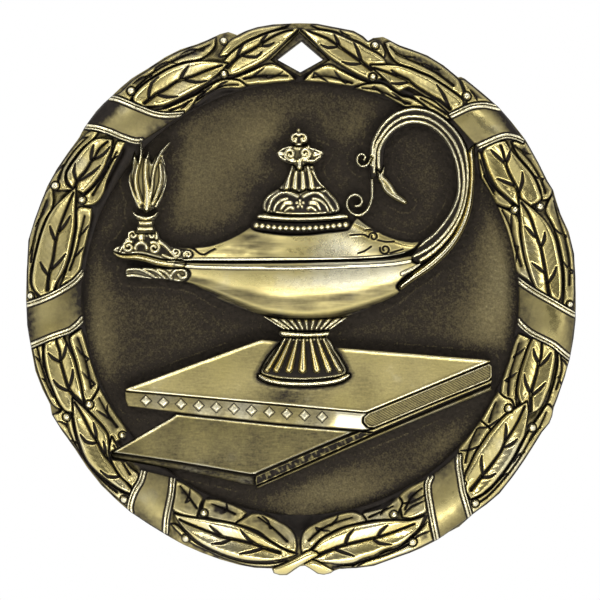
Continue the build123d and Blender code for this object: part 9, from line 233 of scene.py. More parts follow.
# Raised lines: points, half width at the start and at the end, rise.
RIDGES = {
 "lamp_flame": [([(-15.69,12.95),(-15.78,12.48),(-15.86,11.84),(-15.84,11.2),(-15.75,10.55),(-15.6,9.99),(-15.39,9.45),(-15.09,8.82),(-14.84,8.34)],0.18,0.2,0.75),
  ([(-14.74,14.56),(-14.7,14.1),(-14.68,13.5),(-14.77,13),(-14.9,12.49),(-15.06,11.95),(-15.18,11.38),(-15.2,10.8),(-15.12,10.18),(-14.91,9.42),(-14.7,8.8)],0.16,0.23,0.85),
  ([(-14.07,13.5),(-14.15,13.07),(-14.24,12.49),(-14.28,11.92),(-14.28,11.29),(-14.2,10.58),(-14.13,9.82),(-14.13,8.94),(-14.15,8.25)],0.17,0.37,1.05),
  ([(-12.03,14.38),(-12.29,14.12),(-12.63,13.73),(-12.92,13.28),(-13.19,12.76),(-13.4,12.18),(-13.56,11.57),(-13.63,10.95),(-13.67,10.37),(-13.75,9.87),(-13.82,9.45),(-13.89,9.07),(-13.93,8.8)],0.15,0.14,0.8),
  ([(-12.69,13.09),(-12.48,12.67),(-12.27,12.12),(-12.18,11.63),(-12.19,11.11),(-12.31,10.48),(-12.53,9.82),(-12.92,9.04),(-13.27,8.43)],0.16,0.2,0.7),
  ([(-12.91,12.3),(-12.86,11.83),(-12.84,11.2),(-12.92,10.61),(-13.08,10),(-13.36,9.28),(-13.61,8.71)],0.17,0.19,0.8)],
 "wick_cup": [([(-15.47,8.03),(-15.27,7.81),(-14.98,7.57),(-14.62,7.44),(-14.24,7.4),(-13.84,7.48),(-13.48,7.63),(-13.26,7.84),(-13.13,8.03)],0.213,0.213,0.6),
  ([(-15.3,7.01),(-14.83,6.96),(-14.24,6.92),(-13.71,6.96),(-13.32,7.01)],0.163,0.163,0.42),
  ([(-15.3,6.46),(-14.83,6.41),(-14.24,6.37),(-13.71,6.41),(-13.32,6.46)],0.188,0.188,0.36)],
 "spout_scrollwork": [([(-15.56,5.23),(-15.64,5.25),(-15.74,5.28),(-15.84,5.28),(-15.93,5.26),(-16.02,5.22),(-16.09,5.17),(-16.16,5.11),(-16.21,5.04),(-16.25,4.97),(-16.27,4.89),(-16.28,4.81),(-16.28,4.73),(-16.26,4.65),(-16.22,4.58),(-16.18,4.52),(-16.13,4.47),(-16.07,4.43),(-16,4.4),(-15.94,4.38),(-15.87,4.38),(-15.8,4.39),(-15.74,4.41),(-15.69,4.44),(-15.64,4.48),(-15.61,4.52),(-15.58,4.57),(-15.56,4.62),(-15.55,4.68),(-15.55,4.73),(-15.56,4.78),(-15.58,4.82),(-15.61,4.86),(-15.64,4.89),(-15.68,4.92),(-15.71,4.94),(-15.75,4.95),(-15.79,4.95),(-15.83,4.94),(-15.86,4.93),(-15.89,4.91),(-15.92,4.89),(-15.93,4.87),(-15.95,4.84),(-15.95,4.82)],0.156,0.136,0.54),
  ([(-15.79,5.53),(-15.82,5.6),(-15.85,5.68),(-15.86,5.76),(-15.86,5.84),(-15.84,5.91),(-15.81,5.98),(-15.77,6.04),(-15.72,6.09),(-15.66,6.13),(-15.6,6.16),(-15.53,6.17),(-15.47,6.17),(-15.41,6.16),(-15.35,6.14),(-15.29,6.11),(-15.25,6.08),(-15.21,6.03),(-15.19,5.98),(-15.17,5.93),(-15.17,5.88),(-15.17,5.83),(-15.18,5.78),(-15.2,5.74),(-15.23,5.7),(-15.26,5.67),(-15.3,5.65),(-15.34,5.64),(-15.37,5.63),(-15.41,5.63),(-15.45,5.64),(-15.48,5.65),(-15.51,5.67),(-15.53,5.69),(-15.54,5.72),(-15.55,5.74),(-15.56,5.77),(-15.56,5.8),(-15.55,5.82)],0.147,0.127,0.54),
  ([(-13.28,5.53),(-13.25,5.6),(-13.22,5.68),(-13.21,5.76),(-13.21,5.84),(-13.23,5.91),(-13.26,5.98),(-13.3,6.04),(-13.35,6.09),(-13.41,6.13),(-13.47,6.16),(-13.54,6.17),(-13.6,6.17),(-13.66,6.16),(-13.72,6.14),(-13.77,6.11),(-13.82,6.08),(-13.85,6.03),(-13.88,5.98),(-13.9,5.93),(-13.9,5.88),(-13.9,5.83),(-13.89,5.78),(-13.87,5.74),(-13.84,5.7),(-13.81,5.67),(-13.77,5.65),(-13.73,5.64),(-13.7,5.63),(-13.66,5.63),(-13.62,5.64),(-13.59,5.65),(-13.56,5.67),(-13.54,5.69),(-13.53,5.72),(-13.52,5.74),(-13.51,5.77),(-13.51,5.8),(-13.52,5.82)],0.147,0.127,0.54),
  ([(-13.76,5.14),(-13.68,5.16),(-13.57,5.19),(-13.48,5.18),(-13.39,5.16),(-13.3,5.13),(-13.22,5.08),(-13.16,5.02),(-13.11,4.95),(-13.07,4.88),(-13.04,4.8),(-13.03,4.71),(-13.04,4.63),(-13.06,4.56),(-13.09,4.49),(-13.14,4.43),(-13.19,4.37),(-13.25,4.33),(-13.31,4.31),(-13.38,4.29),(-13.45,4.29),(-13.51,4.3),(-13.57,4.32),(-13.63,4.35),(-13.67,4.39),(-13.71,4.43),(-13.74,4.48),(-13.76,4.53),(-13.77,4.59),(-13.77,4.64),(-13.75,4.69),(-13.74,4.73),(-13.71,4.77),(-13.68,4.8),(-13.64,4.83),(-13.6,4.84),(-13.56,4.85),(-13.53,4.86),(-13.49,4.85),(-13.46,4.84),(-13.43,4.82),(-13.4,4.8),(-13.38,4.78),(-13.37,4.75),(-13.36,4.72)],0.156,0.136,0.54),
  ([(-15.2,4.61),(-15.19,4.68),(-15.17,4.77),(-15.14,4.84),(-15.1,4.91),(-15.05,4.97),(-14.99,5.03),(-14.92,5.07),(-14.84,5.1),(-14.76,5.12),(-14.68,5.12),(-14.6,5.12),(-14.52,5.1),(-14.45,5.07),(-14.38,5.03),(-14.32,4.97),(-14.26,4.91),(-14.22,4.84),(-14.19,4.77),(-14.17,4.68),(-14.17,4.61)],0.2,0.2,0.6),
  ([(-14.68,6.04),(-14.68,5.58)],0.35,0.35,0.48),
  ([(-16.64,4.33),(-16.47,4.64),(-16.27,5.02),(-16.06,5.34),(-15.9,5.58)],0.125,0.163,0.42),
  ([(-12.95,5.24),(-12.7,5.04),(-12.4,4.79),(-12.16,4.57),(-11.94,4.33),(-11.68,4.05),(-11.47,3.82)],0.225,0.175,0.54),
  ([(-11.47,3.89),(-11.41,3.9),(-11.33,3.93),(-11.27,3.97),(-11.22,4.02),(-11.18,4.07),(-11.15,4.13),(-11.13,4.2),(-11.12,4.26),(-11.13,4.33),(-11.15,4.39),(-11.18,4.44),(-11.21,4.49),(-11.26,4.53),(-11.3,4.55),(-11.36,4.57),(-11.41,4.58),(-11.46,4.58),(-11.51,4.57),(-11.56,4.55),(-11.6,4.53),(-11.63,4.49),(-11.65,4.46),(-11.67,4.42),(-11.68,4.38),(-11.68,4.34),(-11.68,4.3),(-11.67,4.27),(-11.65,4.23),(-11.63,4.21),(-11.6,4.19),(-11.57,4.17),(-11.54,4.17),(-11.52,4.16),(-11.49,4.17),(-11.46,4.18),(-11.44,4.19),(-11.43,4.2),(-11.41,4.22)],0.136,0.117,0.48),
  ([(-10.72,3.93),(-10.73,3.99),(-10.73,4.06),(-10.72,4.12),(-10.69,4.18),(-10.66,4.24),(-10.61,4.28),(-10.56,4.32),(-10.51,4.34),(-10.46,4.35),(-10.4,4.36),(-10.34,4.35),(-10.29,4.33),(-10.25,4.31),(-10.21,4.28),(-10.18,4.24),(-10.15,4.2),(-10.14,4.15),(-10.13,4.11),(-10.13,4.06),(-10.14,4.02),(-10.16,3.98),(-10.18,3.95),(-10.21,3.92),(-10.24,3.9),(-10.27,3.89),(-10.31,3.88),(-10.34,3.88),(-10.37,3.89),(-10.4,3.9),(-10.43,3.91),(-10.45,3.93),(-10.46,3.95),(-10.48,3.98),(-10.48,4),(-10.48,4.02),(-10.48,4.05),(-10.47,4.07),(-10.46,4.08)],0.136,0.117,0.42),
  ([(-13.13,6.5),(-12.94,6.17),(-12.67,5.76),(-12.32,5.39),(-12.03,5.12)],0.125,0.15,0.36),
  ([(-12.67,4.01),(-12.32,3.85),(-11.84,3.69),(-11.33,3.62),(-10.92,3.59)],0.15,0.15,0.36)],
 "lamp_cover": [([(-12.21,3.49),(-11.08,3.53),(-9.26,3.56),(-6.77,3.55),(-3.73,3.55),(0.15,3.58),(3.64,3.62),(5.19,3.65),(6.11,3.7),(7.36,3.79),(8.43,3.9),(9.13,4.04),(9.54,4.15)],0.13,0.13,0.12),
  ([(-11.47,3.05),(-10.72,2.97),(-9.48,2.88),(-7.75,2.83),(-5.58,2.79),(-2.8,2.79),(-0.05,2.81),(1.99,2.86),(3.64,2.91),(4.95,2.94),(6.11,2.98),(7.41,3.05),(8.58,3.15),(9.49,3.29),(10.09,3.41)],0.13,0.13,0.14)],
 "lamp_bowl": [([(-12.21,3.49),(-11.08,3.53),(-9.26,3.56),(-6.77,3.55),(-3.73,3.55),(0.15,3.58),(3.64,3.62),(5.19,3.65),(6.11,3.7),(7.36,3.79),(8.43,3.9),(9.13,4.04),(9.54,4.15)],0.13,0.13,0.12),
  ([(-11.47,3.05),(-10.72,2.97),(-9.48,2.88),(-7.75,2.83),(-5.58,2.79),(-2.8,2.79),(-0.05,2.81),(1.99,2.86),(3.64,2.91),(4.95,2.94),(6.11,2.98),(7.41,3.05),(8.58,3.15),(9.49,3.29),(10.09,3.41)],0.13,0.13,0.14),
  ([(14.52,6.41),(14.08,5.83),(13.5,5.12),(12.92,4.54),(12.3,4.01),(11.66,3.52),(11.01,3.09),(10.36,2.74),(9.82,2.49),(9.51,2.34),(9.35,2.26)],0.1,0.14,0.12)],
 "spout_lip": [([(-12.21,3.49),(-11.08,3.53),(-9.26,3.56),(-6.77,3.55),(-3.73,3.55),(0.15,3.58),(3.64,3.62),(5.19,3.65),(6.11,3.7),(7.36,3.79),(8.43,3.9),(9.13,4.04),(9.54,4.15)],0.13,0.13,0.12),
  ([(-11.47,3.05),(-10.72,2.97),(-9.48,2.88),(-7.75,2.83),(-5.58,2.79),(-2.8,2.79),(-0.05,2.81),(1.99,2.86),(3.64,2.91),(4.95,2.94),(6.11,2.98),(7.41,3.05),(8.58,3.15),(9.49,3.29),(10.09,3.41)],0.13,0.13,0.14)],
 "spout_leaf": [([(-16.18,2.59),(-15.94,2.66),(-15.62,2.72),(-15.28,2.74),(-14.91,2.7),(-14.52,2.57),(-14.1,2.37),(-13.61,2.09),(-13.23,1.86)],0.15,0.12,0.3),
  ([(-16.18,2.06),(-15.85,2.1),(-15.44,2.13),(-15.08,2.1),(-14.7,2.04),(-14.19,1.9),(-13.78,1.78)],0.13,0.1,0.24),
  ([(-14.45,2.76),(-14.09,2.72),(-13.64,2.65),(-13.27,2.49),(-12.95,2.29),(-12.68,2.04),(-12.49,1.83)],0.13,0.14,0.3),
  ([(-13.18,2.7),(-12.86,2.61),(-12.49,2.46),(-12.25,2.25),(-12.07,2.04),(-11.96,1.89),(-11.89,1.8)],0.13,0.15,0.3),
  ([(-11.94,2.12),(-11.79,2.34),(-11.57,2.57),(-11.3,2.67),(-11.01,2.68),(-10.75,2.6),(-10.55,2.44),(-10.5,2.22),(-10.55,2.02),(-10.75,1.91),(-10.98,1.89),(-11.13,2.02),(-11.24,2.17)],0.15,0.14,0.32)],
 "lid_volutes": [([(-0.66,12.79),(-0.75,12.76),(-0.86,12.74),(-0.96,12.74),(-1.05,12.76),(-1.14,12.79),(-1.22,12.84),(-1.28,12.9),(-1.34,12.98),(-1.38,13.05),(-1.4,13.14),(-1.41,13.22),(-1.4,13.3),(-1.38,13.38),(-1.35,13.45),(-1.3,13.52),(-1.25,13.57),(-1.19,13.61),(-1.12,13.64),(-1.05,13.65),(-0.99,13.66),(-0.92,13.65),(-0.86,13.63),(-0.8,13.6),(-0.75,13.56),(-0.71,13.51),(-0.69,13.46),(-0.67,13.41),(-0.66,13.35),(-0.66,13.3),(-0.67,13.25),(-0.69,13.2),(-0.72,13.16),(-0.75,13.13),(-0.79,13.1),(-0.83,13.09),(-0.87,13.08),(-0.91,13.07),(-0.94,13.08),(-0.98,13.09),(-1.01,13.11),(-1.03,13.13),(-1.05,13.16),(-1.07,13.19),(-1.07,13.21)],0.17,0.16,0.46),
  ([(0.14,12.91),(0.22,12.89),(0.32,12.86),(0.41,12.87),(0.5,12.88),(0.58,12.92),(0.66,12.96),(0.72,13.02),(0.77,13.09),(0.81,13.16),(0.83,13.24),(0.84,13.32),(0.83,13.39),(0.81,13.47),(0.78,13.53),(0.74,13.59),(0.69,13.64),(0.63,13.68),(0.57,13.71),(0.5,13.72),(0.44,13.72),(0.38,13.72),(0.32,13.7),(0.27,13.67),(0.22,13.63),(0.19,13.59),(0.16,13.54),(0.14,13.49),(0.13,13.44),(0.14,13.39),(0.15,13.34),(0.16,13.3),(0.19,13.26),(0.22,13.23),(0.25,13.21),(0.29,13.19),(0.33,13.18),(0.37,13.18),(0.4,13.19),(0.43,13.2),(0.46,13.21),(0.48,13.23),(0.5,13.26),(0.51,13.28),(0.52,13.31)],0.17,0.16,0.46),
  ([(-0.1,12.67),(-0.12,11.84)],0.25,0.17,0.42),
  ([(-2.17,13.41),(-1.94,13.65),(-1.61,13.9),(-1.21,13.97),(-0.88,13.98)],0.17,0.17,0.36),
  ([(1.98,13.41),(1.71,13.61),(1.34,13.82),(0.88,13.94),(0.51,14.01)],0.17,0.17,0.36),
  ([(-2.07,13.13),(-1.81,12.88),(-1.43,12.63),(-0.93,12.62),(-0.51,12.67)],0.17,0.17,0.36),
  ([(1.89,13.04),(1.57,12.83),(1.15,12.63),(0.69,12.67),(0.32,12.76)],0.17,0.17,0.36),
  ([(-2.02,13.35),(-1.72,13.32)],0.1,0.2,0.2),
  ([(1.83,13.32),(1.34,13.26)],0.1,0.24,0.2)],
 "lid_finial": [([(-0.16,15.03),(-0.28,15.1),(-0.43,15.16),(-0.59,15.13),(-0.73,15.05),(-0.8,14.92),(-0.82,14.77),(-0.8,14.62),(-0.73,14.5),(-0.6,14.46),(-0.47,14.48),(-0.44,14.58),(-0.43,14.68)],0.15,0.19,0.42),
  ([(-0.16,15.03),(-0.03,15.1),(0.14,15.16),(0.29,15.13),(0.41,15.05),(0.48,14.92),(0.51,14.77),(0.48,14.62),(0.41,14.5),(0.29,14.46),(0.18,14.48),(0.14,14.58),(0.14,14.68)],0.15,0.19,0.42)],
 "lid_neck": [([(-0.8,12.12),(-0.93,11.76),(-1.08,11.27),(-1.2,10.7),(-1.29,10.23)],0.14,0.29,0.48),
  ([(-0.3,12.12),(-0.38,11.74),(-0.46,11.22),(-0.51,10.62),(-0.54,10.14)],0.14,0.29,0.48),
  ([(0.1,12.12),(0.16,11.74),(0.22,11.22),(0.25,10.62),(0.27,10.14)],0.14,0.29,0.48),
  ([(0.65,12.12),(0.76,11.76),(0.89,11.27),(0.99,10.7),(1.06,10.23)],0.14,0.29,0.48),
  ([(-1.38,11.75),(-1.55,11.38),(-1.8,10.92),(-2.15,10.5),(-2.44,10.18)],0.15,0.175,0.36),
  ([(1.15,11.75),(1.34,11.38),(1.61,10.92),(1.99,10.5),(2.3,10.18)],0.15,0.175,0.36)],
 "lid_dome": [([(-3,8.01),(-2.89,8.47),(-2.7,9),(-2.43,9.35),(-2.1,9.6),(-1.73,9.76),(-1.3,9.8),(-0.75,9.62),(-0.3,9.41)],0.14,0.183,0.36),
  ([(0.29,9.41),(0.75,9.63),(1.3,9.8),(1.73,9.66),(2.09,9.4),(2.37,9.12),(2.6,8.8),(2.83,8.4),(3,8.06)],0.183,0.14,0.36),
  ([(-2.44,8.06),(-2.38,8.32),(-2.26,8.62),(-2.05,8.85),(-1.8,9.03),(-1.49,9.13),(-1.24,9.17)],0.119,0.14,0.288),
  ([(2.53,8.06),(2.43,8.32),(2.26,8.62),(2.05,8.85),(1.8,9.03),(1.45,9.13),(1.15,9.17)],0.119,0.14,0.288),
  ([(-1.8,8.2),(-1.64,8.48),(-1.43,8.76),(-1.15,8.81),(-0.92,8.8)],0.129,0.215,0.336),
  ([(-1.43,8.06),(-1.24,8.23),(-1.01,8.39),(-0.83,8.36),(-0.69,8.29)],0.107,0.172,0.288),
  ([(1.8,8.2),(1.64,8.48),(1.43,8.76),(1.15,8.81),(0.92,8.8)],0.129,0.215,0.336),
  ([(1.43,8.06),(1.24,8.23),(1.01,8.39),(0.83,8.36),(0.69,8.29)],0.107,0.172,0.288),
  ([(-0.05,9.02),(-0.05,9.01)],0.14,0.14,0.26),
  ([(0.25,8.81),(0.26,8.79)],0.14,0.14,0.26),
  ([(0.14,8.46),(0.14,8.43)],0.14,0.14,0.26),
  ([(-0.23,8.46),(-0.24,8.43)],0.14,0.14,0.26),
  ([(-0.34,8.81),(-0.35,8.79)],0.14,0.14,0.26),
  ([(-0.05,8.72),(-0.05,8.69)],0.14,0.14,0.36)],
 "lid_ring": [([(-3.92,7.55),(-2.9,7.44),(-1.5,7.34),(-0.03,7.31),(1.49,7.34),(3.08,7.45),(4.29,7.57)],0.2,0.2,0.35)],
 "handle_loop": [([(6.59,12.3),(6.57,13.04),(6.59,13.91),(6.7,14.42),(6.91,14.89),(7.26,15.52),(7.71,16.13),(8.24,16.63),(8.82,17.02),(9.45,17.26),(10.06,17.39),(10.55,17.44),(11.04,17.39),(11.64,17.26),(12.28,17.02),(12.91,16.63),(13.5,16.18),(13.97,15.72),(14.36,15.25),(14.68,14.76),(14.93,14.24),(15.12,13.72),(15.25,13.13),(15.37,12.43),(15.44,11.66),(15.45,10.85),(15.39,10),(15.24,9.11),(15.02,8.25),(14.73,7.5),(14.38,6.82),(13.98,6.19),(13.5,5.58),(12.91,4.93),(12.28,4.34),(11.58,3.85),(11.04,3.51)],0.17,0.17,0.34),
  ([(6.76,11.66),(6.77,12.59),(6.85,13.67),(7.05,14.28),(7.35,14.77),(7.74,15.35),(8.2,15.87),(8.74,16.3),(9.32,16.62),(9.93,16.76),(10.55,16.78),(11.17,16.73),(11.79,16.56),(12.42,16.23),(13.02,15.76),(13.6,15.18),(14.1,14.52),(14.46,13.79),(14.73,13.04),(14.91,12.3),(15.02,11.57),(15.06,10.84),(15.02,10.09),(14.9,9.26),(14.7,8.43),(14.42,7.7),(14.06,7),(13.56,6.29),(13,5.62),(12.4,5.05),(11.75,4.56),(10.94,4.13),(10.28,3.82)],0.15,0.15,0.34),
  ([(7.22,12.03),(7.19,12.71),(7.22,13.54),(7.41,14.13),(7.71,14.65),(8.11,15.17),(8.58,15.62),(9.12,15.96),(9.69,16.19),(10.24,16.29),(10.8,16.27),(11.35,16.16),(11.91,15.94),(12.48,15.58),(13.02,15.11),(13.49,14.52),(13.87,13.87),(14.16,13.22),(14.37,12.55),(14.5,11.88),(14.57,11.2),(14.61,10.52),(14.57,9.83),(14.41,9.15),(14.15,8.48),(13.81,7.84),(13.41,7.24),(12.98,6.66),(12.53,6.14),(12.11,5.74),(11.66,5.39),(11.12,5),(10.55,4.65),(10.01,4.41),(9.45,4.22),(8.78,4.07),(8.25,3.96)],0.16,0.14,0.34)],
 "handle_scroll": [([(6.54,12.76),(6.56,12.28),(6.57,11.66),(6.58,11.13),(6.59,10.58),(6.61,9.96),(6.59,9.35),(6.47,8.81),(6.29,8.36),(6.09,8.06),(5.85,7.86),(5.61,7.73),(5.35,7.68),(5.04,7.72),(4.75,7.86),(4.47,8.14),(4.29,8.48),(4.27,8.84),(4.38,9.17),(4.6,9.43),(4.88,9.58),(5.18,9.56),(5.44,9.43),(5.6,9.22),(5.67,8.99),(5.59,8.75),(5.44,8.56),(5.24,8.52),(5.07,8.53)],0.17,0.13,0.4)],
 "handle_curl": [([(6.5,12.95),(6.41,12.71),(6.27,12.44),(6.07,12.27),(5.85,12.18),(5.63,12.2),(5.44,12.3),(5.29,12.49),(5.21,12.72),(5.22,12.95),(5.3,13.15),(5.47,13.29),(5.67,13.34),(5.86,13.24),(5.99,13.09),(5.94,12.92),(5.85,12.78)],0.12,0.12,0.35)],
 "pedestal_collar": [([(-3.36,-1.76),(-1.52,-2.81)],0.18,0.09,0.4),
  ([(-2.6,-1.76),(-1.1,-2.81)],0.18,0.09,0.4),
  ([(-1.83,-1.76),(-0.67,-2.81)],0.18,0.09,0.4),
  ([(-1.07,-1.76),(-0.25,-2.81)],0.18,0.09,0.4),
  ([(-0.3,-1.76),(0.18,-2.81)],0.18,0.09,0.4),
  ([(0.46,-1.76),(0.6,-2.81)],0.18,0.09,0.4),
  ([(1.23,-1.76),(1.02,-2.81)],0.18,0.09,0.4),
  ([(1.99,-1.76),(1.45,-2.81)],0.18,0.09,0.4),
  ([(2.76,-1.76),(1.87,-2.81)],0.18,0.09,0.4),
  ([(3.52,-1.76),(2.29,-2.81)],0.18,0.09,0.4),
  ([(4.29,-1.76),(2.72,-2.81)],0.18,0.09,0.4)],
 "pedestal_ring": [([(-1.71,-3.25),(-0.69,-3.32),(0.6,-3.36),(1.85,-3.32),(2.81,-3.25)],0.24,0.24,0.3)],
 "pedestal_bell": [([(-1.47,-3.73),(-1.73,-4.23),(-2.12,-4.93),(-2.65,-5.81),(-3.11,-6.54)],0.14,0.296963,0.66),
  ([(-0.93,-3.73),(-1.14,-4.23),(-1.44,-4.93),(-1.85,-5.81),(-2.2,-6.54)],0.14,0.332488,0.66),
  ([(-0.32,-3.73),(-0.44,-4.23),(-0.62,-4.93),(-0.86,-5.81),(-1.06,-6.54)],0.14,0.377437,0.66),
  ([(0.27,-3.73),(0.25,-4.23),(0.23,-4.93),(0.21,-5.81),(0.18,-6.54)],0.14,0.426375,0.66),
  ([(0.92,-3.73),(1.02,-4.23),(1.15,-4.93),(1.34,-5.81),(1.5,-6.54)],0.14,0.381787,0.66),
  ([(1.56,-3.73),(1.73,-4.23),(1.97,-4.93),(2.31,-5.81),(2.59,-6.54)],0.14,0.339012,0.66),
  ([(2.13,-3.73),(2.37,-4.23),(2.71,-4.93),(3.18,-5.81),(3.59,-6.54)],0.14,0.299863,0.66)],
 "pedestal_foot": [([(-3.69,-7.03),(-3.46,-7.21),(-3.11,-7.42),(-2.72,-7.56),(-2.12,-7.67),(-1.03,-7.75),(0.18,-7.79),(1.28,-7.75),(2.24,-7.67),(2.93,-7.56),(3.47,-7.42),(4,-7.21),(4.38,-7.03)],0.3,0.3,0.4)],
}
# Cut lines: points, half width, depth.
GROOVES = {
 "lamp_cover": [([(-10.14,4.7),(-9.98,4.64),(-9.78,4.53),(-9.59,4.35),(-9.38,4.18),(-9.15,4.07),(-8.89,4.04),(-8.64,4.16),(-8.39,4.33),(-8.1,4.47),(-7.88,4.58)],0.15,0.28),
  ([(-11.84,3.35),(-10.9,3.32),(-9.26,3.29),(-6.8,3.27),(-3.73,3.27),(0.07,3.3),(3.64,3.35),(5.83,3.39),(7.33,3.47),(8.39,3.57),(9.17,3.71),(9.88,3.89),(10.55,4.14),(11.28,4.47),(12.03,4.93),(12.86,5.67),(13.5,6.31)],0.075,0.18),
  ([(4.56,5.82),(4.9,5.86),(5.3,5.89),(5.59,5.91),(5.85,5.89),(6.11,5.76),(6.29,5.64)],0.15,0.28),
  ([(6.3,5.71),(6.32,5.77),(6.34,5.85),(6.38,5.91),(6.43,5.97),(6.49,6.01),(6.55,6.05),(6.62,6.07),(6.69,6.07),(6.75,6.07),(6.82,6.05),(6.87,6.02),(6.93,5.99),(6.97,5.94),(7,5.89),(7.02,5.84),(7.04,5.78),(7.04,5.72),(7.03,5.67),(7.01,5.61),(6.98,5.57),(6.95,5.53),(6.91,5.5),(6.86,5.47),(6.82,5.46),(6.77,5.45),(6.72,5.46),(6.68,5.47),(6.64,5.49),(6.61,5.51),(6.58,5.54),(6.56,5.57),(6.54,5.61),(6.53,5.65),(6.53,5.69),(6.54,5.72),(6.55,5.75),(6.57,5.78),(6.59,5.8)],0.135,0.28),
  ([(5.94,6.31),(6.18,6.35),(6.5,6.35),(6.83,6.24),(7.1,6.13)],0.12,0.224),
  ([(7.14,5.39),(7.47,5.31),(7.88,5.23),(8.29,5.24),(8.62,5.27)],0.135,0.252),
  ([(5.3,4.17),(5.54,4.22),(5.85,4.33),(6.21,4.57),(6.5,4.78)],0.135,0.252),
  ([(7.32,4.7),(7.31,4.63),(7.31,4.53),(7.32,4.45),(7.35,4.37),(7.4,4.3),(7.45,4.23),(7.51,4.19),(7.59,4.15),(7.66,4.13),(7.74,4.12),(7.81,4.12),(7.88,4.14),(7.95,4.17),(8.01,4.21),(8.05,4.26),(8.09,4.32),(8.12,4.38),(8.14,4.44),(8.14,4.51),(8.13,4.57),(8.11,4.63),(8.08,4.68),(8.05,4.73),(8,4.76),(7.95,4.79),(7.9,4.81),(7.85,4.82),(7.8,4.82),(7.75,4.81),(7.7,4.79),(7.66,4.76),(7.63,4.73),(7.6,4.69),(7.58,4.65),(7.57,4.61),(7.57,4.57),(7.58,4.53),(7.59,4.5),(7.6,4.46),(7.63,4.44),(7.66,4.41),(7.68,4.4)],0.135,0.28),
  ([(8.25,4.19),(8.5,4.26),(8.82,4.36),(9.17,4.47),(9.45,4.56)],0.135,0.224)],
 "lamp_bowl": [([(-11.84,3.35),(-10.9,3.32),(-9.26,3.29),(-6.8,3.27),(-3.73,3.27),(0.07,3.3),(3.64,3.35),(5.83,3.39),(7.33,3.47),(8.39,3.57),(9.17,3.71),(9.88,3.89),(10.55,4.14),(11.28,4.47),(12.03,4.93),(12.86,5.67),(13.5,6.31)],0.075,0.18)],
 "spout_lip": [([(-11.84,3.35),(-10.9,3.32),(-9.26,3.29),(-6.8,3.27),(-3.73,3.27),(0.07,3.3),(3.64,3.35),(5.83,3.39),(7.33,3.47),(8.39,3.57),(9.17,3.71),(9.88,3.89),(10.55,4.14),(11.28,4.47),(12.03,4.93),(12.86,5.67),(13.5,6.31)],0.075,0.18)],
}
# The lamp body: its rim line, the belly below it and the shoulder above it.
RIM_LINE = [(-16.54,3.36),(-11.84,3.35),(-9.26,3.29),(-3.73,3.27),(3.64,3.35),(7.33,3.47),(9.17,3.71),(10.55,4.14),(12.03,4.93),(13.5,6.31)]
BOWL_LINE = [(-13.87,2.44),(-13.04,2.15),(-12.03,1.8),(-11.34,1.59),(-10.65,1.38),(-9.75,1.11),(-8.8,0.78),(-7.88,0.38),(-6.96,-0.05),(-6.02,-0.47),(-5.12,-0.88),(-4.35,-1.22),(-3.55,-1.52),(-2.52,-1.76),(-1.43,-1.94),(-0.41,-2.02),(0.6,-2.03),(1.67,-2),(2.72,-1.89),(3.63,-1.68),(4.56,-1.38),(5.69,-1.02),(6.87,-0.6),(8.05,-0.15),(9.17,0.32),(10.14,0.82),(11.01,1.34),(11.81,1.85),(12.58,2.44),(13.51,3.29),(14.24,4.01)]
SHOULDER_LINE = [(-12.49,4.47),(-11.42,4.59),(-10.18,4.75),(-9.45,4.85),(-8.8,4.98),(-8.02,5.2),(-7.24,5.48),(-6.5,5.83),(-5.76,6.22),(-5,6.64),(-4.19,7.05),(-3.32,7.41),(-2.35,7.7),(-1.23,7.89),(-0.05,7.97),(1.13,7.93),(2.26,7.79),(3.23,7.57),(4.1,7.28),(4.87,6.96),(5.67,6.59),(6.74,6.12),(7.79,5.67),(8.51,5.35),(9.17,5.12),(9.96,4.88),(10.83,4.84),(11.95,5.28),(12.86,5.76)]
LOZENGES = [(-14.24,-9.41),(-12.62,-9.56),(-11,-9.71),(-9.37,-9.86),(-7.75,-10.01),(-6.13,-10.16),(-4.51,-10.31),(-2.88,-10.46),(-1.26,-10.6),(0.36,-10.75),(1.98,-10.9)]
BEADS = [(-4.07,6.73),(-3.53,6.67),(-2.98,6.6),(-2.43,6.54),(-1.88,6.49),(-1.34,6.47),(-0.79,6.45),(-0.24,6.42),(0.31,6.44),(0.85,6.47),(1.4,6.5),(1.95,6.53),(2.5,6.6),(3.04,6.67),(3.59,6.74),(4.14,6.8)]

# ------------------------------------------------------------------ plane geometry, in mm
def seg_dist(P, A, B):
    """Distance from each point to the nearest of the segments A-B."""
    best = np.full(len(P), 1e9)
    for a, b in zip(A, B):
        d = b - a
        t = np.clip(((P - a) @ d) / (d @ d + 1e-12), 0, 1)
        q = P - a - t[:, None] * d
        np.minimum(best, q[:, 0] ** 2 + q[:, 1] ** 2, out=best)
    return np.sqrt(best)


def line_dist(P, line):
    """Distance from each point to an open line, and the share of its length reached there."""
    L = np.asarray(line, float)
    if len(L) == 1:
        return np.hypot(*(P - L[0]).T), np.zeros(len(P))
    d = L[1:] - L[:-1]
    ln = np.hypot(d[:, 0], d[:, 1]) + 1e-9
    s0 = np.concatenate([[0], np.cumsum(ln)])
    best = np.full(len(P), 1e9)
    at = np.zeros(len(P))
    for i in range(len(d)):
        t = np.clip(((P - L[i]) @ d[i]) / (ln[i] ** 2), 0, 1)
        q = P - L[i] - t[:, None] * d[i]
        e = q[:, 0] ** 2 + q[:, 1] ** 2
        m = e < best
        best[m] = e[m]
        at[m] = ((s0[i] + t * ln[i]) / s0[-1])[m]
    return np.sqrt(best), at


def ends(loops, keep=None):
    """The segments of closed loops, or those whose direction passes the test."""
    A = np.vstack([np.asarray(l, float) for l in loops])
    B = np.vstack([np.roll(np.asarray(l, float), -1, 0) for l in loops])
    if keep is not None:
        m = keep(B - A)
        A, B = A[m], B[m]
    return A, B


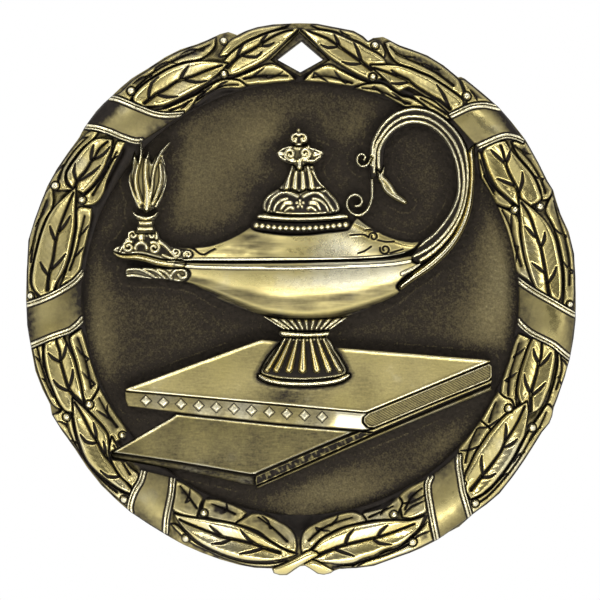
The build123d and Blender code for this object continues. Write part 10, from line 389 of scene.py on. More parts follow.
def inside(P, loops):
    """Which points lie inside the loops, by the even-odd rule."""
    c = np.zeros(len(P), bool)
    for l in loops:
        l = np.asarray(l, float)
        for a, b in zip(l, np.roll(l, -1, 0)):
            if a[1] == b[1]:
                continue
            m = (a[1] > P[:, 1]) != (b[1] > P[:, 1])
            x = (b[0] - a[0]) * (P[:, 1] - a[1]) / (b[1] - a[1]) + a[0]
            c ^= m & (P[:, 0] < x)
    return c


def resample(loop, step, closed=True):
    """The loop with its corners kept and points added along its long sides."""
    L = np.asarray(loop, float)
    nxt = np.roll(L, -1, 0) if closed else L[1:]
    out = []
    for a, b in zip(L, nxt):
        n = max(1, int(math.ceil(np.hypot(*(b - a)) / step)))
        out += [a + (b - a) * k / n for k in range(n)]
    if not closed:
        out.append(L[-1])
    return np.array(out)


def round_edge(d, w):
    """0 at an outline, rising to 1 at w inside it, like a quarter round."""
    return np.sqrt(np.clip(1 - (1 - np.clip(d / w, 0, 1)) ** 2, 0, 1))


def ease(x):
    x = np.clip(x, 0, 1)
    return x * x * (3 - 2 * x)


def beside(line, off):
    """Points on both sides of a line, at a distance."""
    L = resample(line, 0.07, closed=False) if len(line) > 1 else np.asarray(line, float)
    if len(L) == 1:
        a = np.linspace(0, 2 * math.pi, 9)[:-1]
        return L[0] + off * np.stack([np.cos(a), np.sin(a)], -1)
    t = np.gradient(L, axis=0)
    t /= np.hypot(t[:, 0], t[:, 1])[:, None] + 1e-9
    n = np.stack([-t[:, 1], t[:, 0]], -1)
    return np.vstack([L + n * off, L - n * off])


def thin(cands, cell):
    """Point sets in order of importance, keeping those that have no earlier one in their cell."""
    kept = []
    seen = [set(), set()]
    for pts, hard in cands:
        if not len(pts):
            continue
        keys = []
        for shift in (0.0, 0.5):
            q = np.floor(pts / cell + shift).astype(np.int64)
            keys.append(q[:, 0] * 1000003 + q[:, 1])
        if hard:
            ok = np.ones(len(pts), bool)
        else:
            ok = np.array([a not in seen[0] and b not in seen[1] for a, b in zip(*keys)])
            _, first = np.unique(keys[0], return_index=True)
            u = np.zeros(len(pts), bool)
            u[first] = True
            ok &= u
        for s, k in zip(seen, keys):
            s.update(k[ok].tolist())
        kept.append(pts[ok])
    return kept


# ------------------------------------------------------------------ meshes
def solid(name, parts, nodes, material):
    """One closed mesh from parts: (loops, height function, spacing, feature lines, bottom)."""
    V, F, SM, DK, TN = [], [], [], [], []
    count = 0
    for loops, height, step, lines, bottom in parts:
        A, B = ends(loops)
        rings = [resample(l, step) for l in loops]
        lo, hi = A.min(0), A.max(0)
        nx, nz = int((hi[0] - lo[0]) / step) + 2, int((hi[1] - lo[1]) / (step * 0.866)) + 2
        gx, gz = np.meshgrid(np.arange(nx), np.arange(nz))
        grid = np.stack([lo[0] + (gx + 0.5 * (gz % 2)) * step, lo[1] + gz * step * 0.866], -1).reshape(-1, 2)
        grid += RNG.uniform(-0.08, 0.08, grid.shape) * step
        feat = []
        for line, w in lines:
            c = resample(line, 0.06, closed=False) if len(line) > 1 else np.asarray(line, float)
            feat.append(c)
            if w > 0.06:
                feat += [beside(line, w * 0.5), beside(line, w)]
        for r in rings:
            feat += [beside(np.vstack([r, r[:1]]), off) for off in (0.07, 0.15, 0.24)]
        feat = np.vstack(feat)
        ring_pts = np.vstack(rings)
        kept = thin([(ring_pts, True), (feat, False), (grid, False)], step * 0.62)
        free = np.vstack(kept[1:]) if len(kept) > 1 else np.zeros((0, 2))
        free = free[(free >= lo).all(1) & (free <= hi).all(1)]
        free = free[inside(free, loops)]
        free = free[seg_dist(free, A, B) > step * 0.35]
        pts = np.vstack([ring_pts, free])
        E = []
        k = 0
        for r in rings:
            E += [(k + i, k + (i + 1) % len(r)) for i in range(len(r))]
            k += len(r)
        res = delaunay_2d_cdt([Vector(p) for p in pts.tolist()], E, [], 1, 1e-6)
        Q = np.array([tuple(v) for v in res[0]])
        T = np.array([f for f in res[2] if len(f) == 3], int)
        if len(loops) > 1:
            T = T[inside(Q[T].mean(1), loops)]
        u, w_ = Q[T[:, 1]] - Q[T[:, 0]], Q[T[:, 2]] - Q[T[:, 0]]
        cr = u[:, 0] * w_[:, 1] - u[:, 1] * w_[:, 0]
        T[cr < 0] = T[cr < 0][:, ::-1]
        T = T[np.abs(cr) > 1e-9]
        used = np.unique(T)
        remap = -np.ones(len(Q), int)
        remap[used] = np.arange(len(used))
        Q, T = Q[used], remap[T]
        d = seg_dist(Q, A, B)
        h, dark, tone = height(Q, d)
        if np.isscalar(bottom):
            base = np.full(len(Q), float(bottom))
        else:
            base = bottom(Q)
        h = np.minimum(np.maximum(h, base + 0.02), TOP)
        # rim edges of the top surface
        e = np.vstack([T[:, [0, 1]], T[:, [1, 2]], T[:, [2, 0]]])
        key = e[:, 0] * (len(Q) + 1) + e[:, 1]
        rev = e[:, 1] * (len(Q) + 1) + e[:, 0]
        rim = e[~np.isin(key, rev)]
        rv = np.unique(rim)
        low = -np.ones(len(Q), int)
        low[rv] = len(Q) + np.arange(len(rv))
        # underside, triangulated on the rim alone where that works
        idx = {int(v): i for i, v in enumerate(rv)}
        E2 = [(idx[int(a)], idx[int(b)]) for a, b in rim]
        r2 = delaunay_2d_cdt([Vector(p) for p in Q[rv].tolist()], E2, [], 1, 1e-7)
        bot = None
        if len(r2[0]) == len(rv):
            order = [o[0] if len(o) else -1 for o in r2[3]]
            if -1 not in order:
                b = np.array([[order[i] for i in f] for f in r2[2] if len(f) == 3], int)
                R = Q[rv]
                b = b[inside(R[b].mean(1), loops)]
                u, w_ = R[b[:, 1]] - R[b[:, 0]], R[b[:, 2]] - R[b[:, 0]]
                cr = u[:, 0] * w_[:, 1] - u[:, 1] * w_[:, 0]
                b[cr > 0] = b[cr > 0][:, ::-1]
                be = np.vstack([b[:, [0, 1]], b[:, [1, 2]], b[:, [2, 0]]])
                bk, br = be[:, 0] * 100003 + be[:, 1], be[:, 1] * 100003 + be[:, 0]
                if (~np.isin(bk, br)).sum() == len(rim):
                    bot = low[rv[b]]
                    lowest, lowh, lowd = Q[rv], base[rv], rv
        if bot is None:
            low = len(Q) + np.arange(len(Q))
            bot = low[T[:, ::-1]]
            lowest, lowh, lowd = Q, base, np.arange(len(Q))
        allP = np.vstack([Q, lowest])
        allH = np.concatenate([h, lowh])
        V.append(np.stack([allP[:, 0] * MM, -allH * MM, allP[:, 1] * MM + CENTRE_Z], -1))
        DK.append(np.concatenate([dark, np.maximum(dark[lowd], 0.85)]))
        TN.append(np.concatenate([tone, tone[lowd]]))
        F += (T + count).tolist()
        SM += [True] * len(T)
        walls = np.stack([rim[:, 0], low[rim[:, 0]], low[rim[:, 1]], rim[:, 1]], -1) + count
        F += walls.tolist()
        SM += [False] * len(walls)
        F += (bot + count).tolist()
        SM += [False] * len(bot)
        count += len(allP)
    me = bpy.data.meshes.new(name)
    me.from_pydata(np.vstack(V).tolist(), [], F)
    me.polygons.foreach_set("use_smooth", SM)
    for attr, vals in (("dark", DK), ("tone", TN)):
        me.attributes.new(attr, "FLOAT", "POINT").data.foreach_set("value", np.clip(np.concatenate(vals), 0, 1).astype(np.float32))
    me.update()
    o = bpy.data.objects.new(name, me)
    bpy.context.scene.collection.objects.link(o)
    o.cycles.shadow_terminator_geometry_offset = 0.3
    o.data.materials.append(material)
    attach(o, "root")
    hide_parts(*nodes)
    return o


# ------------------------------------------------------------------ heights above the back
BLADE, BAND_DARK = 0.40, 0.46


def outline_points(names, step=0.25):
    pts = []
    for n in names:
        for part in OUTLINE[n]:
            pts.append(resample(part[0], step))
    return np.vstack(pts)


def nearest(P, pts):
    kd = KDTree(len(pts))
    for i, p in enumerate(pts.tolist()):
        kd.insert((p[0], p[1], 0), i)
    kd.balance()
    return np.array([kd.find((x, z, 0))[2] for x, z in P.tolist()])


def torus(P):
    """The wreath's half-round section."""
    r = np.hypot(P[:, 0], P[:, 1])
    return 1.95 + 1.42 * np.sqrt(np.clip(1 - ((r - 22.7) / 2.95) ** 2, 0, 1))


def flank_shade(P):
    """Painted shade along the inner and outer flanks of the wreath's half-round, heavier on the outer flank towards
    the top.
    """
    r = np.hypot(P[:, 0], P[:, 1])
    outer = 0.50 + 0.36 * np.clip(P[:, 1] / 16, -1, 1)
    return 0.50 * ease((22.0 - r) / 2.2) + outer * ease((r - 23.7) / 1.5)


def wobble(P, size, seed):
    """Smooth random values from 0 to 1 over the plane."""
    g = np.random.default_rng(seed)
    s = np.zeros(len(P))
    for _ in range(7):
        a = g.uniform(0, 2 * math.pi)
        k = g.uniform(0.6, 1.5) * 2 * math.pi / size
        s += np.sin(P[:, 0] * k * math.cos(a) + P[:, 1] * k * math.sin(a) + g.uniform(0, 6.3))
    return np.clip(0.5 + s / 7.0, 0, 1)


def cut(h, dark, d, w, depth, deep=1.0):
    k = np.clip(1 - d / np.maximum(w, 1e-3), 0, 1)
    return h - depth * ease(k), np.maximum(dark, deep * ease(k * 1.5))


def leaf_height(mid, veins, top, crown, seed, dimming=0.0, fine=1.0):
    """A cupped blade: highest just inside its outline, falling to the midrib."""
    def f(P, d):
        base = torus(P) + top
        # the tone varies at random and is drawn paler towards the bottom of the wreath as painted light
        tone = 0.30 + 0.30 * wobble(P, 6, 3) + 0.12 * ease((-P[:, 1] - 6) / 12)
        # painted shade on the wreath's flanks, carried onto the leaves
        flank_shade_leaf = flank_shade(P) * 0.7
        if len(mid) > 1:
            dm, t = line_dist(P, mid)
            u = d / (d + dm + 1e-6)
            p = 1.42 * (1 - np.exp(-u / 0.11)) * (1 - u) ** 0.9
            along = np.hypot(*(np.asarray(mid[-1]) - np.asarray(mid[0]))) * t
            rib = 0.5 + 0.5 * np.sin(2 * math.pi * (along + 0.95 * dm) / 0.58 + seed)
            rib_in = ease((d - 0.22) / 0.2) * ease((dm - 0.1) / 0.15)
            h = base + crown * p * np.clip((d + dm) / 0.9, 0.35, 1) + 0.006 * (rib - 0.5) * rib_in
        else:
            h = base + crown * 0.8 * round_edge(d, 0.7)
        h = h - 0.26 * (1 - round_edge(d, 0.20))
        # painted light: the main leaves' blades are drawn lighter towards the bottom and the right of the wreath; on
        # the dimmer inner and outer leaves the value turns negative and darkens the blades at the foot
        blade_lift = np.clip(0.8 * ease((-P[:, 1] - 6) / 12) + 0.85 * ease((P[:, 0] - 12) / 8), 0, 0.95)
        # dimming darkens the inner and outer leaves and softens their edge lines; at the foot of the wreath it darkens
        # the blades further
        if dimming:
            foot = ease((-P[:, 1] - 10) / 8) * ease((23.2 - np.hypot(P[:, 0], P[:, 1])) / 1.5)
            blade_lift = -0.15 * foot
        blade = (1 - blade_lift) * BLADE * ease((d - 0.16) / 0.55) * (0.7 + 0.6 * wobble(P, 2.6, 13 + seed))
        dark = np.clip(blade + flank_shade_leaf + dimming * (0.6 + 0.8 * wobble(P, 1.8, 23 + seed)), 0, 1)
        if len(mid) > 1:
            dark = np.clip(dark + 0.07 * (0.45 - rib) * rib_in, 0, 1)
        # a bright line just inside the outline: polish on the leaf's raised edge together with a painted highlight
        lip = np.exp(-(((d - 0.21) / 0.09) ** 2))
        if dimming:
            dark = np.maximum(dark, foot * (0.44 + 0.2 * wobble(P, 1.4, 29)))
            lip = lip * (1 - 0.5 * foot)
        dark = dark * (1 - (0.6 - dimming) * lip)
        tone = np.maximum(tone, lip * (0.62 - dimming))
        dark = np.maximum(dark, np.exp(-((d / 0.115) ** 2)))
        if len(mid) > 1:
            h, dark = cut(h, dark, dm, fine * (0.15 + 0.13 * t), 0.32)
            dark = np.maximum(dark, np.exp(-((dm / (0.15 * fine)) ** 4)))
        for v in veins:
            dv, tv = line_dist(P, v)
            w = fine * 0.08 + fine * 0.19 * np.sin(math.pi * np.clip(0.16 + 0.76 * tv, 0, 1))
            h, dark = cut(h, dark, dv, w, 0.28)
        return h, dark, tone
    return f


def band_height(e1, e2):
    def f(P, d):
        d1, _ = line_dist(P, e1)
        d2, _ = line_dist(P, e2)
        dc = np.minimum(d1, d2)
        h = torus(P) + 0.10 + 0.06 * ease(dc / 1.2)
        r = np.hypot(P[:, 0], P[:, 1])
        # painted highlight along the band's crest, weaker on the left; the left bands are drawn darker as painted
        # shade, and the flanks carry painted shade
        crest_highlight = np.exp(-(((r - 23.5 + 0.5 * wobble(P, 3, 61)) / 0.75) ** 2)) * np.where(P[:, 0] < 0, 0.4, 1.0)
        dark = np.clip(BAND_DARK * (np.where(P[:, 0] < 0, 1.15, 1.0) + 0.3 * wobble(P, 4, 17)) * (1 - 0.75 * crest_highlight) + 0.48 * flank_shade(P) * (1 - 0.5 * crest_highlight), 0, 1)
        ring = np.abs(dc - 0.17)
        k = np.clip(1 - (ring / 0.125) ** 2, 0, 1)
        h = np.where(dc < 0.38, torus(P) + 0.02, h) + 0.26 * np.sqrt(k)
        dark = np.where(dc < 0.40, 0.95, dark)
        # the polished cords keep a little painted flank shade
        dark = np.where(k > 0, dark * (1 - ease(k * 1.6)) + 0.10 * flank_shade(P), dark)
        far = dc > 0.3
        dark = np.where(far, np.maximum(dark, np.exp(-(((dc - 0.38) / 0.11) ** 2))), dark)
        h = h - 0.25 * (1 - round_edge(d, 0.12))
        dark = np.maximum(dark, np.exp(-((d / 0.07) ** 2)) * 0.9)
        return h, dark, np.maximum(0.22 + 0.3 * wobble(P, 5, 8) + 0.08 * crest_highlight, np.where(k > 0, 1.0, 0.0))
    return f


def crowned(height0, rise, width, dark0=0.0, edge=0.09, over=None, rim=0.0):
    """A raised shape, rounded up from its outline, with a polished rim if one is asked for."""
    def f(P, d):
        base = over(P) if over is not None else np.zeros(len(P))
        h = base + height0 + rise * round_edge(d, width)
        dark = np.full(len(P), dark0)
        tone = 0.4 + 0.3 * wobble(P, 4, 5)
        if rim:
            k = np.exp(-(((d - rim) / 0.10) ** 2))
            h = h + 0.12 * k
            dark = dark * (1 - ease(k * 1.3))
            tone = np.maximum(tone, k)
        dark = np.maximum(dark, np.exp(-((d / edge) ** 2)))
        return h, dark, tone
    return f


def with_lines(name, f):
    """f with the node's raised and cut lines worked in."""
    def g(P, d):
        h, dark, tone = f(P, d)
        h0 = h.copy()
        polish = np.zeros(len(P))
        ring = np.zeros(len(P))
        for line, w0, w1, rise in RIDGES.get(name, []):
            dl, t = line_dist(P, line)
            w = w0 + (w1 - w0) * t
            k = np.clip(1 - (dl / w) ** 2, 0, 1)
            h = np.maximum(h, h0 + rise * k ** 0.7)
            polish = np.maximum(polish, ease(k * 2.6))
            if rise > 0.1:
                ring = np.maximum(ring, 0.95 * np.exp(-(((dl - w * 1.25) / 0.085) ** 2)))
        dark = np.maximum(dark, ring) * (1 - polish)
        tone = np.maximum(tone, (0.3 + 0.35 * polish) if name == "pedestal_bell" else (0.5 + 0.5 * polish))
        for line, w, depth in GROOVES.get(name, []):
            dl, t = line_dist(P, line)
            h, dark = cut(h, dark, dl, w, depth)
        return h, dark, tone
    return g


def features(name):
    return [(l, w0) for l, w0, w1, r in RIDGES.get(name, [])] + [(l, w) for l, w, d in GROOVES.get(name, [])]


# ------------------------------------------------------------------ materials
def link(nt, a, b):
    nt.links.new(a, b)


def ramp(nt, stops):
    n = nt.nodes.new("ShaderNodeValToRGB")
    while len(n.color_ramp.elements) < len(stops):
        n.color_ramp.elements.new(0.5)
    for e, (p, c) in zip(n.color_ramp.elements, stops):
        e.position = p
        e.color = (*c, 1)
    return n


def math_node(nt, op, a, b=None, clamp=False):
    n = nt.nodes.new("ShaderNodeMath")
    n.operation = op
    n.use_clamp = clamp
    for i, v in enumerate((a, b)):
        if v is None:
            continue
        if isinstance(v, (int, float)):
            n.inputs[i].default_value = v
        else:
            link(nt, v, n.inputs[i])
    return n.outputs[0]


def antique(name, light, mid, patina, rough=0.30, fine=5200, bump=0.10, grain=0.35, speckle=0.0, streak=None, rough_dark=0.62, metal_dark=0.6, hot=(0.98, 0.92, 0.66), smear=0.0):
    """Antique gold plate: polished high spots and dark patina left in the recesses, with painted shade carried in by
    the dark attribute and painted highlights by the tone attribute.
    """
    m = bpy.data.materials.new(name)
    m.use_nodes = True
    nt = m.node_tree
    bsdf = nt.nodes["Principled BSDF"]
    co = nt.nodes.new("ShaderNodeTexCoord")
    at = nt.nodes.new("ShaderNodeAttribute")
    at.attribute_name = "dark"
    tn = nt.nodes.new("ShaderNodeAttribute")
    tn.attribute_name = "tone"
    def noise(scale, detail=3, vec=None, rough_=0.55):
        n = nt.nodes.new("ShaderNodeTexNoise")
        n.inputs["Scale"].default_value = scale
        n.inputs["Detail"].default_value = detail
        n.inputs["Roughness"].default_value = rough_
        link(nt, vec or co.outputs["Object"], n.inputs["Vector"])
        return n.outputs["Fac"]
    broad = noise(330, 4)
    small = noise(2300, 4)
    grainy = noise(fine, 2)
    # patina and painted shade: the dark value, broken up by noise
    spread = math_node(nt, "MULTIPLY", math_node(nt, "SUBTRACT", small, 0.5), grain)
    spread = math_node(nt, "MULTIPLY", spread, math_node(nt, "ADD", at.outputs["Fac"], 0.3))
    dark = math_node(nt, "ADD", at.outputs["Fac"], spread)
    if speckle:
        sp = math_node(nt, "MULTIPLY", math_node(nt, "SUBTRACT", grainy, 0.5), speckle)
        dark = math_node(nt, "ADD", dark, sp)
    st = None
    if streak:
        mp = nt.nodes.new("ShaderNodeMapping")
        mp.inputs["Rotation"].default_value = (0, math.radians(streak[0]), 0)
        mp.inputs["Scale"].default_value = (streak[1], 1, streak[2])
        link(nt, co.outputs["Object"], mp.inputs["Vector"])
        st = noise(1.0, 3, mp.outputs[0], 0.7)
        dark = math_node(nt, "ADD", dark, math_node(nt, "MULTIPLY", math_node(nt, "SUBTRACT", st, 0.5), smear))
    dark = math_node(nt, "ADD", dark, math_node(nt, "MULTIPLY", math_node(nt, "SUBTRACT", broad, 0.5), 0.22), clamp=True)
    tone = math_node(nt, "ADD", tn.outputs["Fac"], math_node(nt, "MULTIPLY", math_node(nt, "SUBTRACT", broad, 0.5), 0.7), clamp=True)
    gold = ramp(nt, [(0.0, mid), (0.55, light), (0.85, hot), (1.0, hot)])
    link(nt, tone, gold.inputs[0])
    pat = ramp(nt, [(0.25, tuple(c * 0.55 for c in patina)), (0.8, tuple(c * 1.8 for c in patina))])
    link(nt, small, pat.inputs[0])
    mix = nt.nodes.new("ShaderNodeMix")
    mix.data_type = "RGBA"
    curve = ramp(nt, [(0.12, (0, 0, 0)), (0.45, (0.5, 0.5, 0.5)), (0.85, (1, 1, 1))])
    link(nt, dark, curve.inputs[0])
    link(nt, curve.outputs[0], mix.inputs["Factor"])
    link(nt, gold.outputs[0], mix.inputs[6])
    link(nt, pat.outputs[0], mix.inputs[7])
    link(nt, mix.outputs[2], bsdf.inputs["Base Color"])
    rr = nt.nodes.new("ShaderNodeMapRange")
    rr.inputs["To Min"].default_value = rough
    rr.inputs["To Max"].default_value = rough_dark
    link(nt, curve.outputs[0], rr.inputs["Value"])
    r2 = math_node(nt, "ADD", rr.outputs[0], math_node(nt, "MULTIPLY", math_node(nt, "SUBTRACT", small, 0.5), 0.16), clamp=True)
    link(nt, r2, bsdf.inputs["Roughness"])
    mr = nt.nodes.new("ShaderNodeMapRange")
    mr.inputs["To Min"].default_value = 1.0
    mr.inputs["To Max"].default_value = metal_dark
    link(nt, curve.outputs[0], mr.inputs["Value"])
    link(nt, mr.outputs[0], bsdf.inputs["Metallic"])
    b = nt.nodes.new("ShaderNodeBump")
    b.inputs["Strength"].default_value = bump
    b.inputs["Distance"].default_value = 0.00004
    hgt = math_node(nt, "ADD", grainy, math_node(nt, "MULTIPLY", small, 0.8))
    if streak:
        hgt = math_node(nt, "ADD", hgt, math_node(nt, "MULTIPLY", st, streak[3]))
    link(nt, hgt, b.inputs["Height"])
    link(nt, b.outputs[0], bsdf.inputs["Normal"])
    return m


LIGHT, MIDG, PATINA = (0.84, 0.72, 0.32), (0.50, 0.41, 0.14), (0.016, 0.012, 0.009)
GOLD = antique("antique_gold_relief", LIGHT, MIDG, PATINA, rough=0.22)
LEAF = antique("antique_gold_leaf", LIGHT, MIDG, PATINA, rough=0.23, bump=0.16, grain=0.45)
BODY = antique("antique_gold_lamp", (0.84, 0.72, 0.32), (0.60, 0.50, 0.17), PATINA, rough=0.27, bump=0.09, grain=0.15, streak=(4, 300, 3600, 1.2), smear=0.36)
BOOK = antique("antique_gold_book", (0.60, 0.51, 0.22), (0.42, 0.355, 0.13), PATINA, rough=0.34, bump=0.14, streak=(14, 900, 5200, 1.1), smear=0.42, speckle=0.25)
STIPPLE = antique("patinated_field", (0.32, 0.265, 0.13), (0.22, 0.175, 0.09), (0.022, 0.017, 0.012), rough=0.46, fine=7000, bump=0.55, grain=0.40, speckle=0.55, rough_dark=0.6, metal_dark=0.75, hot=(0.34, 0.29, 0.15))
BACKM = antique("antique_gold_back", (0.60, 0.51, 0.22), (0.42, 0.35, 0.14), PATINA, rough=0.36, fine=3800, bump=0.35, grain=0.5, speckle=0.3, hot=(0.62, 0.53, 0.24), streak=(70, 120, 2600, 0.8), smear=0.35)

# ------------------------------------------------------------------ the wreath
LAMP_NODES = [n for n in OUTLINE if n.startswith(("lamp_", "wick", "spout_", "lid_", "handle_", "pedestal_"))]
BOOK_NODES = [n for n in OUTLINE if "_book_" in n]


def leaf_parts(keys, top, crown, step=0.08, dimming=0.0):
    parts = []
    for i, k in enumerate(keys):
        mid, veins = LEAF_LINES.get(k, ([], []))
        f = leaf_height(mid, veins, top, crown, i, dimming, 0.65 if dimming else 1.0)
        lines = ([(mid, 0.15)] if len(mid) > 1 else []) + [(v, 0.14) for v in veins]
        for loops in OUTLINE[k]:
            parts.append((loops, f, step, lines, 1.75))
    return parts


for side, s in (("left", "L"), ("right", "R")):
    for i in range(1, 8):
        n = f"leaf_{side}_{i}"
        solid(n + "_relief", leaf_parts([n], 0.0, 0.44, 0.065), [n], LEAF)
    for kind, pre, top in (("inner", "in_", -0.10), ("outer", "out_", -0.12)):
        n = f"{kind}_leaves_{side}"
        keys = [k for k in OUTLINE if k.startswith(pre + s)]
        solid(n + "_relief", leaf_parts(keys, top - 0.03, 0.34, 0.075, 0.12), [n], LEAF)
    n = f"berries_{side}"
    parts = []
    for loops in OUTLINE[n]:
        q = np.asarray(loops[0], float)
        c = q.mean(0)
        R = np.percentile(np.hypot(*(q - c).T), 70) * 1.02

        def berry(P, d, c=c, R=R):
            k = np.clip(1 - (np.hypot(*(P - c).T) / R) ** 2, 0, 1)
            return torus(P) - 0.20 + 0.62 * np.sqrt(k), 0.9 * ease(1 - k * 3.0), np.full(len(P), 1.0)
        parts.append((loops, berry, 0.06, [], 1.75))
    solid(n + "_relief", parts, [n], GOLD)
    n = f"stem_{side}"
    solid(n + "_relief", [(l, crowned(-0.05, 0.42, 0.42, over=torus), 0.07, [], 1.75) for l in OUTLINE[n]], [n], GOLD)

for n, (e1, e2) in CORDS.items():
    lines = [(e1, 0.17), (e2, 0.17), (e1, 0.30), (e2, 0.30)]
    solid(n + "_relief", [(l, band_height(e1, e2), 0.08, lines, 1.75) for l in OUTLINE[n]], [n], GOLD)


def bed_height(P, d):
    """The ground of the wreath, seen between the leaves."""
    dn = nearest(P, outline_points([n for n in OUTLINE if n.startswith(("leaf_", "in_", "out_", "band_", "berries"))], 0.12))
    h = torus(P) - 0.30 + 0.14 * ease(dn / 0.5)
    # lower under the midribs, so that the cuts in the leaves stay clear of it
    dm = nearest(P, np.vstack([resample(m, 0.12, closed=False) for m, _ in LEAF_LINES.values() if len(m) > 1]))
    h = h - 0.34 * ease(1.7 * np.exp(-((dm / 0.6) ** 2)))
    dark = 0.62 + 0.35 * (wobble(P, 1.6, 19) - 0.5) - 0.16 * ease((dn - 0.2) / 0.4)
    dark = np.maximum(dark, 1.1 * np.exp(-((dn / 0.15) ** 2)))
    dark = np.maximum(dark, 1.0 - 0.42 * ease((np.hypot(P[:, 0], P[:, 1]) - 20.9) / 1.5))
    # the notch at the foot, where the two branches part
    notch = ease(1.5 * np.exp(-((P[:, 0] / 1.7) ** 2 + ((P[:, 1] + 20.2) / 1.8) ** 2)))
    h = h * (1 - notch) + (FIELD + 0.05) * notch
    dark = dark * (1 - notch) + np.maximum(dark, 0.90) * notch
    return h, np.clip(dark, 0, 1), np.full(len(P), 0.3)


solid("wreath_bed_relief", [([WREATH_BED[0]] + [l for l in WREATH_BED[1:]], bed_height, 0.11, [], 1.7)], ["wreath_bed"], LEAF)
solid("hanger_eye_relief", [(l, crowned(2.45, 0.2, 0.2, dark0=0.8), 0.06, [], 1.75) for l in OUTLINE["hanger_eye"]], ["hanger_eye"], GOLD)

# ------------------------------------------------------------------ the lamp
def body_bulge(low):
    """Half of a turned body: full at its rim line and falling away above and below it."""
    xs = np.linspace(-18, 16, 500)
    soft = np.hanning(41) / np.hanning(41).sum()

    def eased(line):
        line = np.array(line)
        z = np.interp(xs, line[:, 0], line[:, 1])
        return np.convolve(np.pad(z, 20, mode="edge"), soft, mode="valid")
    rim, edge = eased(RIM_LINE), eased(BOWL_LINE if low else SHOULDER_LINE)

    def f(P, d):
        zr = np.interp(P[:, 0], xs, rim)
        ze = np.interp(P[:, 0], xs, edge)
        span = np.maximum(np.abs(zr - ze), 0.05)
        u = np.clip((P[:, 1] - zr) / (ze - zr), 0, 1)
        flat = np.stack([P[:, 0] * 0.3, P[:, 1]], -1)
        if low:
            h = FIELD + 0.2 + 1.95 * np.clip(span / 5.2, 0, 1) ** 0.6 * np.clip(1 - u ** 2.2, 0, 1) ** 0.5
            # painted reflection bands of the turned belly: a painted highlight line under the rim, painted shade under
            # the belly, a painted highlight line above the foot
            dark = 0.20 * wobble(flat, 1.6, 95) + 0.24 * np.exp(-(((u - 0.20) / 0.07) ** 2))
            dark += 0.06 * np.exp(-(((u - 0.62) / 0.08) ** 2)) + 0.50 * ease((u - 0.48) / 0.2) * (1 - ease((u - 0.93) / 0.05))
            dark *= 1 - 0.5 * np.exp(-(((u - 0.86) / 0.04) ** 2))
            dark += 0.7 * ease((u - 0.91) / 0.09)
            dark *= np.clip(span / 2.0, 0.6, 1)
        else:
            h = FIELD + 0.3 + 1.7 * np.clip(span / 4.8, 0, 1) ** 0.6 * (1 - 0.62 * u ** 1.2 - 0.3 * u ** 6)
            h = h + 0.10 * np.exp(-(((P[:, 0] - 5.6) / 1.8) ** 2)) * (1 - u ** 2)
            dark = 0.28 * (wobble(flat, 1.5, 91) - 0.25) + 0.20 * np.exp(-(((u - 0.45) / 0.18) ** 2)) * wobble(flat, 3, 93)
            # painted shade over the left of the cover and a painted highlight on its right shoulder, darker again
            # beyond it
            dark = dark + 0.44 * np.exp(-(((P[:, 0] + 4.6) / 3.0) ** 2)) * (0.7 + 0.6 * wobble(flat, 0.7, 97))
            dark = dark * (1 - 0.75 * np.exp(-(((P[:, 0] - 4.4) / 2.2) ** 2))) + 0.16 * ease((P[:, 0] - 5.2) / 2.0)
        dark = np.maximum(dark, np.exp(-((d / 0.13) ** 2)))
        tone = 0.34 + 0.34 * wobble(flat, 3, 21)
        if not low:
            # the tone is dimmed over the left of the cover and raised by a painted highlight on its right shoulder
            tone = tone * (1 - 0.7 * np.exp(-(((P[:, 0] + 4.6) / 3.0) ** 2))) + 0.25 * np.exp(-(((P[:, 0] - 3.6) / 2.0) ** 2 + ((P[:, 1] - 5.0) / 1.6) ** 2))
        if low:
            # painted highlight on the upper right of the belly
            tone = tone * (1 - 0.6 * ease((u - 0.45) / 0.15)) + 0.5 * np.exp(-(((P[:, 0] - 5.0) / 4.5) ** 2)) * (1 - ease((u - 0.35) / 0.2))
            dark = dark * (1 - 0.6 * np.exp(-(((P[:, 0] - 5.0) / 4.5) ** 2)) * (1 - ease((u - 0.35) / 0.2)))
        return h, np.clip(dark, 0, 1), tone
    return f


def lamp_piece(n, f, step=0.065, bottom=1.7, names=None, mat=GOLD):
    names = names or [n]
    parts = []
    for k in names:
        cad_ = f[k] if isinstance(f, dict) else f
        for l in OUTLINE[k]:
            parts.append((l, with_lines(k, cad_), step, features(k), bottom))
    solid(n + "_relief", parts, [n], mat)


for n, low in (("lamp_bowl", True), ("lamp_cover", False)):
    parts = [(l, with_lines(n, body_bulge(low)), 0.085, features(n), 1.7) for l in OUTLINE[n]]
    solid(n + "_relief", parts, [n], BODY)
lamp_piece("spout_lip", crowned(2.6, 0.65, 0.45, rim=0.3), mat=BODY)
lamp_piece("lamp_flame", crowned(1.95, 0.5, 0.5, dark0=0.42, rim=0.15))
lamp_piece("wick_cup", crowned(2.1, 0.5, 0.5, dark0=0.7, rim=0.14))
lamp_piece("spout_scrollwork", crowned(2.45, 0.35, 0.3, dark0=0.85, rim=0.13))
lamp_piece("spout_leaf", crowned(2.3, 0.45, 0.35, dark0=0.72, rim=0.12))
lamp_piece("lid_finial", {"lid_finial": crowned(2.3, 0.5, 0.35, dark0=0.85, rim=0.16), "lid_volutes": crowned(2.4, 0.55, 0.4, dark0=0.75, rim=0.18), "lid_ball": crowned(2.25, 0.55, 0.24)}, names=["lid_finial", "lid_volutes", "lid_ball"])
lamp_piece("lid_neck", crowned(2.2, 0.5, 0.5, dark0=0.9, rim=0.15))
lamp_piece("lid_dome", crowned(2.2, 0.8, 1.2, dark0=0.9, rim=0.19))
lamp_piece("lid_ring", crowned(2.6, 0.45, 0.3, dark0=0.5))
lamp_piece("handle_loop", crowned(2.5, 0.35, 0.25, dark0=0.92))
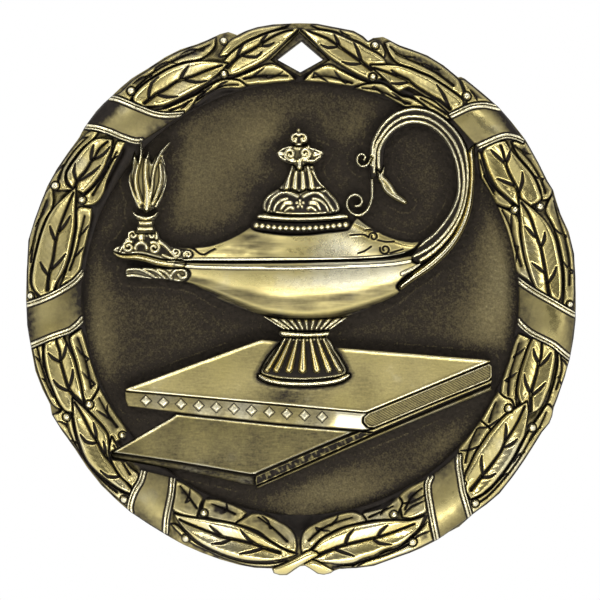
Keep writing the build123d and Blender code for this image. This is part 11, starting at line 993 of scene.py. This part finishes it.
lamp_piece("handle_rib", crowned(2.3, 0.75, 0.38, rim=0.3))
lamp_piece("handle_scrolls", {"handle_scroll": crowned(2.0, 0.4, 0.2), "handle_curl": crowned(2.0, 0.3, 0.2)}, names=["handle_scroll", "handle_curl"])
lamp_piece("handle_spur", crowned(2.1, 0.6, 0.3, rim=0.22))
lamp_piece("pedestal_collar", crowned(2.5, 0.5, 0.4, dark0=0.85))
lamp_piece("pedestal_ring", crowned(2.6, 0.5, 0.3, dark0=0.4))
lamp_piece("pedestal_bell", crowned(2.3, 0.45, 0.5, dark0=1.0, rim=0.14))
lamp_piece("pedestal_foot", crowned(2.6, 0.55, 0.4, dark0=0.6))


def bead_ring(P, d):
    h = 2.45 + 0.3 * round_edge(d, 0.3)
    dark = np.full(len(P), 0.92)
    for x, z in BEADS:
        k = np.clip(1 - (np.hypot(P[:, 0] - x, P[:, 1] - z) / 0.27) ** 2, 0, 1)
        h = np.maximum(h, np.where(k > 0, 2.8 + 0.42 * np.sqrt(k), 0))
        dark = np.where(k > 0, np.minimum(dark, 1 - ease(k * 2.0)), dark)
    return h, dark, np.where(dark < 0.5, 1.0, 0.4)


solid("lid_bead_ring_relief", [(l, bead_ring, 0.06, [([b], 0.24) for b in BEADS], 1.7) for l in OUTLINE["lid_bead_ring"]], ["lid_bead_ring"], GOLD)

# ------------------------------------------------------------------ the books
FOOT = outline_points(["pedestal_foot", "pedestal_bell"], 0.15)


def slab(at, slope, lip=0.05, dark0=0.05, edge=0.07, soft=0.10, drop=0.18, dark_spots=()):
    """A flat board, tilted as a + bx + cz, with a slightly raised lip along its outline."""
    a, b, c = slope

    def f(P, d):
        h = at + a + b * P[:, 0] + c * P[:, 1]
        h = h - drop * (1 - round_edge(d, soft)) + lip * np.exp(-(((d - 0.17) / 0.09) ** 2))
        dark = dark0 + 0.16 * wobble(P, 5, 31)
        # darker spots on the board; a negative amount makes a spot lighter
        for x, z, sx, sz, amount in dark_spots:
            dark = dark + amount * np.exp(-(((P[:, 0] - x) / sx) ** 2 + ((P[:, 1] - z) / sz) ** 2))
        # painted shadow on the board around the pedestal's foot
        foot_shadow = np.exp(-((nearest(P, FOOT) / 0.55) ** 2))
        # a bright line just inside the outline: polish on the raised lip, and a painted highlight where the lip is
        # flat
        k = np.exp(-(((d - 0.17) / 0.09) ** 2)) * (d > 0.1) * (1 - foot_shadow)
        dark = np.maximum(dark, 0.9 * foot_shadow)
        dark = np.maximum(dark * (1 - 0.95 * k), np.exp(-((d / edge) ** 2)))
        return h, dark, np.maximum(0.25 + 0.25 * wobble(P, 8, 33), 1.0 * k)
    return f


def spine_height(P, d):
    """The upper book's rounded spine, with a row of lozenges on it."""
    z = P[:, 1] - (-10.1 - 0.118 * (P[:, 0] + 5))
    # the right end of the spine is tilted in height and carries a painted highlight: patina taken off, tone raised
    bright = ease((P[:, 0] - 2.2) / 1.6)
    h = 3.12 - 0.10 * z ** 2 - 0.2 * (1 - round_edge(d, 0.2)) + 0.20 * bright * z
    dark = (0.42 + 0.16 * wobble(P, 3, 41)) * (1 - bright)
    dark = np.maximum(dark, np.exp(-((d / 0.08) ** 2)))
    tone = np.maximum(0.45 + 0.3 * wobble(P, 6, 43), bright)
    for x, zz in LOZENGES:
        q = (np.abs(P[:, 0] - x) + np.abs(P[:, 1] - zz)) / 0.46
        k = np.clip(1 - q, 0, 1)
        h = h + 0.18 * ease(k * 3)
        dark = np.where(k > 0.05, dark * (1 - ease(k * 5)), np.maximum(dark, 0.95 * np.exp(-(((q - 1.15) / 0.22) ** 2))))
        tone = np.maximum(tone, ease(k * 5))
    return h, dark, tone


def pages_height(top, pitch, tilt, amp, rim=0.16, dark0=0.35, ragged=0.0):
    """Closed pages seen from their ends: fine ribs in a channel between two rims."""
    def f(P, d):
        a = math.radians(tilt)
        s = P[:, 0] * math.cos(a) + P[:, 1] * math.sin(a)
        wave = 0.5 + 0.5 * np.sin(2 * math.pi * s / pitch)
        inner = ease((d - rim) / 0.05)
        h = top - 0.16 * inner + amp * wave * inner - 0.2 * (1 - round_edge(d, 0.1))
        dark = dark0 * inner + 0.30 * (1 - wave) * inner
        dark = np.maximum(dark, 0.9 * np.exp(-(((d - rim - 0.03) / 0.06) ** 2)))
        dark = np.maximum(dark, np.exp(-((d / 0.06) ** 2)))
        if ragged:
            w = wobble(P, 0.9, 51)
            h = h + ragged * (w - 0.5)
            dark = np.clip(dark + 0.7 * (0.55 - w), 0, 1)
        lit = ease((d - 0.05) / 0.03) * (1 - ease((d - rim + 0.04) / 0.04))
        return h, dark, np.maximum(0.3 + 0.2 * wobble(P, 3, 45), 0.9 * lit)
    return f


def book(n, f, step=0.09, lines=(), mat=BOOK):
    solid(n + "_relief", [(l, f, step, list(lines), 1.7) for l in OUTLINE[n]], [n], mat)


book("upper_book_cover", slab(3.02, (0.75, 0, 0.075), lip=0.05, dark0=0.20, dark_spots=((-1.2, -9.3, 4.4, 2.0, 0.42), (-3.5, -6.0, 2.0, 1.5, 0.15), (6.0, -8.0, 3.0, 1.2, 0.10))))
book("upper_book_spine", spine_height, 0.07, [([p], 0.3) for p in LOZENGES])
book("upper_book_pages", pages_height(3.15, 0.20, 58, 0.05, dark0=0.42), 0.06)
book("upper_book_board", slab(2.85, (0, 0, 0), lip=0.0, dark0=0.25), 0.07)
book("lower_book_cover", slab(2.35, (0, 0, 0.03), lip=0.05, dark0=0.52, dark_spots=((-14.0, -13.2, 2.2, 1.4, -0.12),)))
book("lower_book_spine", crowned(2.2, 0.55, 0.5, dark0=0.75), 0.07)
book("lower_book_pages", pages_height(2.7, 0.42, 24, 0.05, rim=0.1, dark0=0.7, ragged=0.12), 0.06)
book("lower_book_board", crowned(1.75, 0.55, 0.3, dark0=0.5), 0.07)

# ------------------------------------------------------------------ the body
PATCHES = [(-10.0, 11.2, 4.6, 5.0, 0.44), (-3.2, 15.0, 4.0, 3.0, 0.48), (8.4, 6.5, 0.1, 0.1, 0.0), (18.6, 2.6, 2.2, 5.2, 0.65),
           (17.0, -2.5, 2.6, 3.0, 0.45), (-19.0, -3.8, 2.0, 5.0, 0.50), (-19.4, 5.0, 1.4, 3.5, 0.25), (3.0, -18.0, 6.5, 2.6, 0.48),
           (14.5, -14.5, 3.2, 3.2, 0.28), (6.2, 15.8, 3.0, 2.0, 0.30), (-12.5, -17.0, 3.0, 1.6, 0.22), (17.4, 12.2, 2.0, 2.4, 0.35)]


def field_height(P, d):
    r = np.hypot(P[:, 0], P[:, 1])
    fld = r < FIELD_RADIUS + 0.4
    n = RNG.normal(0, 1, len(P))
    h = np.full(len(P), FIELD)
    h[fld] += 0.016 * n[fld]
    dark = np.full(len(P), 0.9)
    tone = np.full(len(P), 0.4)
    Q = P[fld]
    dl = nearest(Q, outline_points(LAMP_NODES + BOOK_NODES))
    line = np.exp(-(((dl - 0.78) / 0.075) ** 2)) * ease((wobble(Q, 14, 61) - 0.45) / 0.15)
    h[fld] += 0.03 * line
    lift = np.zeros(len(Q))
    for x, z, sx, sz, a in PATCHES:
        lift += a * np.exp(-(((Q[:, 0] - x) / sx) ** 2 + ((Q[:, 1] - z) / sz) ** 2))
    # patina and painted shade: the field is drawn darker close to the lamp, the books and the wreath, except in a
    # strip below the centre
    halo = ease((dl - 0.15) / 2.2)
    rim = ease((FIELD_RADIUS - np.hypot(Q[:, 0], Q[:, 1])) / 1.3)
    rim = np.maximum(rim, np.exp(-((Q[:, 0] / 2.6) ** 2)) * (Q[:, 1] < 0))
    k = 0.20 + 0.62 * lift
    dk = 1 - k * (0.25 + 0.75 * halo) * (0.35 + 0.65 * rim)
    dk = np.minimum(dk, 1 - 0.30 * line)
    dark[fld] = np.clip(dk, 0, 1)
    tone[fld] = np.clip(0.35 + 0.5 * lift, 0, 1)
    return h, dark, tone


def turns_left(loop):
    x, z = loop[:, 0], loop[:, 1]
    return float((x * np.roll(z, -1) - np.roll(x, -1) * z).sum()) > 0


def body():
    """Field, rim and back of the plate as one closed mesh, with the hanging opening through it."""
    outer, hole = np.asarray(SILHOUETTE, float), np.asarray(OPENING, float)
    loops = [outer if turns_left(outer) else outer[::-1], hole[::-1] if turns_left(hole) else hole]
    A, B = ends(loops)
    step = 0.15
    rings = [resample(l, 0.3) for l in loops]
    n = int(2 * 25.6 / step)
    gx, gz = np.meshgrid(np.arange(n), np.arange(int(n / 0.866)))
    grid = np.stack([-25.6 + (gx + 0.5 * (gz % 2)) * step, -25.6 + gz * step * 0.866], -1).reshape(-1, 2)
    grid += RNG.uniform(-0.2, 0.2, grid.shape) * step
    grid = grid[np.hypot(grid[:, 0], grid[:, 1]) < FIELD_RADIUS + 0.5]

    def sheet(free, rings_):
        pts = np.vstack(rings_ + [free])
        E, k = [], 0
        for r in rings_:
            E += [(k + i, k + (i + 1) % len(r)) for i in range(len(r))]
            k += len(r)
        res = delaunay_2d_cdt([Vector(p) for p in pts.tolist()], E, [], 1, 1e-7)
        Q = np.array([tuple(v) for v in res[0]])
        T = np.array([f for f in res[2] if len(f) == 3], int)
        T = T[inside(Q[T].mean(1), rings_)]
        u, w_ = Q[T[:, 1]] - Q[T[:, 0]], Q[T[:, 2]] - Q[T[:, 0]]
        cr = u[:, 0] * w_[:, 1] - u[:, 1] * w_[:, 0]
        T[cr < 0] = T[cr < 0][:, ::-1]
        return Q, T, [o[0] if len(o) else -1 for o in res[3]]

    nr = sum(len(r) for r in rings)
    Q, T, _ = sheet(grid, rings)
    h, dark, tone = field_height(Q, None)
    V = [np.stack([Q[:, 0], -h, Q[:, 1]], -1)]
    F = T.tolist()
    SM = [True] * len(T)
    DK, TN = [dark], [tone]
    count = len(Q)
    # rim loops, from the front edge to the back
    levels = [(FIELD, 0.0), (1.2, 0.0), (0.6, 0.0), (0.35, 0.03), (0.15, 0.14), (0.03, 0.32), (0.0, 0.5)]
    ring_index = []
    start = 0
    for r in rings:
        ring_index.append(np.arange(start, start + len(r)))
        start += len(r)
    prev = ring_index
    for y, inset in levels[1:]:
        now = []
        for r, is_hole in zip(rings, (False, True)):
            t = np.roll(r, -1, 0) - np.roll(r, 1, 0)
            t /= np.hypot(t[:, 0], t[:, 1])[:, None] + 1e-9
            inward = np.stack([-t[:, 1], t[:, 0]], -1)
            p = r + inward * (inset * (0.35 if is_hole else 1.0))
            V.append(np.stack([p[:, 0], np.full(len(p), -y), p[:, 1]], -1))
            DK.append(np.full(len(p), 0.45 if y > 0.3 else 0.3) + 0.2 * wobble(p, 3, 71))
            TN.append(np.full(len(p), 0.5))
            now.append(np.arange(count, count + len(p)))
            count += len(p)
        for a, b in zip(prev, now):
            a2, b2 = np.roll(a, -1), np.roll(b, -1)
            F += np.stack([a, b, b2, a2], -1).tolist()
            SM += [True] * len(a)
        prev = now
    # the back
    back_rings = [V[-2][:, [0, 2]], V[-1][:, [0, 2]]]
    bs = 0.45
    n = int(2 * 25.6 / bs)
    gx, gz = np.meshgrid(np.arange(n), np.arange(n))
    g = np.stack([-25.6 + gx * bs, -25.6 + gz * bs], -1).reshape(-1, 2)
    g += RNG.uniform(-0.2, 0.2, g.shape) * bs
    g = g[inside(g, back_rings)]
    bA, bB = ends(back_rings)
    g = g[seg_dist(g, bA, bB) > 0.25]
    Q2, T2, orig = sheet(g, back_rings)
    ids = np.concatenate(prev)
    remap = np.array([ids[o] if 0 <= o < len(ids) else -1 for o in orig])
    new = np.where(remap < 0)[0]
    remap[new] = count + np.arange(len(new))
    inner = Q2[new]
    wav = 0.012 * (wobble(inner, 2.2, 81) - 0.5) + 0.006 * RNG.normal(0, 1, len(inner))
    V.append(np.stack([inner[:, 0], -0.008 - np.abs(wav), inner[:, 1]], -1))
    rad = np.hypot(inner[:, 0], inner[:, 1])
    DK.append(0.20 + 0.22 * wobble(inner, 14, 83) + 0.30 * ease((rad - 23.2) / 1.8))
    TN.append(0.35 + 0.3 * wobble(inner, 11, 85))
    F += remap[T2[:, ::-1]].tolist()
    SM += [True] * len(T2)
    V = np.vstack(V) * MM
    V[:, 2] += CENTRE_Z
    me = bpy.data.meshes.new("medal_body")
    me.from_pydata(V.tolist(), [], F)
    me.polygons.foreach_set("use_smooth", SM)
    nf = len(T)
    mi = np.zeros(len(F), int)
    mi[nf:] = 1
    me.materials.append(STIPPLE)
    me.materials.append(BACKM)
    me.polygons.foreach_set("material_index", mi)
    for attr, vals in (("dark", DK), ("tone", TN)):
        me.attributes.new(attr, "FLOAT", "POINT").data.foreach_set("value", np.clip(np.concatenate(vals), 0, 1).astype(np.float32))
    me.update()
    o = bpy.data.objects.new("medal_body", me)
    bpy.context.scene.collection.objects.link(o)
    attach(o, "root")
    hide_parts("field_plate")


body()

# ------------------------------------------------------------------ stage, light and camera
FRONT, SIDE = 0.13, 0.34
floor_z = CAD_BOX[0][2] - 0.26
floor_me = bpy.data.meshes.new("floor")
ring = [(2.4 * math.cos(a), 2.4 * math.sin(a), floor_z) for a in np.linspace(0, 2 * math.pi, 97)[:-1]]
floor_me.from_pydata(ring, [], [tuple(range(96))])
floor = bpy.data.objects.new("floor", floor_me)
bpy.context.scene.collection.objects.link(floor)
fm = bpy.data.materials.new("pale_floor")
fm.use_nodes = True
fb = fm.node_tree.nodes["Principled BSDF"]
fb.inputs["Roughness"].default_value = 0.9
tex = fm.node_tree.nodes.new("ShaderNodeTexNoise")
tex.inputs["Scale"].default_value = 3.0
fr_ = ramp(fm.node_tree, [(0.3, (0.92, 0.92, 0.915)), (0.7, (0.95, 0.95, 0.945))])
link(fm.node_tree, tex.outputs["Fac"], fr_.inputs[0])
link(fm.node_tree, fr_.outputs[0], fb.inputs["Base Color"])
floor_me.materials.append(fm)

world = bpy.data.worlds.new("studio")
bpy.context.scene.world = world
world.use_nodes = True
wt = world.node_tree
bg = wt.nodes["Background"]
tc = wt.nodes.new("ShaderNodeTexCoord")
sx = wt.nodes.new("ShaderNodeSeparateXYZ")
link(wt, tc.outputs["Generated"], sx.inputs[0])
# darker in front of the face and brighter round the sides, like a dim room between softboxes
front = ramp(wt, [(0.0, (FRONT,) * 3), (0.08, (FRONT * 1.1,) * 3), (0.30, (SIDE,) * 3), (0.75, (1.0, 1.0, 1.0)), (1.0, (1.2, 1.2, 1.2))])
fr2 = wt.nodes.new("ShaderNodeMapRange")
fr2.inputs["From Min"].default_value = -1.0
fr2.inputs["From Max"].default_value = 1.0
link(wt, sx.outputs["Y"], fr2.inputs["Value"])
link(wt, fr2.outputs[0], front.inputs[0])
lp = wt.nodes.new("ShaderNodeLightPath")
wm = wt.nodes.new("ShaderNodeMix")
wm.data_type = "RGBA"
wm.inputs[7].default_value = (1.0, 1.0, 1.0, 1)
link(wt, lp.outputs["Is Camera Ray"], wm.inputs["Factor"])
link(wt, front.outputs[0], wm.inputs[6])
link(wt, wm.outputs[2], bg.inputs["Color"])
bg.inputs["Strength"].default_value = 1.0

mid = Vector((0, -0.002, CENTRE_Z))


def softbox(name, direction, size, energy, far=0.45, colour=(1, 0.985, 0.95)):
    l = bpy.data.lights.new(name, "AREA")
    l.energy = energy
    l.shape = "RECTANGLE"
    l.size, l.size_y = size
    l.color = colour
    o = bpy.data.objects.new(name, l)
    bpy.context.scene.collection.objects.link(o)
    loc = mid + Vector(direction).normalized() * far
    o.location = loc
    o.rotation_euler = (mid - loc).to_track_quat("-Z", "Y").to_euler()
    return o


softbox("key_top_left", (-0.38, -0.80, 0.50), (0.15, 0.09), 0.44)
softbox("key_top_right", (0.30, -0.82, 0.46), (0.10, 0.07), 0.10)
softbox("low_front", (0.12, -0.80, -0.55), (0.22, 0.09), 0.62)
softbox("right", (0.80, -0.62, 0.05), (0.12, 0.25), 0.45)
softbox("left", (-0.88, -0.48, -0.15), (0.12, 0.25), 0.25)
softbox("wash", (0.0, -0.12, 0.95), (0.5, 0.3), 2.6, far=0.8)

cam = bpy.data.cameras.new("camera")
cam.lens = 200
cam.sensor_width = 36
cam.clip_start = 0.01
cam.clip_end = 50
co_ = bpy.data.objects.new("camera", cam)
bpy.context.scene.collection.objects.link(co_)
dist = 0.0553 / 0.036 * 0.200
co_.location = (-0.00005, -0.0026 - dist, CENTRE_Z - 0.00014)
co_.rotation_euler = (math.radians(90), 0, 0)
bpy.context.scene.camera = co_
bpy.context.scene.view_settings.view_transform = "Standard"
